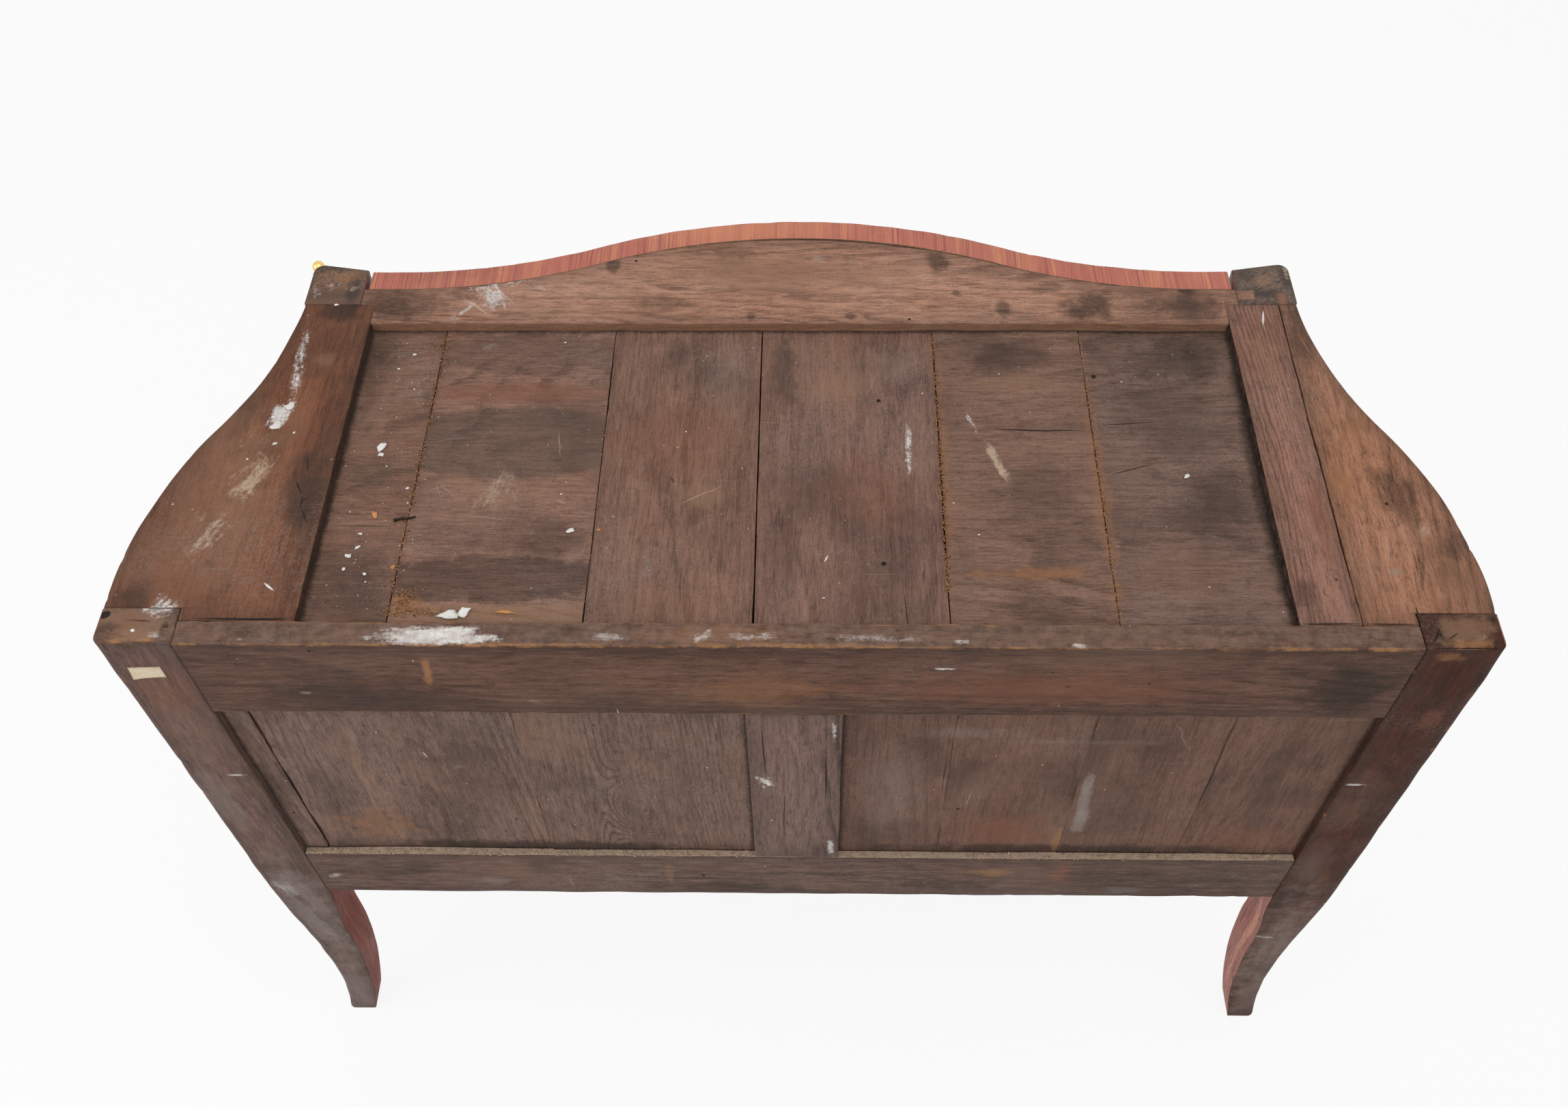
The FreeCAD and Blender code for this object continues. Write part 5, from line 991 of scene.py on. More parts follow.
outerLook = {
    "gain": (1.44, 1.34, 1.31), "grain": "yxz", "shift": (1.6, 0.55, 0), "pith": (0.06, 0.77),
    "ringGap": 0.007, "tilt": 0.06, "warm": 0.6,
    "colours": ((0.125, 0.058, 0.034), (0.3, 0.148, 0.088), (0.4, 0.22, 0.138)), "pores": 0.95,
    "lines": 0.9, "grime": 0.6, "streak": 0.6,
    "marks": [
        blot((-520, 150), (30, 50), "grime", 0.22, ragged=0.3, soft=0.9),
        blot((-500, 95), (26, 34), "soot", 0.5), blot((-458, 84), (14, 36), "frassDark", 0.5, ragged=0.9),
        chalk((-515, 131), (14, 9), 0.35, 60, 0.5, "cream"), blot((-455, -95), (14, 60), "grime", 0.55),
        blot((-522, 185), (26, 40), "oakWarm", 0.5),
        blot((-475, 30), (20, 40), "frassDark", 0.3, ragged=0.9), blot((-534, 150), (12, 20), "soot", 0.4),
        chalk((-480, 175), (6, 5), 0.6, strength=0.5, hue="dust"),
        split((-462, -60), (-452, -95), 0.7, "frass", 0.6), split((-440, 225), (-490, 225), 0.9, wander=1),
        split((-488, 206), (-488, 226), 1.0, wander=2)]}
outerOak = oakMaterial("top_side_left_oak", outerLook)
sweptBlock("top_side_board_left_board", {
    **sideBoard, "b": (lambda y: -innerLimit(y), -0.4433), "breaks": (case["lap"],), "steps": (110, 5, 20),
    "seed": 34}, outerOak, ["top_side_board_left"])
tongue("top_side_board_left_tongue", outerOak, along="y", span=(-0.1429, -0.1288), a=tongueTop,
    b=(-0.452, -0.4433), steps=(8, 5, 5), seed=35)
stripLook = {
    "gain": (1.45, 1.31, 1.28), "grain": "yxz", "shift": (2.6, 0.62, 0), "pith": (0.05, 0.77),
    "ringGap": 0.0042, "tilt": 0.006, "warm": 0.35, "pores": 0.85,
    "colours": ((0.1, 0.052, 0.036), (0.25, 0.135, 0.098), (0.33, 0.195, 0.145)), "lines": 0.85,
    # the inner face, turned to the opening, is darkened: painted shade
    "faces": [("faceB", 1, "soot", 0.8)],
    "marks": [
        blot((-418, -60), (20, 50), "oakWarm", 0.3),
        split((-428, -122), (-424, -100), 1.2, "plaster", 0.85), blot((-405, 200), (14, 30), "grime", 0.5),
        blot((-430, 120), (12, 60), "redwood", 0.35), split((-392, 225), (-444, 225), 1.1, wander=1)]}
sweptBlock("top_side_strip_left_board",
    {**sideBoard, "b": (-0.4429, -case["topHalf"]), "steps": (100, 5, 12), "seed": 36},
    oakMaterial("top_strip_oak", stripLook), ["top_side_strip_left"])
print("stage: frame of the top laid")

# framed back
backDepth = (case["frameBack"], case["back"])
backRail = {  # what both rails of the back share
    "along": "x", "span": (-case["rearInner"], case["rearInner"]), "a": backDepth, "edge": 0.0014,
    "wobble": (0.0003, 0.12), "nick": 0.002}
backLook = {
    "gain": (0.94, 0.94, 0.93), "grain": "xzy", "shift": (0.2, 0.0, 0), "pith": (0.79, 0.2),
    "ringGap": 0.0065, "tilt": 0.03, "grime": 0.6, "wear": 0.38,
    "colours": ((0.075, 0.036, 0.025), (0.165, 0.08, 0.054), (0.235, 0.128, 0.09)), "dust": 0.2,
    "lines": 0.75, "pores": 0.8, "streak": 0.85, "faces": [("faceB", 1, "oakLight", 0.3)],
    "marks": onBack(blot((30, 762), (80, 30), "frassDark", 0.35),
        blot((-200, 765), (200, 32), "redwood", 0.5), blot((-445, 765), (45, 60), "soot", 0.6),
        blot((340, 742), (130, 26), "grime", 0.45), blot((293, 786), (22, 5), "wear", 0.6, 96, 0.7),
        chalk((-120, 794), (11, 2), 0.6), blot((400, 752), (6, 3), "grey", 0.6),
        split((147, 732), (146, 706), 0.7, "plaster", 0.5), blot((215, 742), (6, 3), "grey", 0.5))
    + [
        blot((410, 236), (70, 10), "grime", 0.6, ragged=0.8),
        blot((200, 238), (50, 9), "grime", 0.6, ragged=0.8),
        blot((60, 238), (70, 12), "frassDark", 0.4, ragged=0.9),
        blot((-300, 236), (160, 10), "grime", 0.45, ragged=0.7),
        chalk((250, 247), (180, 3), 0.4, strength=0.7, hue="wear"),
        chalk((0, 247), (120, 3.5), 0.5, strength=0.7, hue="wear"),
        chalk((286, 239), (42, 9), 0.95, strength=0.95), chalk((278, 238), (30, 6), 0.95, 4, 1.0, "lime"),
        chalk((258, 243), (34, 4.5), 0.8, 2, 1.0, "lime"), chalk((300, 243), (22, 4), 0.7, -4, 1.0, "lime"),
        chalk((325, 240), (24, 6), 0.4), chalk((72, 240), (14, 7), 0.45, 30),
        chalk((145, 240), (24, 6), 0.4, strength=0.6), chalk((30, 239), (30, 6), 0.35, strength=0.6),
        chalk((-222, 246), (8, 3), 0.6), chalk((-60, 240), (60, 6), 0.3, strength=0.6),
        chalk((420, 243), (40, 4), 0.25, strength=0.6), chalk((-131, 243), (8, 3), 0.5),
        chalk((15, 244), (30, 4), 0.2, hue="frass")]}
backOak = oakMaterial("back_top_rail_oak", backLook)
sweptBlock("back_top_rail_board",
    {**backRail, "b": (case["panelHigh"], case["height"]), "steps": (170, 6, 20), "seed": 41}, backOak,
    ["back_top_rail"])
tongue("back_top_rail_tongue", backOak, along="x", span=(0.4869, 0.4975), a=(0.2331, 0.2461), b=tongueTop,
    steps=(8, 6, 5), seed=42)
bottomLook = {
    "gain": (1.06, 1.0, 0.98), "grain": "xzy", "shift": (1.2, 0.3, 0), "pith": (0.72, 0.19),
    "ringGap": 0.007, "tilt": 0.03, "grime": 0.6,
    "colours": ((0.07, 0.041, 0.032), (0.15, 0.092, 0.072), (0.245, 0.16, 0.127)), "dust": 0.4,
    "lines": 0.9, "pores": 0.9, "streak": 0.85, "faces": [("faceB", 1, "ledge", 0.9)],
    "marks": onBack(blot((-330, 392), (210, 60), "grime", 0.34, ragged=0.4, soft=0.9),
        blot((-263, 408), (14, 30), "redwood", 0.4, ragged=0.9), blot((-196, 412), (28, 13), "frass", 0.4),
        blot((-263, 412), (11, 25), "redwood", 0.55),
        chalk((-405, 385), (18, 6), 0.35, strength=0.4, hue="dust"),
        chalk((470, 392), (9, 13), 0.3, 60, 0.6), chalk((230, 380), (20, 4), 0.2, 80, 0.5),
        blot((128, 400), (6, 30), "frass", 0.25), blot((310, 382), (24, 9), "grey", 0.35),
        blot((-330, 370), (30, 12), "grey", 0.3), blot((60, 372), (120, 12), "soot", 0.35, ragged=0.9),
        blot((-150, 384), (60, 16), "soot", 0.35, ragged=0.9),
        blot((420, 404), (60, 18), "soot", 0.3, ragged=0.9),
        chalk((190, 398), (40, 6), 0.25, 30, 0.35, "dust"),
        chalk((-430, 412), (30, 8), 0.3, 10, 0.35, "dust"))}
sweptBlock("back_bottom_rail_board",
    {**backRail, "b": (0.356, case["panelLow"]), "steps": (170, 6, 18), "seed": 43},
    oakMaterial("back_bottom_rail_oak", bottomLook), ["back_bottom_rail"])
muntinLook = {
    "gain": (1.22, 1.14, 1.15), "grain": "zxy", "shift": (2.2, 0.4, 0), "pith": (0.4, 0.19),
    "ringGap": 0.005, "tilt": 0.02, "lines": 1.0, "pores": 0.9,
    "colours": ((0.07, 0.042, 0.034), (0.182, 0.118, 0.094), (0.275, 0.19, 0.156)), "warm": 0.2,
    "marks": onBack(chalk((27, 602), (18, 9), 0.42, 70), chalk((-34, 690), (24, 3), 0.5, 90, 0.6),
        chalk((-33, 465), (24, 4), 0.6, 88, 0.7), split((28, 715), (26, 600), 0.9),
        split((-27, 660), (-28, 560), 0.9), split((10, 590), (12, 470), 0.7))}
sweptBlock("back_muntin_board", {
    "along": "z", "span": (0.4442, 0.7208), "a": (-case["muntinHalf"], case["muntinHalf"]), "b": backDepth,
    "edge": 0.0013, "steps": (70, 16, 5), "wobble": (0.0003, 0.1), "nick": 0.002, "seed": 44},
    oakMaterial("back_muntin_oak", muntinLook), ["back_muntin"])
panelBoards = {
    "back_panel_right": (0.0335, 0.2406, 0.4625, 0.4945),
    "back_panel_left": (-0.0335, -0.137, -0.2555, -0.371, -0.4945)}
panelTones = {
    "back_panel_right": ((0.072, 0.042, 0.033), (0.205, 0.123, 0.094), (0.31, 0.2, 0.158)),
    "back_panel_left": ((0.075, 0.039, 0.027), (0.18, 0.093, 0.065), (0.268, 0.152, 0.11))}
panelMarks = {
    "back_panel_right": onBack(blot((400, 495), (48, 42), "frassDark", 0.4, ragged=0.8),
        blot((392, 600), (10, 100), "tan", 0.3), blot((290, 610), (40, 110), "grime", 0.3),
        split((330, 640), (327, 628), 1.0, "plaster", 0.5), blot((302, 612), (7, 5), "grey", 0.5),
        # dark bands along the foot and the head of the panel, next to the rails: grime and painted shade
        blot((260, 452), (250, 15), "grime", 0.8), blot((270, 718), (250, 9), "grime", 0.5)),
    "back_panel_left": onBack(blot((-88, 575), (46, 130), "dust", 0.2, ragged=0.3, soft=0.9),
        blot((-270, 590), (110, 120), "grime", 0.2, ragged=0.3, soft=0.9),
        blot((-200, 492), (62, 48), "redwood", 0.6), blot((-300, 520), (44, 60), "olive", 0.35),
        blot((-430, 480), (60, 34), "redwood", 0.4),
        blot((-150, 680), (70, 14), "dust", 0.22, ragged=0.8, soft=0.9),
        chalk((-264, 588), (22, 5), 0.95, 92, 0.5, "dust"),
        chalk((-266, 552), (46, 6.5), 0.95, 88, 0.55, "dust"),
        chalk((-268, 514), (26, 7), 0.95, 92, 0.5, "dust"),
        blot((-266, 545), (7, 55), "grey", 0.25, ragged=0.5, soft=0.6),
        split((-372, 662), (-372, 548), 0.8), split((-163, 575), (-157, 538), 0.9, "dust", 0.7, 9),
        split((-322, 700), (-345, 640), 0.7, "dust", 0.5, 14), split((-133, 650), (-134, 560), 0.7),
        blot((-130, 590), (8, 14), "tan", 0.4),
        blot((-250, 665), (100, 6), "dust", 0.2, ragged=0.9, soft=0.9),
        # dark bands along the foot and the head of the panel, next to the rails: grime and painted shade
        blot((-260, 452), (250, 15), "grime", 0.8), blot((-252, 470), (7, 40), "frass", 0.4),
        blot((-270, 718), (250, 9), "grime", 0.5))}
for nodeName, joints in panelBoards.items():
    for index, (first, second) in enumerate(zip(joints, joints[1:])):
        seed = 50 + index + 10 * (nodeName == "back_panel_left")
        sign = 1 if nodeName == "back_panel_right" else -1
        overlap = -0.00002 if sign > 0 else 0.0002
        low, high = min(first, second) - overlap, max(first, second) + overlap
        low += 0.0008 * (index == 2 and sign > 0)
        shift = 0.37 * index + 1.9 * (sign < 0)
        flowered = sign > 0 and index == 0
        panelLook = {
            "grain": "zxy", "shift": (shift, shift, 0), "ringGap": 0.0042 if flowered else 0.0075,
            "tilt": 0.07 if flowered else 0.05 + 0.01 * index, "colours": panelTones[nodeName],
            "grime": 0.5,
            "pith": ((low + high) / 2 + shift + 0.013 * (-1) ** index, 0.212 if flowered else 0.19),
            "lines": (1.0 if flowered else 0.65) if sign > 0 else 0.25, "pores": 0.8 if sign > 0 else 0.45,
            "rim": 0.0, "marks": panelMarks[nodeName], "streak": 0.45 if sign > 0 else 0.32,
            "eye": (0.535, 0.147, 0), "eyeRise": 0.05 * flowered,
            "opening": ("xzy", *sorted((case["muntinHalf"] * sign, case["rearInner"] * sign)),
                case["panelLow"], case["panelHigh"])}
        label = f"{nodeName}_board_{index + 1}"
        sweptBlock(label, {
            "along": "z", "span": (0.4365, 0.7285), "a": (low, high),
            "b": (0.2331, 0.2421 - 0.0006 * (index % 2) * (sign > 0)), "edge": 0.0002,
            "steps": (60, 18 if high - low > 0.06 else 6, 3), "wobble": (0.0004, 0.11),
            "nick": 0.0008 * (sign > 0), "seed": seed}, oakMaterial(label + "_oak", panelLook), [nodeName])
print("stage: framed back set in")


def legFall(z, start, run, rise):  # how far a leg's edge has bent by height z, falling from start
    return reverseCurve(start - z, run, rise)


def rearOuter(z):
    return case["rearHalf"] - legFall(z, 0.375, 0.225, 0.0105) + arcRise(0.15 - z, 0.15, 0.015)


def rearInner(z):
    return case["rearInner"] + legFall(z, 0.35, 0.11, 0.008) + arcRise(0.24 - z, 0.24, 0.0265)


def rearFront(z):
    depth = np.where(z > case["frameLow"], 0.035, 0.048 - arcRise(0.3 - z, 0.3, 0.012))
    return atDepth(depth)


postTones = {
    1: ((0.075, 0.042, 0.035), (0.182, 0.106, 0.088), (0.275, 0.17, 0.142)),
    -1: ((0.028, 0.011, 0.006), (0.07, 0.025, 0.014), (0.132, 0.056, 0.034))}
postMarks = {
    1: [blot((520, 232), (46, 28), "tan", 0.55, ragged=0.5, soft=0.5)]
    + onBack(chalk((530, 362), (28, 14), 0.5, 70, 0.6), chalk((503, 609), (15, 2.5), 0.6, strength=0.7),
        blot((515, 760), (34, 60), "redwood", 0.35), blot((530, 560), (20, 90), "dust", 0.25),
        blot((520, 290), (40, 190), "grey", 0.6, ragged=0.5, soft=0.95),
        chalk((516, 300), (130, 8), 0.42, 80, 0.5, "grime"),
        chalk((535, 240), (120, 7), 0.4, 82, 0.5, "grime"),
        chalk((515, 250), (70, 16), 0.25, 75, 0.5, "dust"),
        chalk((530, 60), (22, 12), 0.3, 80, 0.5, "dust"),
        blot((532, 70), (40, 110), "grey", 0.5, ragged=0.25, soft=0.95),
        chalk((528, 372), (12, 26), 0.62, 20, 0.5, "grey")) + [
            chalk((502, 216), (15, 10), 0.55, 20), chalk((501, 240), (12, 6), 0.4),
            blot((540, 238), (16, 12), "grime", 0.7),
            blot((546, 221.5), (5.5, 4), "soot", 1.0, 30, 0.2, 0.35),
            blot((509, 245), (8, 3), "wear", 0.8, ragged=0.9),
            blot((495, 236), (5, 12), "soot", 0.8, ragged=0.7),
            blot((518, 248), (30, 2.5), "soot", 0.6, ragged=0.9), chalk((512, 208), (14, 7), 0.5, 65),
            split((540, 205), (548, 214), 0.9), split((530, 226), (505, 228), 0.8, wander=4),
            split((548, 236), (520, 243), 0.8, wander=4),
            blot((536, 236), (2, 2), "soot", 1.0, ragged=0.1, soft=0.2),
            blot((525, 230), (18, 14), "redwood", 0.3), blot((522, 240), (32, 9), "tan", 0.5, ragged=0.8),
            chalk((530, 246), (12, 3), 0.6, hue="wear")],
    -1: onBack(blot((-508, 815), (14, 9), "frassDark", 0.5, ragged=0.9),
        blot((-525, 720), (16, 18), "redwood", 0.4), chalk((-498, 604), (14, 2.5), 0.5, strength=0.6),
        blot((-505, 430), (24, 80), "greyWarm", 0.3, ragged=0.3, soft=0.95))
    + [
        blot((-544, 219), (5, 5), "soot", 0.95, ragged=0.1),
        blot((-540, 232), (2, 2), "soot", 1.0, ragged=0.1, soft=0.2),
        blot((-501, 235), (2, 2), "soot", 1.0, ragged=0.1, soft=0.2),
        blot((-504, 232), (12, 15), "soot", 0.35), blot((-520, 232), (34, 24), "tan", 0.55, ragged=0.7),
        blot((-524, 243), (26, 6), "wear", 0.35, ragged=0.9), blot((-530, 228), (18, 10), "oakWarm", 0.5),
        split((-492, 246), (-503, 226), 1.2), split((-505, 240), (-516, 232), 0.8),
        chalk((-534, 236), (9, 6), 0.3, 30, hue="cream")] + onBack(
            blot((-520, 220), (44, 200), "greyWarm", 0.76, ragged=0.5, soft=0.95),
            chalk((-514, 268), (40, 10), 0.3, 80, 0.4, "dust"),
            chalk((-520, 200), (150, 9), 0.4, 88, 0.5, "grime"),
            chalk((-508, 180), (110, 6), 0.4, 86, 0.5, "grime"),
            blot((-532, 70), (24, 80), "greyWarm", 0.4), chalk((-505, 250), (16, 3), 0.5, 10, 0.5))}
for side, word in sides:
    postLook = {
        "grain": "zxy", "shift": (0.8 * side, 0.2, 0), "pith": (0.2 + 0.52 * side, 0.14), "ringGap": 0.006,
        "tilt": 0.02, "colours": postTones[side], "grime": 0.55, "wear": 0.2, "marks": postMarks[side],
        "gain": (1, 1, 0.98) if side > 0 else (1.0, 0.68, 0.5), "streak": 0.7,
        "veneer": {
            "attribute": "faceA", "grain": "zyx", "side": side,
            # the left post's veneer is raised far above the right's: painted light on its inner face, which
            # faces the side lamp
            "lift": (1.05, 1.05, 1.05) if side > 0 else (1.8, 2.55, 2.8)}}
    spec = {
        "along": "z", "span": (0.0, case["height"]), "b": (rearFront, case["back"]),
        "breaks": (case["frameLow"],), "steps": (150, 12, 10), "wobble": (0.0003, 0.13), "nick": 0.0012,
        "seed": 70 + side, "bend": 5}
    spec["a"] = mirrored(side, rearInner, rearOuter)
    spec["edge"] = (0.0016, 0.0022, 0.008, 0.0016) if side > 0 else (0.0022, 0.0016, 0.0016, 0.008)
    sweptBlock(f"rear_post_{word}_leg", spec, oakMaterial(f"rear_post_{word}_oak", postLook),
        [f"rear_post_{word}"])
print("stage: rear posts and legs standing")


def legEdges(inner, outer):  # inner and outer edge of a front leg seen square on: knee, calf, ankle and foot
    ankle, foot = outer - 0.0175, outer - 0.0045
    calf, toe = inner + 0.008, outer - 0.0345

    def innerEdge(z):
        return inner + legFall(z, 0.345, 0.115, 0.008) + arcRise(0.23 - z, 0.227, toe - calf)

    def outerEdge(z):
        return outer - legFall(z, 0.42, 0.31, 0.0175) + arcRise(0.11 - z, 0.107, foot - ankle)

    return innerEdge, outerEdge


postInnerX, postOuterX = legEdges(case["openingHalf"], case["frontOuter"])
postInnerDepth, postOuterDepth = legEdges(case["postBack"], case["postFront"])


def slantFront(points):  # the front of the post falls back towards the drawers
    z = points[:, 2]
    inner, outer = postInnerX(z), postOuterX(z)
    away = np.clip((outer - 0.009 - np.abs(points[:, 0])) / (outer - 0.009 - inner), 0, 1)
    front = np.clip((atDepth(postInnerDepth(z)) - points[:, 1]) / (postOuterDepth(z) - postInnerDepth(z)),
        0, 1)
    points[:, 1] += np.clip(postOuterDepth(z) - case["endDepth"], 0, 0.008) * away * front ** 4
    return points


def legMaterial(name, look):
    # striped veneer up the leg, rubbed at the arrises, oak end grain on the top
    material, tree, shader = startMaterial(name)
    plain = tree.place()
    rose = striped(tree, tree.place(look["grain"]), kingwood)
    colour = rose["Color"]
    dirt = tree.smooth(tree.noise(plain, 15, 4, 0.65), 0.48, 0.74)
    colour = tree.coat(colour, dirt, 0.5, "grime")
    rubbed = tree.grouped(edgeWear, Edge=tree.attribute("edge"), Vector=plain, Amount=0.12)["Mask"]
    colour = tree.coat(colour, rubbed, 0.5, "wear")
    end = tree.grouped(oakGrain, Vector=tree.place("zxy", look["shift"]), RingGap=0.0045,
        PithAcross=look["pith"][0], PithDepth=look["pith"][1], Tilt=0.0)
    wood = tree.mixed(tree.smooth(end["Tone"], 0.1, 0.9), look["colours"][0], look["colours"][1])
    wood = tree.coat(wood, end["Lines"], 0.6, "oakDark")
    flecks = tree.grouped(specks, Vector=plain, Scale=420.0, Density=0.06)["Mask"]
    wood = tree.coat(wood, flecks, 0.7, look["fleck"])
    speckle = tree.noise(plain, 260, 5, 0.72)
    wood = tree.coat(wood, tree.smooth(speckle, 0.5, 0.34), 0.75, "soot")
    wood = tree.coat(wood, tree.smooth(tree.times(tree.attribute("rim"), speckle), 0.36, 0.6), 0.7, "soot")
    wood, height = layMarks(tree, wood, end["Height"], look.get("marks", ()))
    height = tree.between(0.5, rose["Height"], height)
    up = tree.smooth(tree.axes(plain)[2], 0.8236, 0.8244)
    colour = tree.mixed(up, colour, wood)
    rough = tree.timesPlus(dirt, 0.2, tree.between(up, 0.38, 0.75))
    dress(tree, shader, (height, 0.3, 0.0006), colour=colour, rough=rough)
    return material


legLooks = {
    1: {
        "grain": "zxy", "shift": (0.4, 0.0, 0.0), "pith": (0.38, -0.11),
        "colours": ((0.078, 0.041, 0.025), (0.305, 0.168, 0.103)), "fleck": (0.45, 0.28, 0.12),
        "marks": [
            blot((434, -133), (60, 19), "oakBrown", 0.92, soft=0.2, ragged=0.12),
            blot((436, -140), (40, 7), "grime", 0.3, ragged=0.7), blot((418, -150), (10, 26), "soot", 0.7),
            blot((440, -178), (26, 9), "soot", 0.5), blot((428, -165), (16, 10), "frassDark", 0.4),
            chalk((452, -146), (7, 14), 0.42, 20), chalk((436, -154), (12, 7), 0.3, 40),
            chalk((420, -150), (10, 8), 0.28, 60, hue="cream")]},
    -1: {
        "grain": "zxy", "shift": (1.4, 0.0, 0.0), "pith": (-0.4, -0.1),
        "colours": ((0.06, 0.038, 0.028), (0.258, 0.168, 0.123)), "fleck": (0.3, 0.22, 0.16),
        "marks": [
            blot((-432, -142), (28, 10), "soot", 0.7), blot((-455, -165), (8, 24), "soot", 0.6),
            blot((-420, -168), (14, 12), "grime", 0.6), chalk((-458, -170), (4, 14), 0.4, hue="cream"),
            blot((-436, -160), (12, 9), "tan", 0.4)]}}
for side, word in sides:
    spec = {
        "along": "z", "span": (0.003, case["height"]), "steps": (150, 12, 12), "wobble": (0.00025, 0.1),
        "nick": 0.0015, "b": (lambda z: atDepth(postOuterDepth(z)), lambda z: atDepth(postInnerDepth(z))),
        "seed": 80 + side, "bend": 6, "shape": slantFront}
    spec["a"] = mirrored(side, postInnerX, postOuterX)
    spec["edge"] = (0.0012, 0.009, 0.002, 0.0012) if side > 0 else (0.009, 0.0012, 0.0012, 0.002)
    sweptBlock(f"front_post_{word}_leg", spec, legMaterial(f"front_post_{word}_veneer", legLooks[side]),
        [f"front_post_{word}"])
print("stage: front posts and cabriole legs standing")


def sideArch(y):  # the lower edge rises in a flat arch between the posts
    share = np.clip((atDepth(0.048) - y) / 0.33, 0, 1)
    return 0.348 + 0.014 * (1 - (2 * share - 1) ** 2)


sideMiddle = (atDepth(0.213), 0.5755, 0.0)
for side, word in sides:
    spec = {
        "along": "y", "span": (-0.1288, 0.201), "a": (sideArch, 0.8028), "edge": 0.001,
        "steps": (90, 40, 4), "wobble": (0.0002, 0.16), "nick": 0.0008, "seed": 90 + side}
    spec["b"] = mirrored(side, lambda y: sideX(y) - case["sideThick"], sideX)
    look = {
        "plane": "yzx", "middle": sideMiddle, "half": (0.165, 0.2275), "inner": ("faceB", -side),
        "slope": 48, "seed": 1.0 + side}
    sweptBlock(f"side_panel_{word}_veneered", spec, veneerMaterial(f"side_panel_{word}_veneer", look),
        [f"side_panel_{word}"])

drawers = {"upper": (0.6105, 0.8235), "lower": (0.3945, 0.6075)}
for level, (low, high) in drawers.items():
    look = {
        "plane": "xzy", "middle": (0.0, (low + high) / 2, 0.0),
        "half": (case["drawerHalf"], (high - low) / 2), "inner": ("faceA", 1.0), "slope": 33,
        "seed": 5.0 if level == "upper" else 6.0, "rim": "yxz"}
    spec = {
        "along": "x", "span": (-case["drawerHalf"], case["drawerHalf"]),
        "a": (frontY, lambda x: frontY(x) + case["frontThick"]), "b": (low, high), "edge": 0.0011,
        "end": 0.0012, "steps": (190, 4, 28), "wobble": (0.0002, 0.16), "nick": 0.001,
        "seed": 95 + len(level)}
    sweptBlock(f"{level}_drawer_front_veneered", spec, veneerMaterial(f"{level}_front_veneer", look),
        [f"{level}_drawer_front"], body=f"{level}_drawer")


def apronLow(x):  # level at the posts, rising to a hollow and dropping to a lip in the middle
    x = np.abs(x)
    return np.where(x > 0.15,
        0.35 + reverseCurve(case["openingHalf"] - x, case["openingHalf"] - 0.15, 0.014),
        0.364 - reverseCurve(0.15 - x, 0.15, 0.024))


apronLook = {
    "plane": "xzy", "middle": (0.0, 0.366, 0.0), "half": (case["openingHalf"], 0.026),
    "inner": ("faceA", 1.0), "slope": 90, "band": 0.004, "seed": 8.0}
sweptBlock("front_apron_veneered", {
    "along": "x", "span": (-case["openingHalf"], case["openingHalf"]),
    "a": (frontY, lambda x: frontY(x) + case["frontThick"]), "b": (apronLow, 0.3919), "edge": 0.0012,
    "steps": (190, 4, 8), "wobble": (0.0002, 0.16), "nick": 0.001, "seed": 99},
    veneerMaterial("front_apron_veneer", apronLook), ["front_apron"])
print("stage: sides, drawer fronts and apron veneered")


def smoothPath(points, count, closed=False):
    # uniform cubic B-spline through the control polygon, sampled evenly in its own parameter
    points = np.asarray(points, float)
    points = np.concatenate([points[-1:], points, points[:2]]) if closed else np.concatenate(
        [2 * points[:1] - points[1:2], points, 2 * points[-1:] - points[-2:-1]])
    spans = len(points) - 3
    t = np.linspace(0, spans, count, endpoint=not closed)
    start = np.minimum(t.astype(int), spans - 1)
    u = (t - start)[:, None]
    weights = ((1 - u) ** 3, 3 * u ** 3 - 6 * u ** 2 + 4, -3 * u ** 3 + 3 * u ** 2 + 3 * u + 1, u ** 3)
    return sum(weight * points[start + index] for index, weight in enumerate(weights)) / 6


def tubeMesh(name, path, radii, around, material, body, nodes=(), relief=None):
    # a circle carried along a path: the frame's first axis is the path's direction crossed with a fixed
    # side, so the tube never twists; both ends close on a point
    path, radii = np.asarray(path, float), np.asarray(radii, float)
    along = np.gradient(path, axis=0)
    along /= np.linalg.norm(along, axis=1, keepdims=True)
    side = np.cross(path[len(path) // 2] - path[0], path[-1] - path[0])
    side = side / np.linalg.norm(side)
    first = np.broadcast_to(side, path.shape)
    second = np.cross(along, first)
    turn = np.linspace(0, 2 * math.pi, around, endpoint=False)
    ring = first[:, None] * np.cos(turn)[None, :, None] + second[:, None] * np.sin(turn)[None, :, None]
    points = path[:, None] + ring * radii[:, None, None]
    flat = np.concatenate([points.reshape(-1, 3), path[:1], path[-1:]])
    shine = np.ones(len(path)) if relief is None else np.asarray(relief)
    marks = {"relief": np.r_[np.repeat(shine, around), shine[0], shine[-1]]}
    return putMesh(name, flat, ringFaces(len(path), around), endFans(len(path), around), material, body,
        nodes, marks)


def hollowAt(x):  # depth of the front's hollow shoulder at a width, and the sine and cosine of its slope
    run, rise = case["bowHalf"] - case["bowInflection"], bowKnee - case["endDepth"]
    radius = (run ** 2 + rise ** 2) / (2 * rise)
    sine = (case["bowHalf"] - x) / radius
    cosine = math.sqrt(1 - sine ** 2)
    return case["endDepth"] + radius * (1 - cosine), sine, cosine


handle = {
    "centre": 0.286, "span": 0.112, "reach": 0.018, "head": 0.006, "plate": 0.02, "petals": 8,
    "heights": {"upper": 0.729, "lower": 0.513}, "rod": 0.0024, "knop": 0.005}


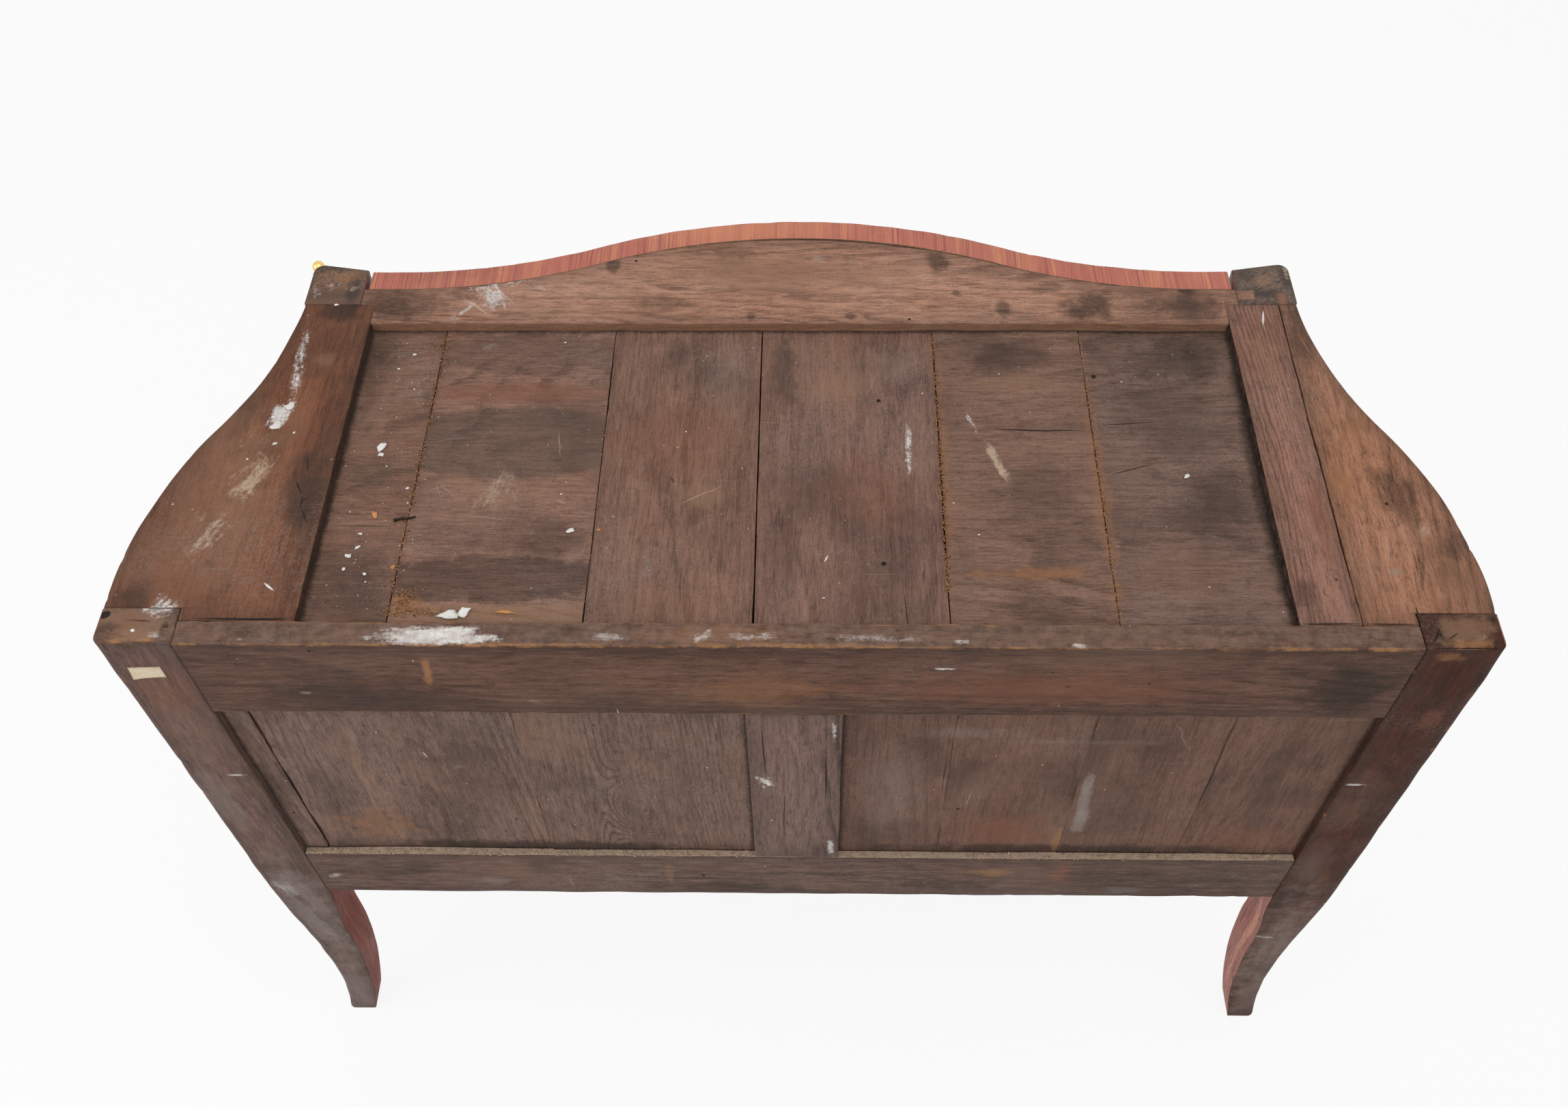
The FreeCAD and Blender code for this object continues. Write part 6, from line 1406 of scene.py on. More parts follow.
def rosettePost(side, x, z):
    # a lathe profile of radius against height, its plate scalloped and ribbed by a cosine of eight petals,
    # set square to the front; the last stretch is the round head that holds the bail
    depth, sine, cosine = hollowAt(x)
    head, reach, plate = handle["head"], handle["reach"], handle["plate"]
    ball = np.linspace(math.asin(0.0034 / head), math.pi, 12)
    radius = np.r_[
        0.004, 0.011, 0.0175, plate, plate * 1.01, plate * 0.985, 0.0182, 0.0168, 0.015, 0.013, 0.0112,
        0.0098, 0.009, 0.0084, 0.0078, 0.0066, 0.0054, 0.0046, 0.0042, 0.005, 0.0042, 0.0036, 0.0034,
        np.sin(ball[:-1]) * head]
    height = np.r_[
        0.0003, 0.0003, 0.0003, 0.0004, 0.0012, 0.0019, 0.0021, 0.0018, 0.0022, 0.0027, 0.0028, 0.0025,
        0.0022, 0.0034, 0.0047, 0.0058, 0.0064, 0.007, 0.008, 0.009, 0.01, 0.0108, 0.0118,
        reach - np.cos(ball[:-1]) * head]
    turn = np.linspace(0, 2 * math.pi, 64, endpoint=False)
    petal = np.cos(handle["petals"] * turn)[None, :]
    onPlate = np.clip((radius - 0.0085) / 0.008, 0, 1)[:, None] * (height > 0.0008)[:, None]
    spread = radius[:, None] * (1 + 0.045 * petal * np.clip((radius - 0.012) / 0.008, 0, 1)[:, None])
    lift = height[:, None] + 0.0011 * onPlate * (np.abs(np.cos(handle["petals"] / 2 * turn))[None, :] - 0.5)
    outward, level = np.array([sine * side, -cosine, 0]), np.array([cosine * side, sine, 0])
    centre = np.array([x * side, atDepth(depth), z])
    points = (centre + outward * lift[..., None] + level * (spread * np.cos(turn))[..., None]
        + np.array([0, 0, 1.0]) * (spread * np.sin(turn))[..., None])
    ends = np.stack([centre + outward * 0.0003, centre + outward * (reach + head)])
    relief = 0.45 + 0.55 * np.abs(np.cos(handle["petals"] / 2 * turn))[None, :] * onPlate
    relief = relief + 0.5 * (1 - onPlate)
    relief = np.where((radius < 0.0095)[:, None] & (height < 0.003)[:, None], 0.1, relief)
    return points, ends, relief


def polesMesh(name, parts, material, body, nodes=()):
    # several lathe-like shapes in one mesh, each a stack of rings with a point at both ends
    allPoints, quads, triangles, shine, offset = [], [], [], [], 0
    for points, ends, relief in parts:
        rows, around = points.shape[:2]
        allPoints += [points.reshape(-1, 3), ends]
        quads.append(ringFaces(rows, around, offset))
        triangles.append(endFans(rows, around) + offset)
        relief = np.broadcast_to(relief, (rows, around))
        shine += [relief.ravel(), [relief[0, 0], relief[-1, 0]]]
        offset += rows * around + 2
    return putMesh(name, np.concatenate(allPoints), np.concatenate(quads), np.concatenate(triangles),
        material, body, nodes, {"relief": np.concatenate(shine)})


def eyeAt(x, side):
    depth, sine, cosine = hollowAt(x)
    return np.array([(x + handle["reach"] * sine) * side, atDepth(depth) - handle["reach"] * cosine])


for level, z in handle["heights"].items():
    inner, outer = handle["centre"] - handle["span"] / 2, handle["centre"] + handle["span"] / 2
    posts = [rosettePost(side, x, z) for side in (1, -1) for x in (inner, outer)]
    posts[2:] = [(points[:, ::-1], ends, relief[:, ::-1]) for points, ends, relief in posts[2:]]
    polesMesh(f"{level}_rosettes", posts, gilt, f"{level}_drawer",
        [f"{level}_handle_plates"])
    for side, word in sides:
        start, stop = eyeAt(inner, side), eyeAt(outer, side)
        middle, half = (start + stop) / 2, np.linalg.norm(stop - start) / 2
        way = (stop - start) / (2 * half)
        tip, arm = half - 0.0057, half - 0.0092
        right = [
            (tip, 0), (tip - 0.0016, 0), (arm, -0.001), (arm - 0.0008, -0.006), (arm + 0.0016, -0.016),
            (arm + 0.001, -0.028), (arm - 0.006, -0.0385), (arm - 0.0165, -0.0425), (arm - 0.0275, -0.04),
            (arm - 0.035, -0.0415), (0.0035, -0.044)]
        bend = smoothPath([(-s, drop) for s, drop in right] + right[::-1], 150)
        path = np.stack([middle[0] + bend[:, 0] * way[0], middle[1] + bend[:, 0] * way[1], z + bend[:, 1]],
            -1)
        run = np.abs(bend[:, 0])
        low = bend[:, 1] < -0.03
        knop = np.exp(-(run / 0.0042) ** 2) + 0.45 * np.exp(-((run - 0.0105) / 0.0014) ** 2)
        leaf = np.exp(-((bend[:, 1] + 0.03) / 0.005) ** 2) * (run > 0.02)
        radii = handle["rod"] * (1 - 0.18 * (bend[:, 1] > -0.004))
        radii = radii + low * knop * (handle["knop"] - handle["rod"]) + 0.0007 * leaf
        shine = 0.75 + 0.25 * knop - 0.5 * np.exp(-((run - 0.0078) / 0.001) ** 2) * low
        tubeMesh(f"{level}_{word}_bail_cast", path, radii, 16, gilt, f"{level}_{word}_bail",
            [f"{level}_{word}_bail"], shine)
print("stage: bail handles cast")

escutcheon = {
    "upper": 0.7354, "lower": 0.5284, "keyholeRise": 0.0396,
    "outline": [
        (0, 0), (2.4, 2.5), (4.6, 8), (7.5, 14), (11.5, 18.5), (12.8, 23.5), (10.4, 28), (12.2, 33),
        (17.2, 36.5), (19.8, 43), (18.6, 50), (13.6, 54), (9.6, 54.5), (8.8, 59.5), (5.0, 64.5), (0, 66.5)]}


def loopFaces(rows, around):  # quads of a grid closed both ways, like a ring's skin
    row, here = np.arange(rows)[:, None] * around, np.arange(around)[None, :]
    below, following = (row + around) % (rows * around), (here + 1) % around
    return np.stack([row + here, row + following, below + following, below + here], -1).reshape(-1, 4)


def castEscutcheon(level):
    # a sheet drawn between the keyhole's rim and a scrolled outline; its height is a raised lip round each,
    # a hollow between them and fluted lobes; it closes behind on the front
    low = escutcheon[level]
    half = np.array(escutcheon["outline"], float) * 0.001
    outline = np.concatenate([half, (half * [-1, 1])[-2:0:-1]])
    outer = smoothPath(outline, 192, closed=True) + [0, low]
    turn = np.linspace(-math.pi / 2, 1.5 * math.pi, 192, endpoint=False)
    slot = 0.0026 + 0.0052 * np.clip(-np.sin(turn), 0, 1) ** 12
    hole = np.stack([np.cos(turn) * np.where(np.sin(turn) < -0.6, 0.0021, 0.0026), slot * np.sin(turn)], -1)
    hole = hole + [0, low + escutcheon["keyholeRise"]]
    share = np.r_[np.linspace(0, 1, 26), 1.0, 0.5, 0.0]
    front = share[:26]
    bearing = np.arctan2(outer[:, 1] - low - 0.038, outer[:, 0])
    lobes = np.abs(np.cos(5 * bearing))[None, :]
    lip = np.exp(-((front - 0.1) / 0.06) ** 2) + 0.9 * np.exp(-((front - 0.86) / 0.08) ** 2)
    rise = 0.0009 + 0.0016 * lip[:, None] + 0.0013 * np.exp(-((front - 0.52) / 0.2) ** 2)[:, None] * lobes
    rise *= np.clip((1 - front) / 0.05, 0.25, 1)[:, None]
    height = np.concatenate([rise, np.full((3, 192), -0.0002)])
    plan = hole[None] * (1 - share[:, None, None]) + outer[None] * share[:, None, None]
    points = np.stack([plan[..., 0], frontY(plan[..., 0]) - height, plan[..., 1]], -1)
    relief = np.concatenate([np.clip(rise / 0.0026, 0, 1), np.full((3, 192), 0.2)])
    putMesh(f"{level}_escutcheon_cast", points.reshape(-1, 3), loopFaces(*points.shape[:2]), [], gilt,
        f"{level}_drawer", [f"{level}_escutcheon"], {"relief": relief})
    # a near-black plate just behind the keyhole: painted shade standing in for the open hole
    middle = low + escutcheon["keyholeRise"] - 0.0015
    spec = {
        "along": "z", "span": (middle - 0.0075, middle + 0.006), "a": (-0.0042, 0.0042),
        "b": (float(frontY(np.zeros(1))[0]) - 0.0003, float(frontY(np.zeros(1))[0]) + 0.0006),
        "edge": 0.0002, "end": 0.0004, "steps": (6, 3, 2), "wobble": (0, 0.1), "nick": 0.0}
    sweptBlock(f"{level}_keyhole_painted_shade", spec, holeShade, body=f"{level}_drawer")


# the keyhole plate's near-black colour is painted shade
holeShade, holeTree, holeShader = startMaterial("keyhole_shade")
holeTone = holeTree.mixed(holeTree.noise(holeTree.place(), 600, 2), (0.006, 0.005, 0.004),
    (0.02, 0.014, 0.01))
dress(holeTree, holeShader, colour=holeTone, rough=0.9)
for level in ("upper", "lower"):
    castEscutcheon(level)
print("stage: escutcheons cast")

shell = {"middle": (0.0, 0.389), "half": (0.0515, 0.0455), "flutes": 9}


def castShell():
    # a fan of flutes: distance from the hinge by bearing, the rim scalloped and the flutes swelling between
    # hollows; a scroll stands over the hinge; the sheet closes behind on the apron
    bearing = np.linspace(-0.08, math.pi + 0.08, 150)
    share = np.r_[np.linspace(0.02, 1, 26), 1.0, 0.02]
    flute = np.abs(np.sin(shell["flutes"] * bearing / 2))[None, :]
    reach = 1 + 0.06 * (flute - 0.6)
    x = shell["half"][0] * np.cos(bearing)[None, :] * share[:, None] * reach
    z = shell["middle"][1] - shell["half"][1] * np.sin(bearing)[None, :] * share[:, None] * reach
    front = share[:26, None]
    rise = 0.0012 + 0.0036 * np.sin(math.pi * np.clip(front, 0, 1) ** 0.8) * (0.25 + 0.75 * flute)
    rise = rise + 0.0022 * np.exp(-((front - 0.93) / 0.05) ** 2) + 0.0045 * np.exp(-(front / 0.13) ** 2)
    rise = rise * np.clip((1 - front) / 0.03, 0.2, 1)
    height = np.concatenate([rise, np.full((2, len(bearing)), -0.0002)])
    points = np.stack([x, frontY(x) - height, np.minimum(z, 0.3916)], -1)
    relief = np.concatenate([np.clip(rise / 0.0048, 0, 1), np.full((2, len(bearing)), 0.2)])
    rows, around = points.shape[:2]
    points, relief = points.transpose(1, 0, 2), relief.T
    flat = np.concatenate([points.reshape(-1, 3), points[:1].mean(1), points[-1:].mean(1)])
    putMesh("apron_shell_cast", flat, ringFaces(around, rows), endFans(around, rows), gilt, "carcase",
        ["apron_mount"], {"relief": np.r_[relief.ravel(), 0.3, 0.3]})


castShell()

chute = {
    "length": 0.128, "corner": 0.009, "outerX": case["frontOuter"], "front": case["postFront"],
    "top": {1: 0.824, -1: 0.813}, "bead": 0.0058,
    "outline": [
        (0.00, 0.0085), (0.05, 0.0125), (0.12, 0.0158), (0.18, 0.0162), (0.27, 0.0135), (0.36, 0.0098),
        (0.46, 0.0082), (0.54, 0.01), (0.61, 0.0116), (0.68, 0.0104), (0.78, 0.0078), (0.89, 0.0048),
        (1.00, 0.0016)]}


def castChute(side, word):
    # a leaf bent round the post's corner: across is an arc length from the arris, running on flat past the
    # corner; a mid rib, curled veins and a lobed edge make its height; it closes behind on the post
    down = np.linspace(0, 1, 90)
    shape = np.array(chute["outline"])
    half = np.interp(down, shape[:, 0], shape[:, 1]) * (1 + 0.07 * np.sin(down * 2 * math.pi * 9))
    across = np.linspace(-1, 1, 41)
    share = np.r_[across, across[::-1]]
    isFront = np.r_[np.ones(41), np.zeros(41)][None, :]
    a = half[:, None] * share[None, :]
    veins = 0.5 + 0.5 * np.cos(2 * math.pi * (down[:, None] * 11 - 1.6 * np.abs(share)[None, :]))
    rise = 0.0012 + 0.003 * np.exp(-(share / 0.22) ** 2)[None, :]
    rise = rise + 0.0015 * veins * (1 - np.abs(share)[None, :] ** 3)
    rise += 0.0016 * np.exp(-((down - 0.58) / 0.05) ** 2)[:, None] * (1 - share[None, :] ** 2)
    rise = rise * np.clip((1 - np.abs(share)) / 0.08, 0.15, 1)[None, :]
    height = np.where(isFront > 0, rise, -0.0003)
    corner = chute["corner"]
    bend = np.clip(a / corner, -math.pi / 4, math.pi / 4)
    straight = a - bend * corner
    angle = bend - math.pi / 4
    outX, outY = np.cos(angle), np.sin(angle)
    x = chute["outerX"] - corner + outX * (corner + height) - outY * straight
    y = atDepth(chute["front"]) + corner + outY * (corner + height) + outX * straight
    y = y + 0.17 * np.clip(-straight, 0, 1)  # the slanted front falls back from the arris
    z = chute["top"][side] - 0.004 - down[:, None] * (chute["length"] - 0.004) + 0 * a
    points = np.stack([x * side, y, z], -1)
    relief = np.where(isFront > 0, np.clip(rise / 0.0042, 0, 1), 0.2)
    radius = chute["bead"]
    centre = np.array([0.4606 * side, -0.1868, chute["top"][side] - radius])
    bead = centre + radius * globeRings(15, 26)
    poles = centre + radius * np.array([[0, 0, 1.0], [0, 0, -1.0]])
    leafEnds = np.stack([points[0].mean(0), points[-1].mean(0)])
    if side < 0:
        points, relief = points[:, ::-1], relief[:, ::-1]
    polesMesh(f"corner_chute_{word}_cast",
        [(points, leafEnds, relief), (bead[:, ::-1], poles, np.full(bead.shape[:2], 0.95))], gilt,
        "carcase", [f"corner_chute_{word}"])


sabot = {"grow": 0.0026, "wing": 0.036, "peak": 0.08}


def castSabot(side, word):
    # a sleeve over the foot, its top edge sweeping up to a point on the arris: each point's height is
    # rescaled by how near the arris it lies, and its place in the leg's section is kept
    grow = sabot["grow"]

    def middles(z):
        z = np.maximum(z, 0.003)
        innerX, outerX, innerD, outerD = postInnerX(z), postOuterX(z), postInnerDepth(z), postOuterDepth(z)
        return ((innerX + outerX) / 2, (outerX - innerX) / 2 + grow, atDepth((innerD + outerD) / 2),
            (outerD - innerD) / 2 + grow)

    def trim(points):
        midX, halfX, midY, halfY = middles(points[:, 2])
        shareX, shareY = (np.abs(points[:, 0]) - midX) / halfX, (points[:, 1] - midY) / halfY
        near = np.clip((shareX - shareY) / 2, -1, 1)
        top = sabot["wing"] + (sabot["peak"] - sabot["wing"]) * np.clip((near + 0.35) / 1.35, 0, 1) ** 2.2
        z = points[:, 2] * top / sabot["peak"]
        midX, halfX, midY, halfY = middles(z)
        up = z / top
        swell = 0.0016 * np.exp(-((up - 0.93) / 0.05) ** 2) + 0.0011 * np.exp(-((up - 0.12) / 0.09) ** 2)
        flute = 0.0007 * np.cos(14 * np.arctan2(shareY, shareX)) * np.clip(up * 2 - 0.5, 0, 1) * (up < 0.9)
        length = np.maximum(np.hypot(shareX, shareY), 1e-6)
        push = (swell + flute) * np.clip(length, 0, 1)
        return np.stack([
            side * (midX + shareX * halfX + push * shareX / length),
            midY + shareY * halfY + push * shareY / length, z], -1)

    spec = {
        "along": "z", "span": (0.0, sabot["peak"]), "steps": (60, 20, 20),
        "edge": (0.002, 0.008, 0.003, 0.002), "bend": 6, "wobble": (0, 0.1), "nick": 0.0, "end": 0.001,
        "a": (lambda z: middles(z)[0] - middles(z)[1], lambda z: middles(z)[0] + middles(z)[1]),
        "b": (lambda z: middles(z)[2] - middles(z)[3], lambda z: middles(z)[2] + middles(z)[3]),
        "shape": trim}
    piece = sweptBlock(f"sabot_{word}_cast", spec, gilt, [f"sabot_{word}"])
    place = np.zeros(len(piece.data.vertices) * 3, np.float32)
    piece.data.vertices.foreach_get("co", place)
    x, y, z = place.reshape(-1, 3).T
    midX, halfX, midY, halfY = middles(z)
    around = np.arctan2((y - midY) / halfY, (np.abs(x) - midX) / halfX)
    rimmed = np.exp(-(z / 0.007) ** 2)
    relief = piece.data.attributes.new("relief", "FLOAT", "POINT")
    relief.data.foreach_set("value",
        (0.55 + 0.35 * np.cos(14 * around) * (1 - rimmed) + 0.35 * rimmed).astype(np.float32))


for side, word in sides:
    castChute(side, word)
    castSabot(side, word)
print("stage: corner mounts and sabots cast")

# what lies on the top: plaster flakes, chips, worm dust, a twig; and a paper sticker on a post


def scatter(name, lumps, material, rings, around, seed):
    # many small lumps in one mesh: each is a globe whose rings are pushed in and out at random, flattened
    # to its half sizes, turned about the upright and set down on the wood
    rng = np.random.default_rng(seed)
    lumps = np.asarray(lumps, float)
    count, per = len(lumps), rings * around
    globe = globeRings(rings, around)
    ragged = rng.uniform(0.55, 1.15, (count, 1, around, 1))
    ragged = ragged * rng.uniform(0.9, 1.1, (count, rings, around, 1))
    poles = np.broadcast_to([[0, 0, 0.9], [0, 0, -0.9]], (count, 2, 3))
    shape = np.concatenate([(globe[None] * ragged).reshape(count, per, 3), poles], 1) * lumps[:, None, 3:6]
    turn = lumps[:, 6:7]
    placed = np.stack([
        shape[..., 0] * np.cos(turn) - shape[..., 1] * np.sin(turn),
        shape[..., 0] * np.sin(turn) + shape[..., 1] * np.cos(turn), shape[..., 2]], -1)
    lift = np.stack([0 * lumps[:, 5], 0 * lumps[:, 5], lumps[:, 5] * 0.8], -1)
    placed += lumps[:, None, :3] + lift[:, None]
    caps = endFans(rings, around)[:, [0, 2, 1]]
    offset = (np.arange(count) * (per + 2))[:, None, None]
    quads = ringFaces(rings, around)[None, :, ::-1] + offset
    shade = np.repeat(rng.uniform(0, 1, count), per + 2)
    return putMesh(name, placed.reshape(-1, 3), quads.reshape(-1, 4), (caps[None] + offset).reshape(-1, 3),
        material, "carcase", (), {"shade": shade})


def grainMaterial(name, dark, light, dirt):
    material, tree, shader = startMaterial(name)
    plain = tree.place()
    colour = tree.mixed(tree.attribute("shade"), dark, light)
    rough = tree.noise(plain, 700, 4, 0.7)
    colour = tree.coat(colour, tree.smooth(rough, 0.5, 0.72), dirt, "grime")
    dress(tree, shader, (rough, 0.5, 0.0004), colour=colour, rough=tree.timesPlus(rough, 0.2, 0.7),
        specular=0.15)
    return material


boardTop, frameLevel = 0.8158, 0.8248
flakes = {  # x, y, half length, half width in mm, and the turn in degrees
    "board": [
        (360, 38, 5.5, 3.2, 70), (359, 47, 3.4, 2.6, 20), (350, -73, 2.2, 1.5, 10), (361, -55, 1.4, 1.0, 0),
        (361, 133, 1.8, 1.4, 0), (361, 147, 2.6, 1.8, 30), (367, 156, 3.2, 2.2, 0),
        (368, 169, 2.0, 1.4, 80), (350, 174, 1.8, 1.6, 0), (348, 182, 1.0, 0.8, 0),
        (276, 214, 9.0, 5.0, 10), (263, 211, 6.0, 4.4, 75), (186, 129, 3.4, 2.0, 20),
        (-332, 69, 3.6, 2.4, 60), (330, 84, 1.6, 1.2, 40), (327, 100, 1.0, 0.8, 0), (343, -30, 1.0, 0.8, 0),
        (213, -88, 1.2, 0.9, 0), (198, 90, 1.3, 0.8, 30), (96, 20, 0.9, 0.7, 0), (-24, 196, 1.4, 1.0, 0),
        (-152, 132, 1.0, 0.8, 0), (-290, -40, 1.0, 0.7, 0), (374, 110, 0.9, 0.7, 0),
        (352, 60, 0.8, 0.7, 0)],
    "frame": [
        (446, -1, 5.2, 3.8, 60), (453, 22, 5.4, 4.2, 30), (458, 12, 2.2, 1.6, 10), (450, 42, 2.4, 1.6, 20),
        (436, 30, 1.6, 1.0, 80), (520, 236, 2.4, 1.6, 0), (430, -128, 2.2, 1.4, 0), (470, 60, 1.2, 0.9, 0)],
    "chip": [
        (353, 113, 4.2, 2.4, -60), (328, 167, 2.6, 1.6, 60), (230, 211, 8.5, 1.6, -3),
        (163, 128, 1.6, 1.2, 0), (102, 38, 1.6, 0.8, 40)]}


def flakeRows(group, level, thick):
    rows = np.array(flakes[group], float)
    return np.column_stack([
        rows[:, :2] * 0.001, np.full(len(rows), level), rows[:, 2:4] * 0.00115,
        np.full(len(rows), thick) * np.clip(rows[:, 3] / 2.5, 0.6, 1.2), np.radians(rows[:, 4])])


plasterFlake = grainMaterial("plaster_flakes", (0.72, 0.68, 0.62), (0.86, 0.84, 0.8), 0.25)
scatter("plaster_flakes_on_planks", flakeRows("board", boardTop - 0.0004, 0.0007), plasterFlake, 4, 11, 201)
scatter("plaster_flakes_on_frame", flakeRows("frame", frameLevel - 0.0002, 0.0007), plasterFlake, 4, 11,
    202)
scatter("wood_chips", flakeRows("chip", boardTop - 0.0003, 0.0007),
    grainMaterial("chip_wood", (0.5, 0.2, 0.06), (0.66, 0.32, 0.12), 0.3), 4, 11, 203)
wormDust = {  # joint x, from y, to y, how many grains, spread across; all in metres
    "half": (0.00028, 0.00082),
    "joints": [
        (0.3242, -0.1, -0.08, 40, 0.004), (0.3242, -0.1, 0.215, 520, 0.0013),
        (-0.1239, -0.1, 0.19, 620, 0.0013), (-0.2571, -0.1, 0.224, 760, 0.0016),
        (0.314, 0.188, 0.216, 190, 0.006), (0.3, 0.207, 0.215, 90, 0.0105),
        (0.1672, -0.09, 0.21, 40, 0.0012)]}
halfTurn = 3.1


def grainRows(x, y, level, half, shape, rng):  # rows for scatter: place, half sizes and a turn drawn last
    return np.column_stack([
        x, y, np.full(len(half), level), *[half * part for part in shape],
        rng.uniform(0, halfTurn, len(half))])


rng = np.random.default_rng(210)
grains = []
for x, low, high, number, spread in wormDust["joints"]:
    half = rng.uniform(*wormDust["half"], number)
    across, along = x + rng.normal(0, spread, number), rng.uniform(low, high, number)
    grains.append(grainRows(across, along, boardTop - 0.0005, half, (1.3, 1, 0.8), rng))
scatter("worm_dust", np.concatenate(grains),
    grainMaterial("worm_dust_grains", (0.105, 0.048, 0.023), (0.5, 0.25, 0.105), 0.3), 3, 6, 211)
ledge = {
    "count": 900, "half": (0.0004, 0.0011), "x": (0.043, 0.484), "y": 0.2425, "deep": 0.0062, "z": 0.4436}
ledgeRng = np.random.default_rng(213)
half = ledgeRng.uniform(*ledge["half"], ledge["count"])
isLeft = ledgeRng.uniform(0, 1, ledge["count"]) < 0.5
leftX = ledgeRng.uniform(-ledge["x"][1], -ledge["x"][0], ledge["count"])
across = np.where(isLeft, leftX, ledgeRng.uniform(*ledge["x"], ledge["count"]))
along = ledge["y"] + ledge["deep"] * ledgeRng.uniform(0, 1, ledge["count"]) ** 1.3
scatter("ledge_dust", grainRows(across, along, ledge["z"], half, (1.4, 1, 0.7), ledgeRng),
    grainMaterial("ledge_dust_grains", (0.27, 0.19, 0.132), (0.56, 0.43, 0.32), 0.25), 3, 6, 214)
crumbs = {"half": (0.00025, 0.00055), "fields": [(-0.385, 0.39, 90), (0.31, 0.39, 60)], "y": (-0.098, 0.22)}
spots = [
    (rng.uniform(*reach, number), rng.uniform(*crumbs["y"], number)) for *reach, number in crumbs["fields"]]
across, along = np.concatenate(spots, 1)
half = rng.uniform(*crumbs["half"], len(across))
scatter("plaster_crumbs", grainRows(across, along, boardTop - 0.0006, half, (1.2, 1, 0.8), rng),
    plasterFlake, 3, 6, 212)
twig = {
    "run": [
        (0.3355, 0.1195, 0.0007), (0.33, 0.1175, 0.001), (0.324, 0.118, 0.001), (0.3175, 0.1155, 0.0008)],
    "radius": (0.0014, 0.0007), "knots": 17, "steps": 24}
twigPath = smoothPath([(x, y, boardTop + z) for x, y, z in twig["run"]], twig["steps"])
knotty = 1 + 0.15 * np.sin(np.linspace(0, twig["knots"], twig["steps"]))
tubeMesh("twig_on_plank", twigPath, np.linspace(*twig["radius"], twig["steps"]) * knotty, 8,
    grainMaterial("twig_bark", (0.03, 0.02, 0.015), (0.075, 0.048, 0.034), 0.4), "carcase")
print("stage: dust, flakes and twig scattered")

sticker = {"x": (0.5065, 0.5335), "z": (0.7765, 0.792), "curl": 0.0016, "slope": -0.05}


def curlSticker(points):  # the paper leans a little, and one lower corner lifts off the post
    share = (points[:, 0] - sticker["x"][0]) / (sticker["x"][1] - sticker["x"][0])
    rise = (points[:, 2] - sticker["z"][0]) / (sticker["z"][1] - sticker["z"][0])
    points[:, 2] += sticker["slope"] * (points[:, 0] - sticker["x"][0])
    points[:, 1] += sticker["curl"] * np.clip(share * 1.3 - rise * 0.9 - 0.2, 0, 1) ** 2
    return points


def paperMaterial(name):  # yellowed paper, soiled towards its edges
    material, tree, shader = startMaterial(name)
    plain = tree.place()
    fibres = tree.noise(plain, 800, 4, 0.7)
    colour = tree.mixed(tree.smooth(fibres, 0.35, 0.7), (0.7, 0.57, 0.4), "paper")
    aged = tree.smooth(tree.noise(plain, 130, 5, 0.65), 0.5, 0.7)
    colour = tree.coat(colour, aged, 0.55, "paperDirt")
    soiled = tree.smooth(tree.times(tree.attribute("edge"), fibres), 0.3, 0.6)
    colour = tree.coat(colour, soiled, 0.5, (0.25, 0.16, 0.09))
    dress(tree, shader, (fibres, 0.3, 0.0003), colour=colour, rough=tree.timesPlus(aged, 0.1, 0.75))
    return material


sweptBlock("blank_sticker", {
    "along": "x", "span": sticker["x"], "a": (0.2488, 0.2495), "b": sticker["z"], "edge": 0.0001,
    "end": 0.0001, "steps": (30, 3, 16), "wobble": (0.0001, 0.02), "nick": 0.0, "seed": 220,
    "shape": curlSticker}, paperMaterial("sticker_paper"))
print("stage: sticker laid on")

# pieces that keep their CAD shape
innerTones = {
    "drawer": ((0.26, 0.15, 0.088), (0.51, 0.32, 0.2), (0.64, 0.43, 0.285)),
    "frame": ((0.095, 0.056, 0.04), (0.2, 0.12, 0.085), (0.29, 0.185, 0.135))}
innerGrains = {
    "side": "yzx", "back": "xzy", "bottom": "xyz", "rail": "xyz", "runner": "yxz", "dust": "xyz",
    "guides": "yzx"}
innerWoods = {}
for nodeName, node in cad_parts.items():
    isDrawer = "_drawer_" in nodeName and "front" not in nodeName
    isFrame = nodeName.startswith(("middle_", "bottom_")) or nodeName == "drawer_guides"
    if isDrawer or isFrame:
        part = nodeName.split("_drawer_")[-1].split("_")[0] if isDrawer else nodeName.split("_")[1]
        tones = "drawer" if isDrawer else "frame"
        key = (tones, part)
        if key not in innerWoods:
            number = len(innerWoods)
            innerWoods[key] = oakMaterial(f"inner_oak_{tones}_{part}", {
                "grain": innerGrains[part], "shift": (0.7 * number, 0.23 * number, 0),
                "pith": (0.1 + 0.23 * number, 0.35), "ringGap": 0.007, "tilt": 0.04,
                "colours": innerTones[tones], "grime": 0.25, "dust": 0.2, "worm": 0.002})
        node.material_slots[0].material = innerWoods[key]
    elif nodeName.endswith(("_lock", "_bolt")):
        node.material_slots[0].material = iron
print("stage: inner woods and locks coloured")

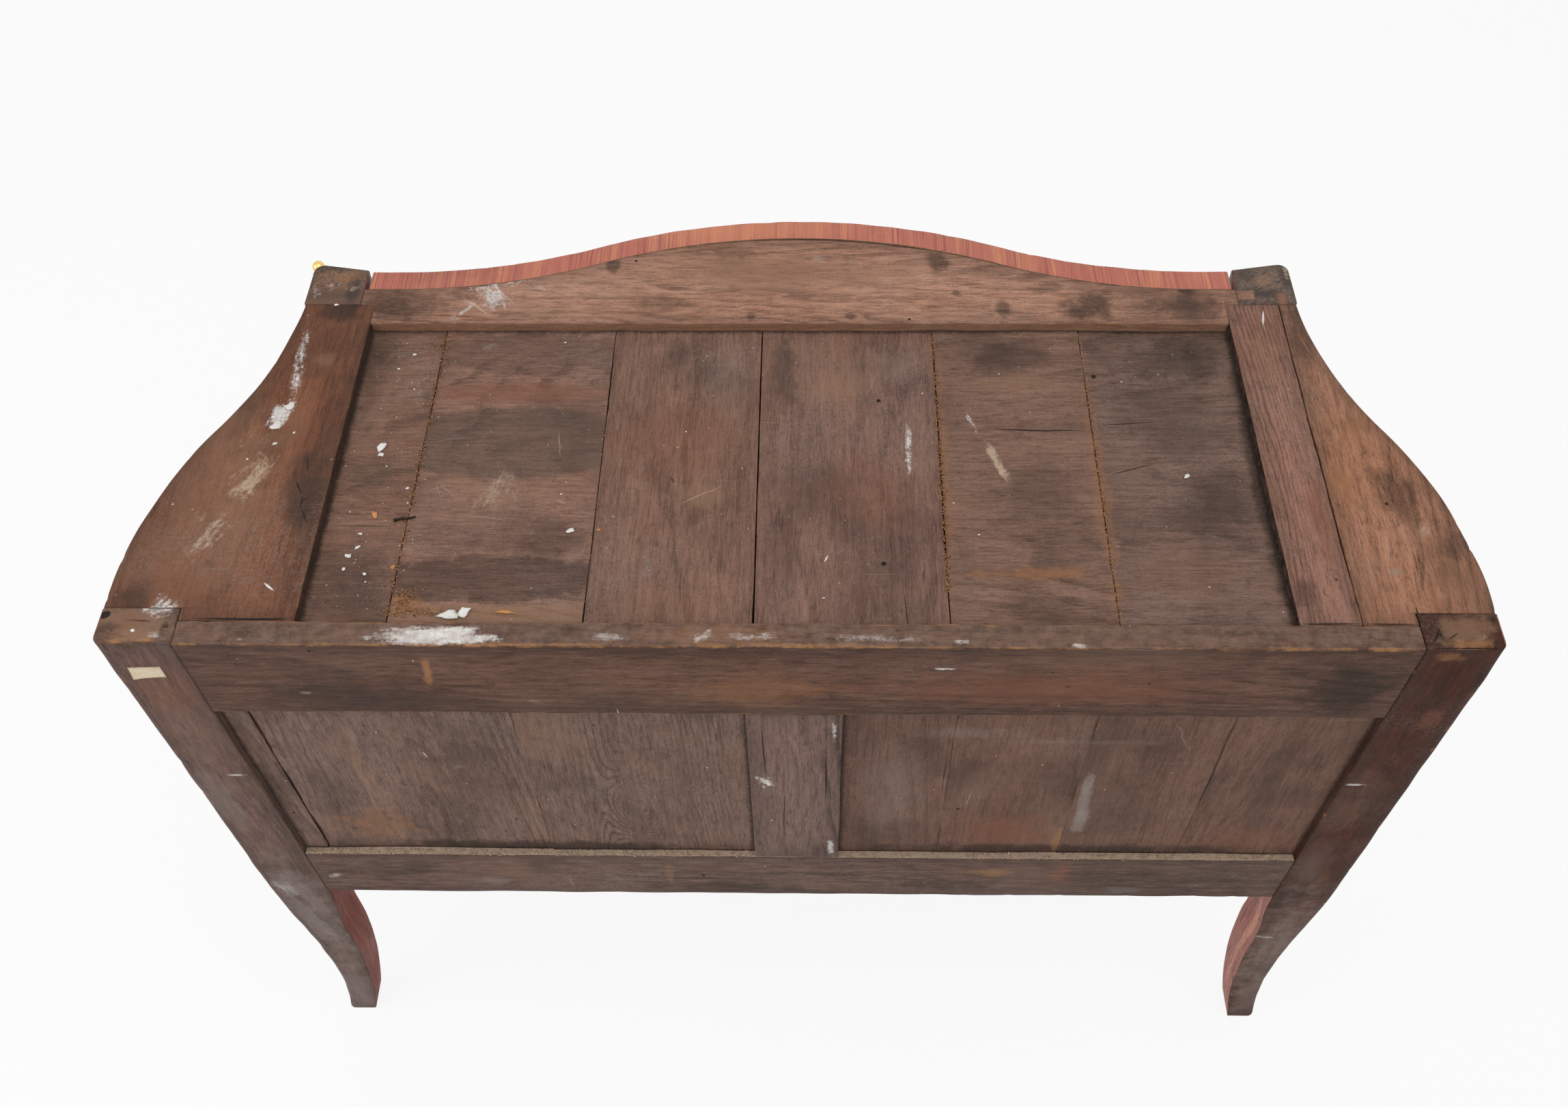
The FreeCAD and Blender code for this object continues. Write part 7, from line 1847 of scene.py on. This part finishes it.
# pale floor, soft light and the photo's camera
floorMesh = bpy.data.meshes.new("floor")
floorMesh.from_pydata([(-30, -30, 0), (30, -30, 0), (30, 30, 0), (-30, 30, 0)], [], [(0, 1, 2, 3)])
floor = bpy.data.objects.new("floor", floorMesh)
bpy.context.scene.collection.objects.link(floor)
floorPaint = bpy.data.materials.new("floor_paint")
floorPaint.use_nodes = True
floorTree = shaderTree(floorPaint.node_tree)
floorTree.nodes.clear()
chalky = floorTree.add("ShaderNodeBsdfDiffuse", {"Color": (0.9, 0.9, 0.9, 1)})
glow = floorTree.add("ShaderNodeEmission", {"Color": (1, 1, 1, 1), "Strength": 1.0})
seen = floorTree.times(floorTree.directRays(), 0.88)
blend = floorTree.add("ShaderNodeMixShader", {0: seen, 1: chalky.outputs[0], 2: glow.outputs[0]})
floorTree.add("ShaderNodeOutputMaterial", {"Surface": blend.outputs[0]})
floorMesh.materials.append(floorPaint)

world = bpy.data.worlds.new("studio")
bpy.context.scene.world = world
world.use_nodes = True
sky = shaderTree(world.node_tree)
skyBack = sky.nodes["Background"]
skyBack.inputs["Color"].default_value = (1, 1, 1, 1)
sky.link(sky.between(sky.directRays(), 0.55, 1.0), skyBack.inputs["Strength"])


def softBox(name, at, aim, size, power):
    data = bpy.data.lights.new(name, "AREA")
    data.shape, data.size, data.energy = "SQUARE", size, power
    lamp = bpy.data.objects.new(name, data)
    lamp.location = at
    lamp.rotation_euler = (Vector(aim) - Vector(at)).to_track_quat("-Z", "Y").to_euler()
    bpy.context.scene.collection.objects.link(lamp)


softBox("overhead_box", (-0.5, 1.0, 3.4), (0, 0, 0.7), 3.0, 34)
softBox("side_box", (2.8, 1.2, 1.9), (0, 0, 0.5), 2.0, 30)
bpy.context.scene.view_settings.view_transform = "Standard"

view = {
    "pitch": 53.5415, "yaw": -1.92255, "roll": 1.35315, "at": (-0.01535, 0.86513, 1.78159), "lens": 33.67}
pitch, yaw, roll = [math.radians(view[key]) for key in ("pitch", "yaw", "roll")]
forward = Vector((-math.sin(yaw) * math.cos(pitch), -math.cos(yaw) * math.cos(pitch), -math.sin(pitch)))
right = Vector((-math.cos(yaw), math.sin(yaw), 0))
down = forward.cross(right)
right, down = math.cos(roll) * right + math.sin(roll) * down, math.cos(roll) * down - math.sin(roll) * right
cameraData = bpy.data.cameras.new("photo_camera")
cameraData.lens, cameraData.sensor_width, cameraData.sensor_fit = view["lens"], 36.0, "HORIZONTAL"
camera = bpy.data.objects.new("photo_camera", cameraData)
turning = Matrix((right, -down, -forward)).transposed().to_4x4()
camera.matrix_world = Matrix.Translation(view["at"]) @ turning
bpy.context.scene.collection.objects.link(camera)
bpy.context.scene.camera = camera
print("stage: floor, light and camera placed")
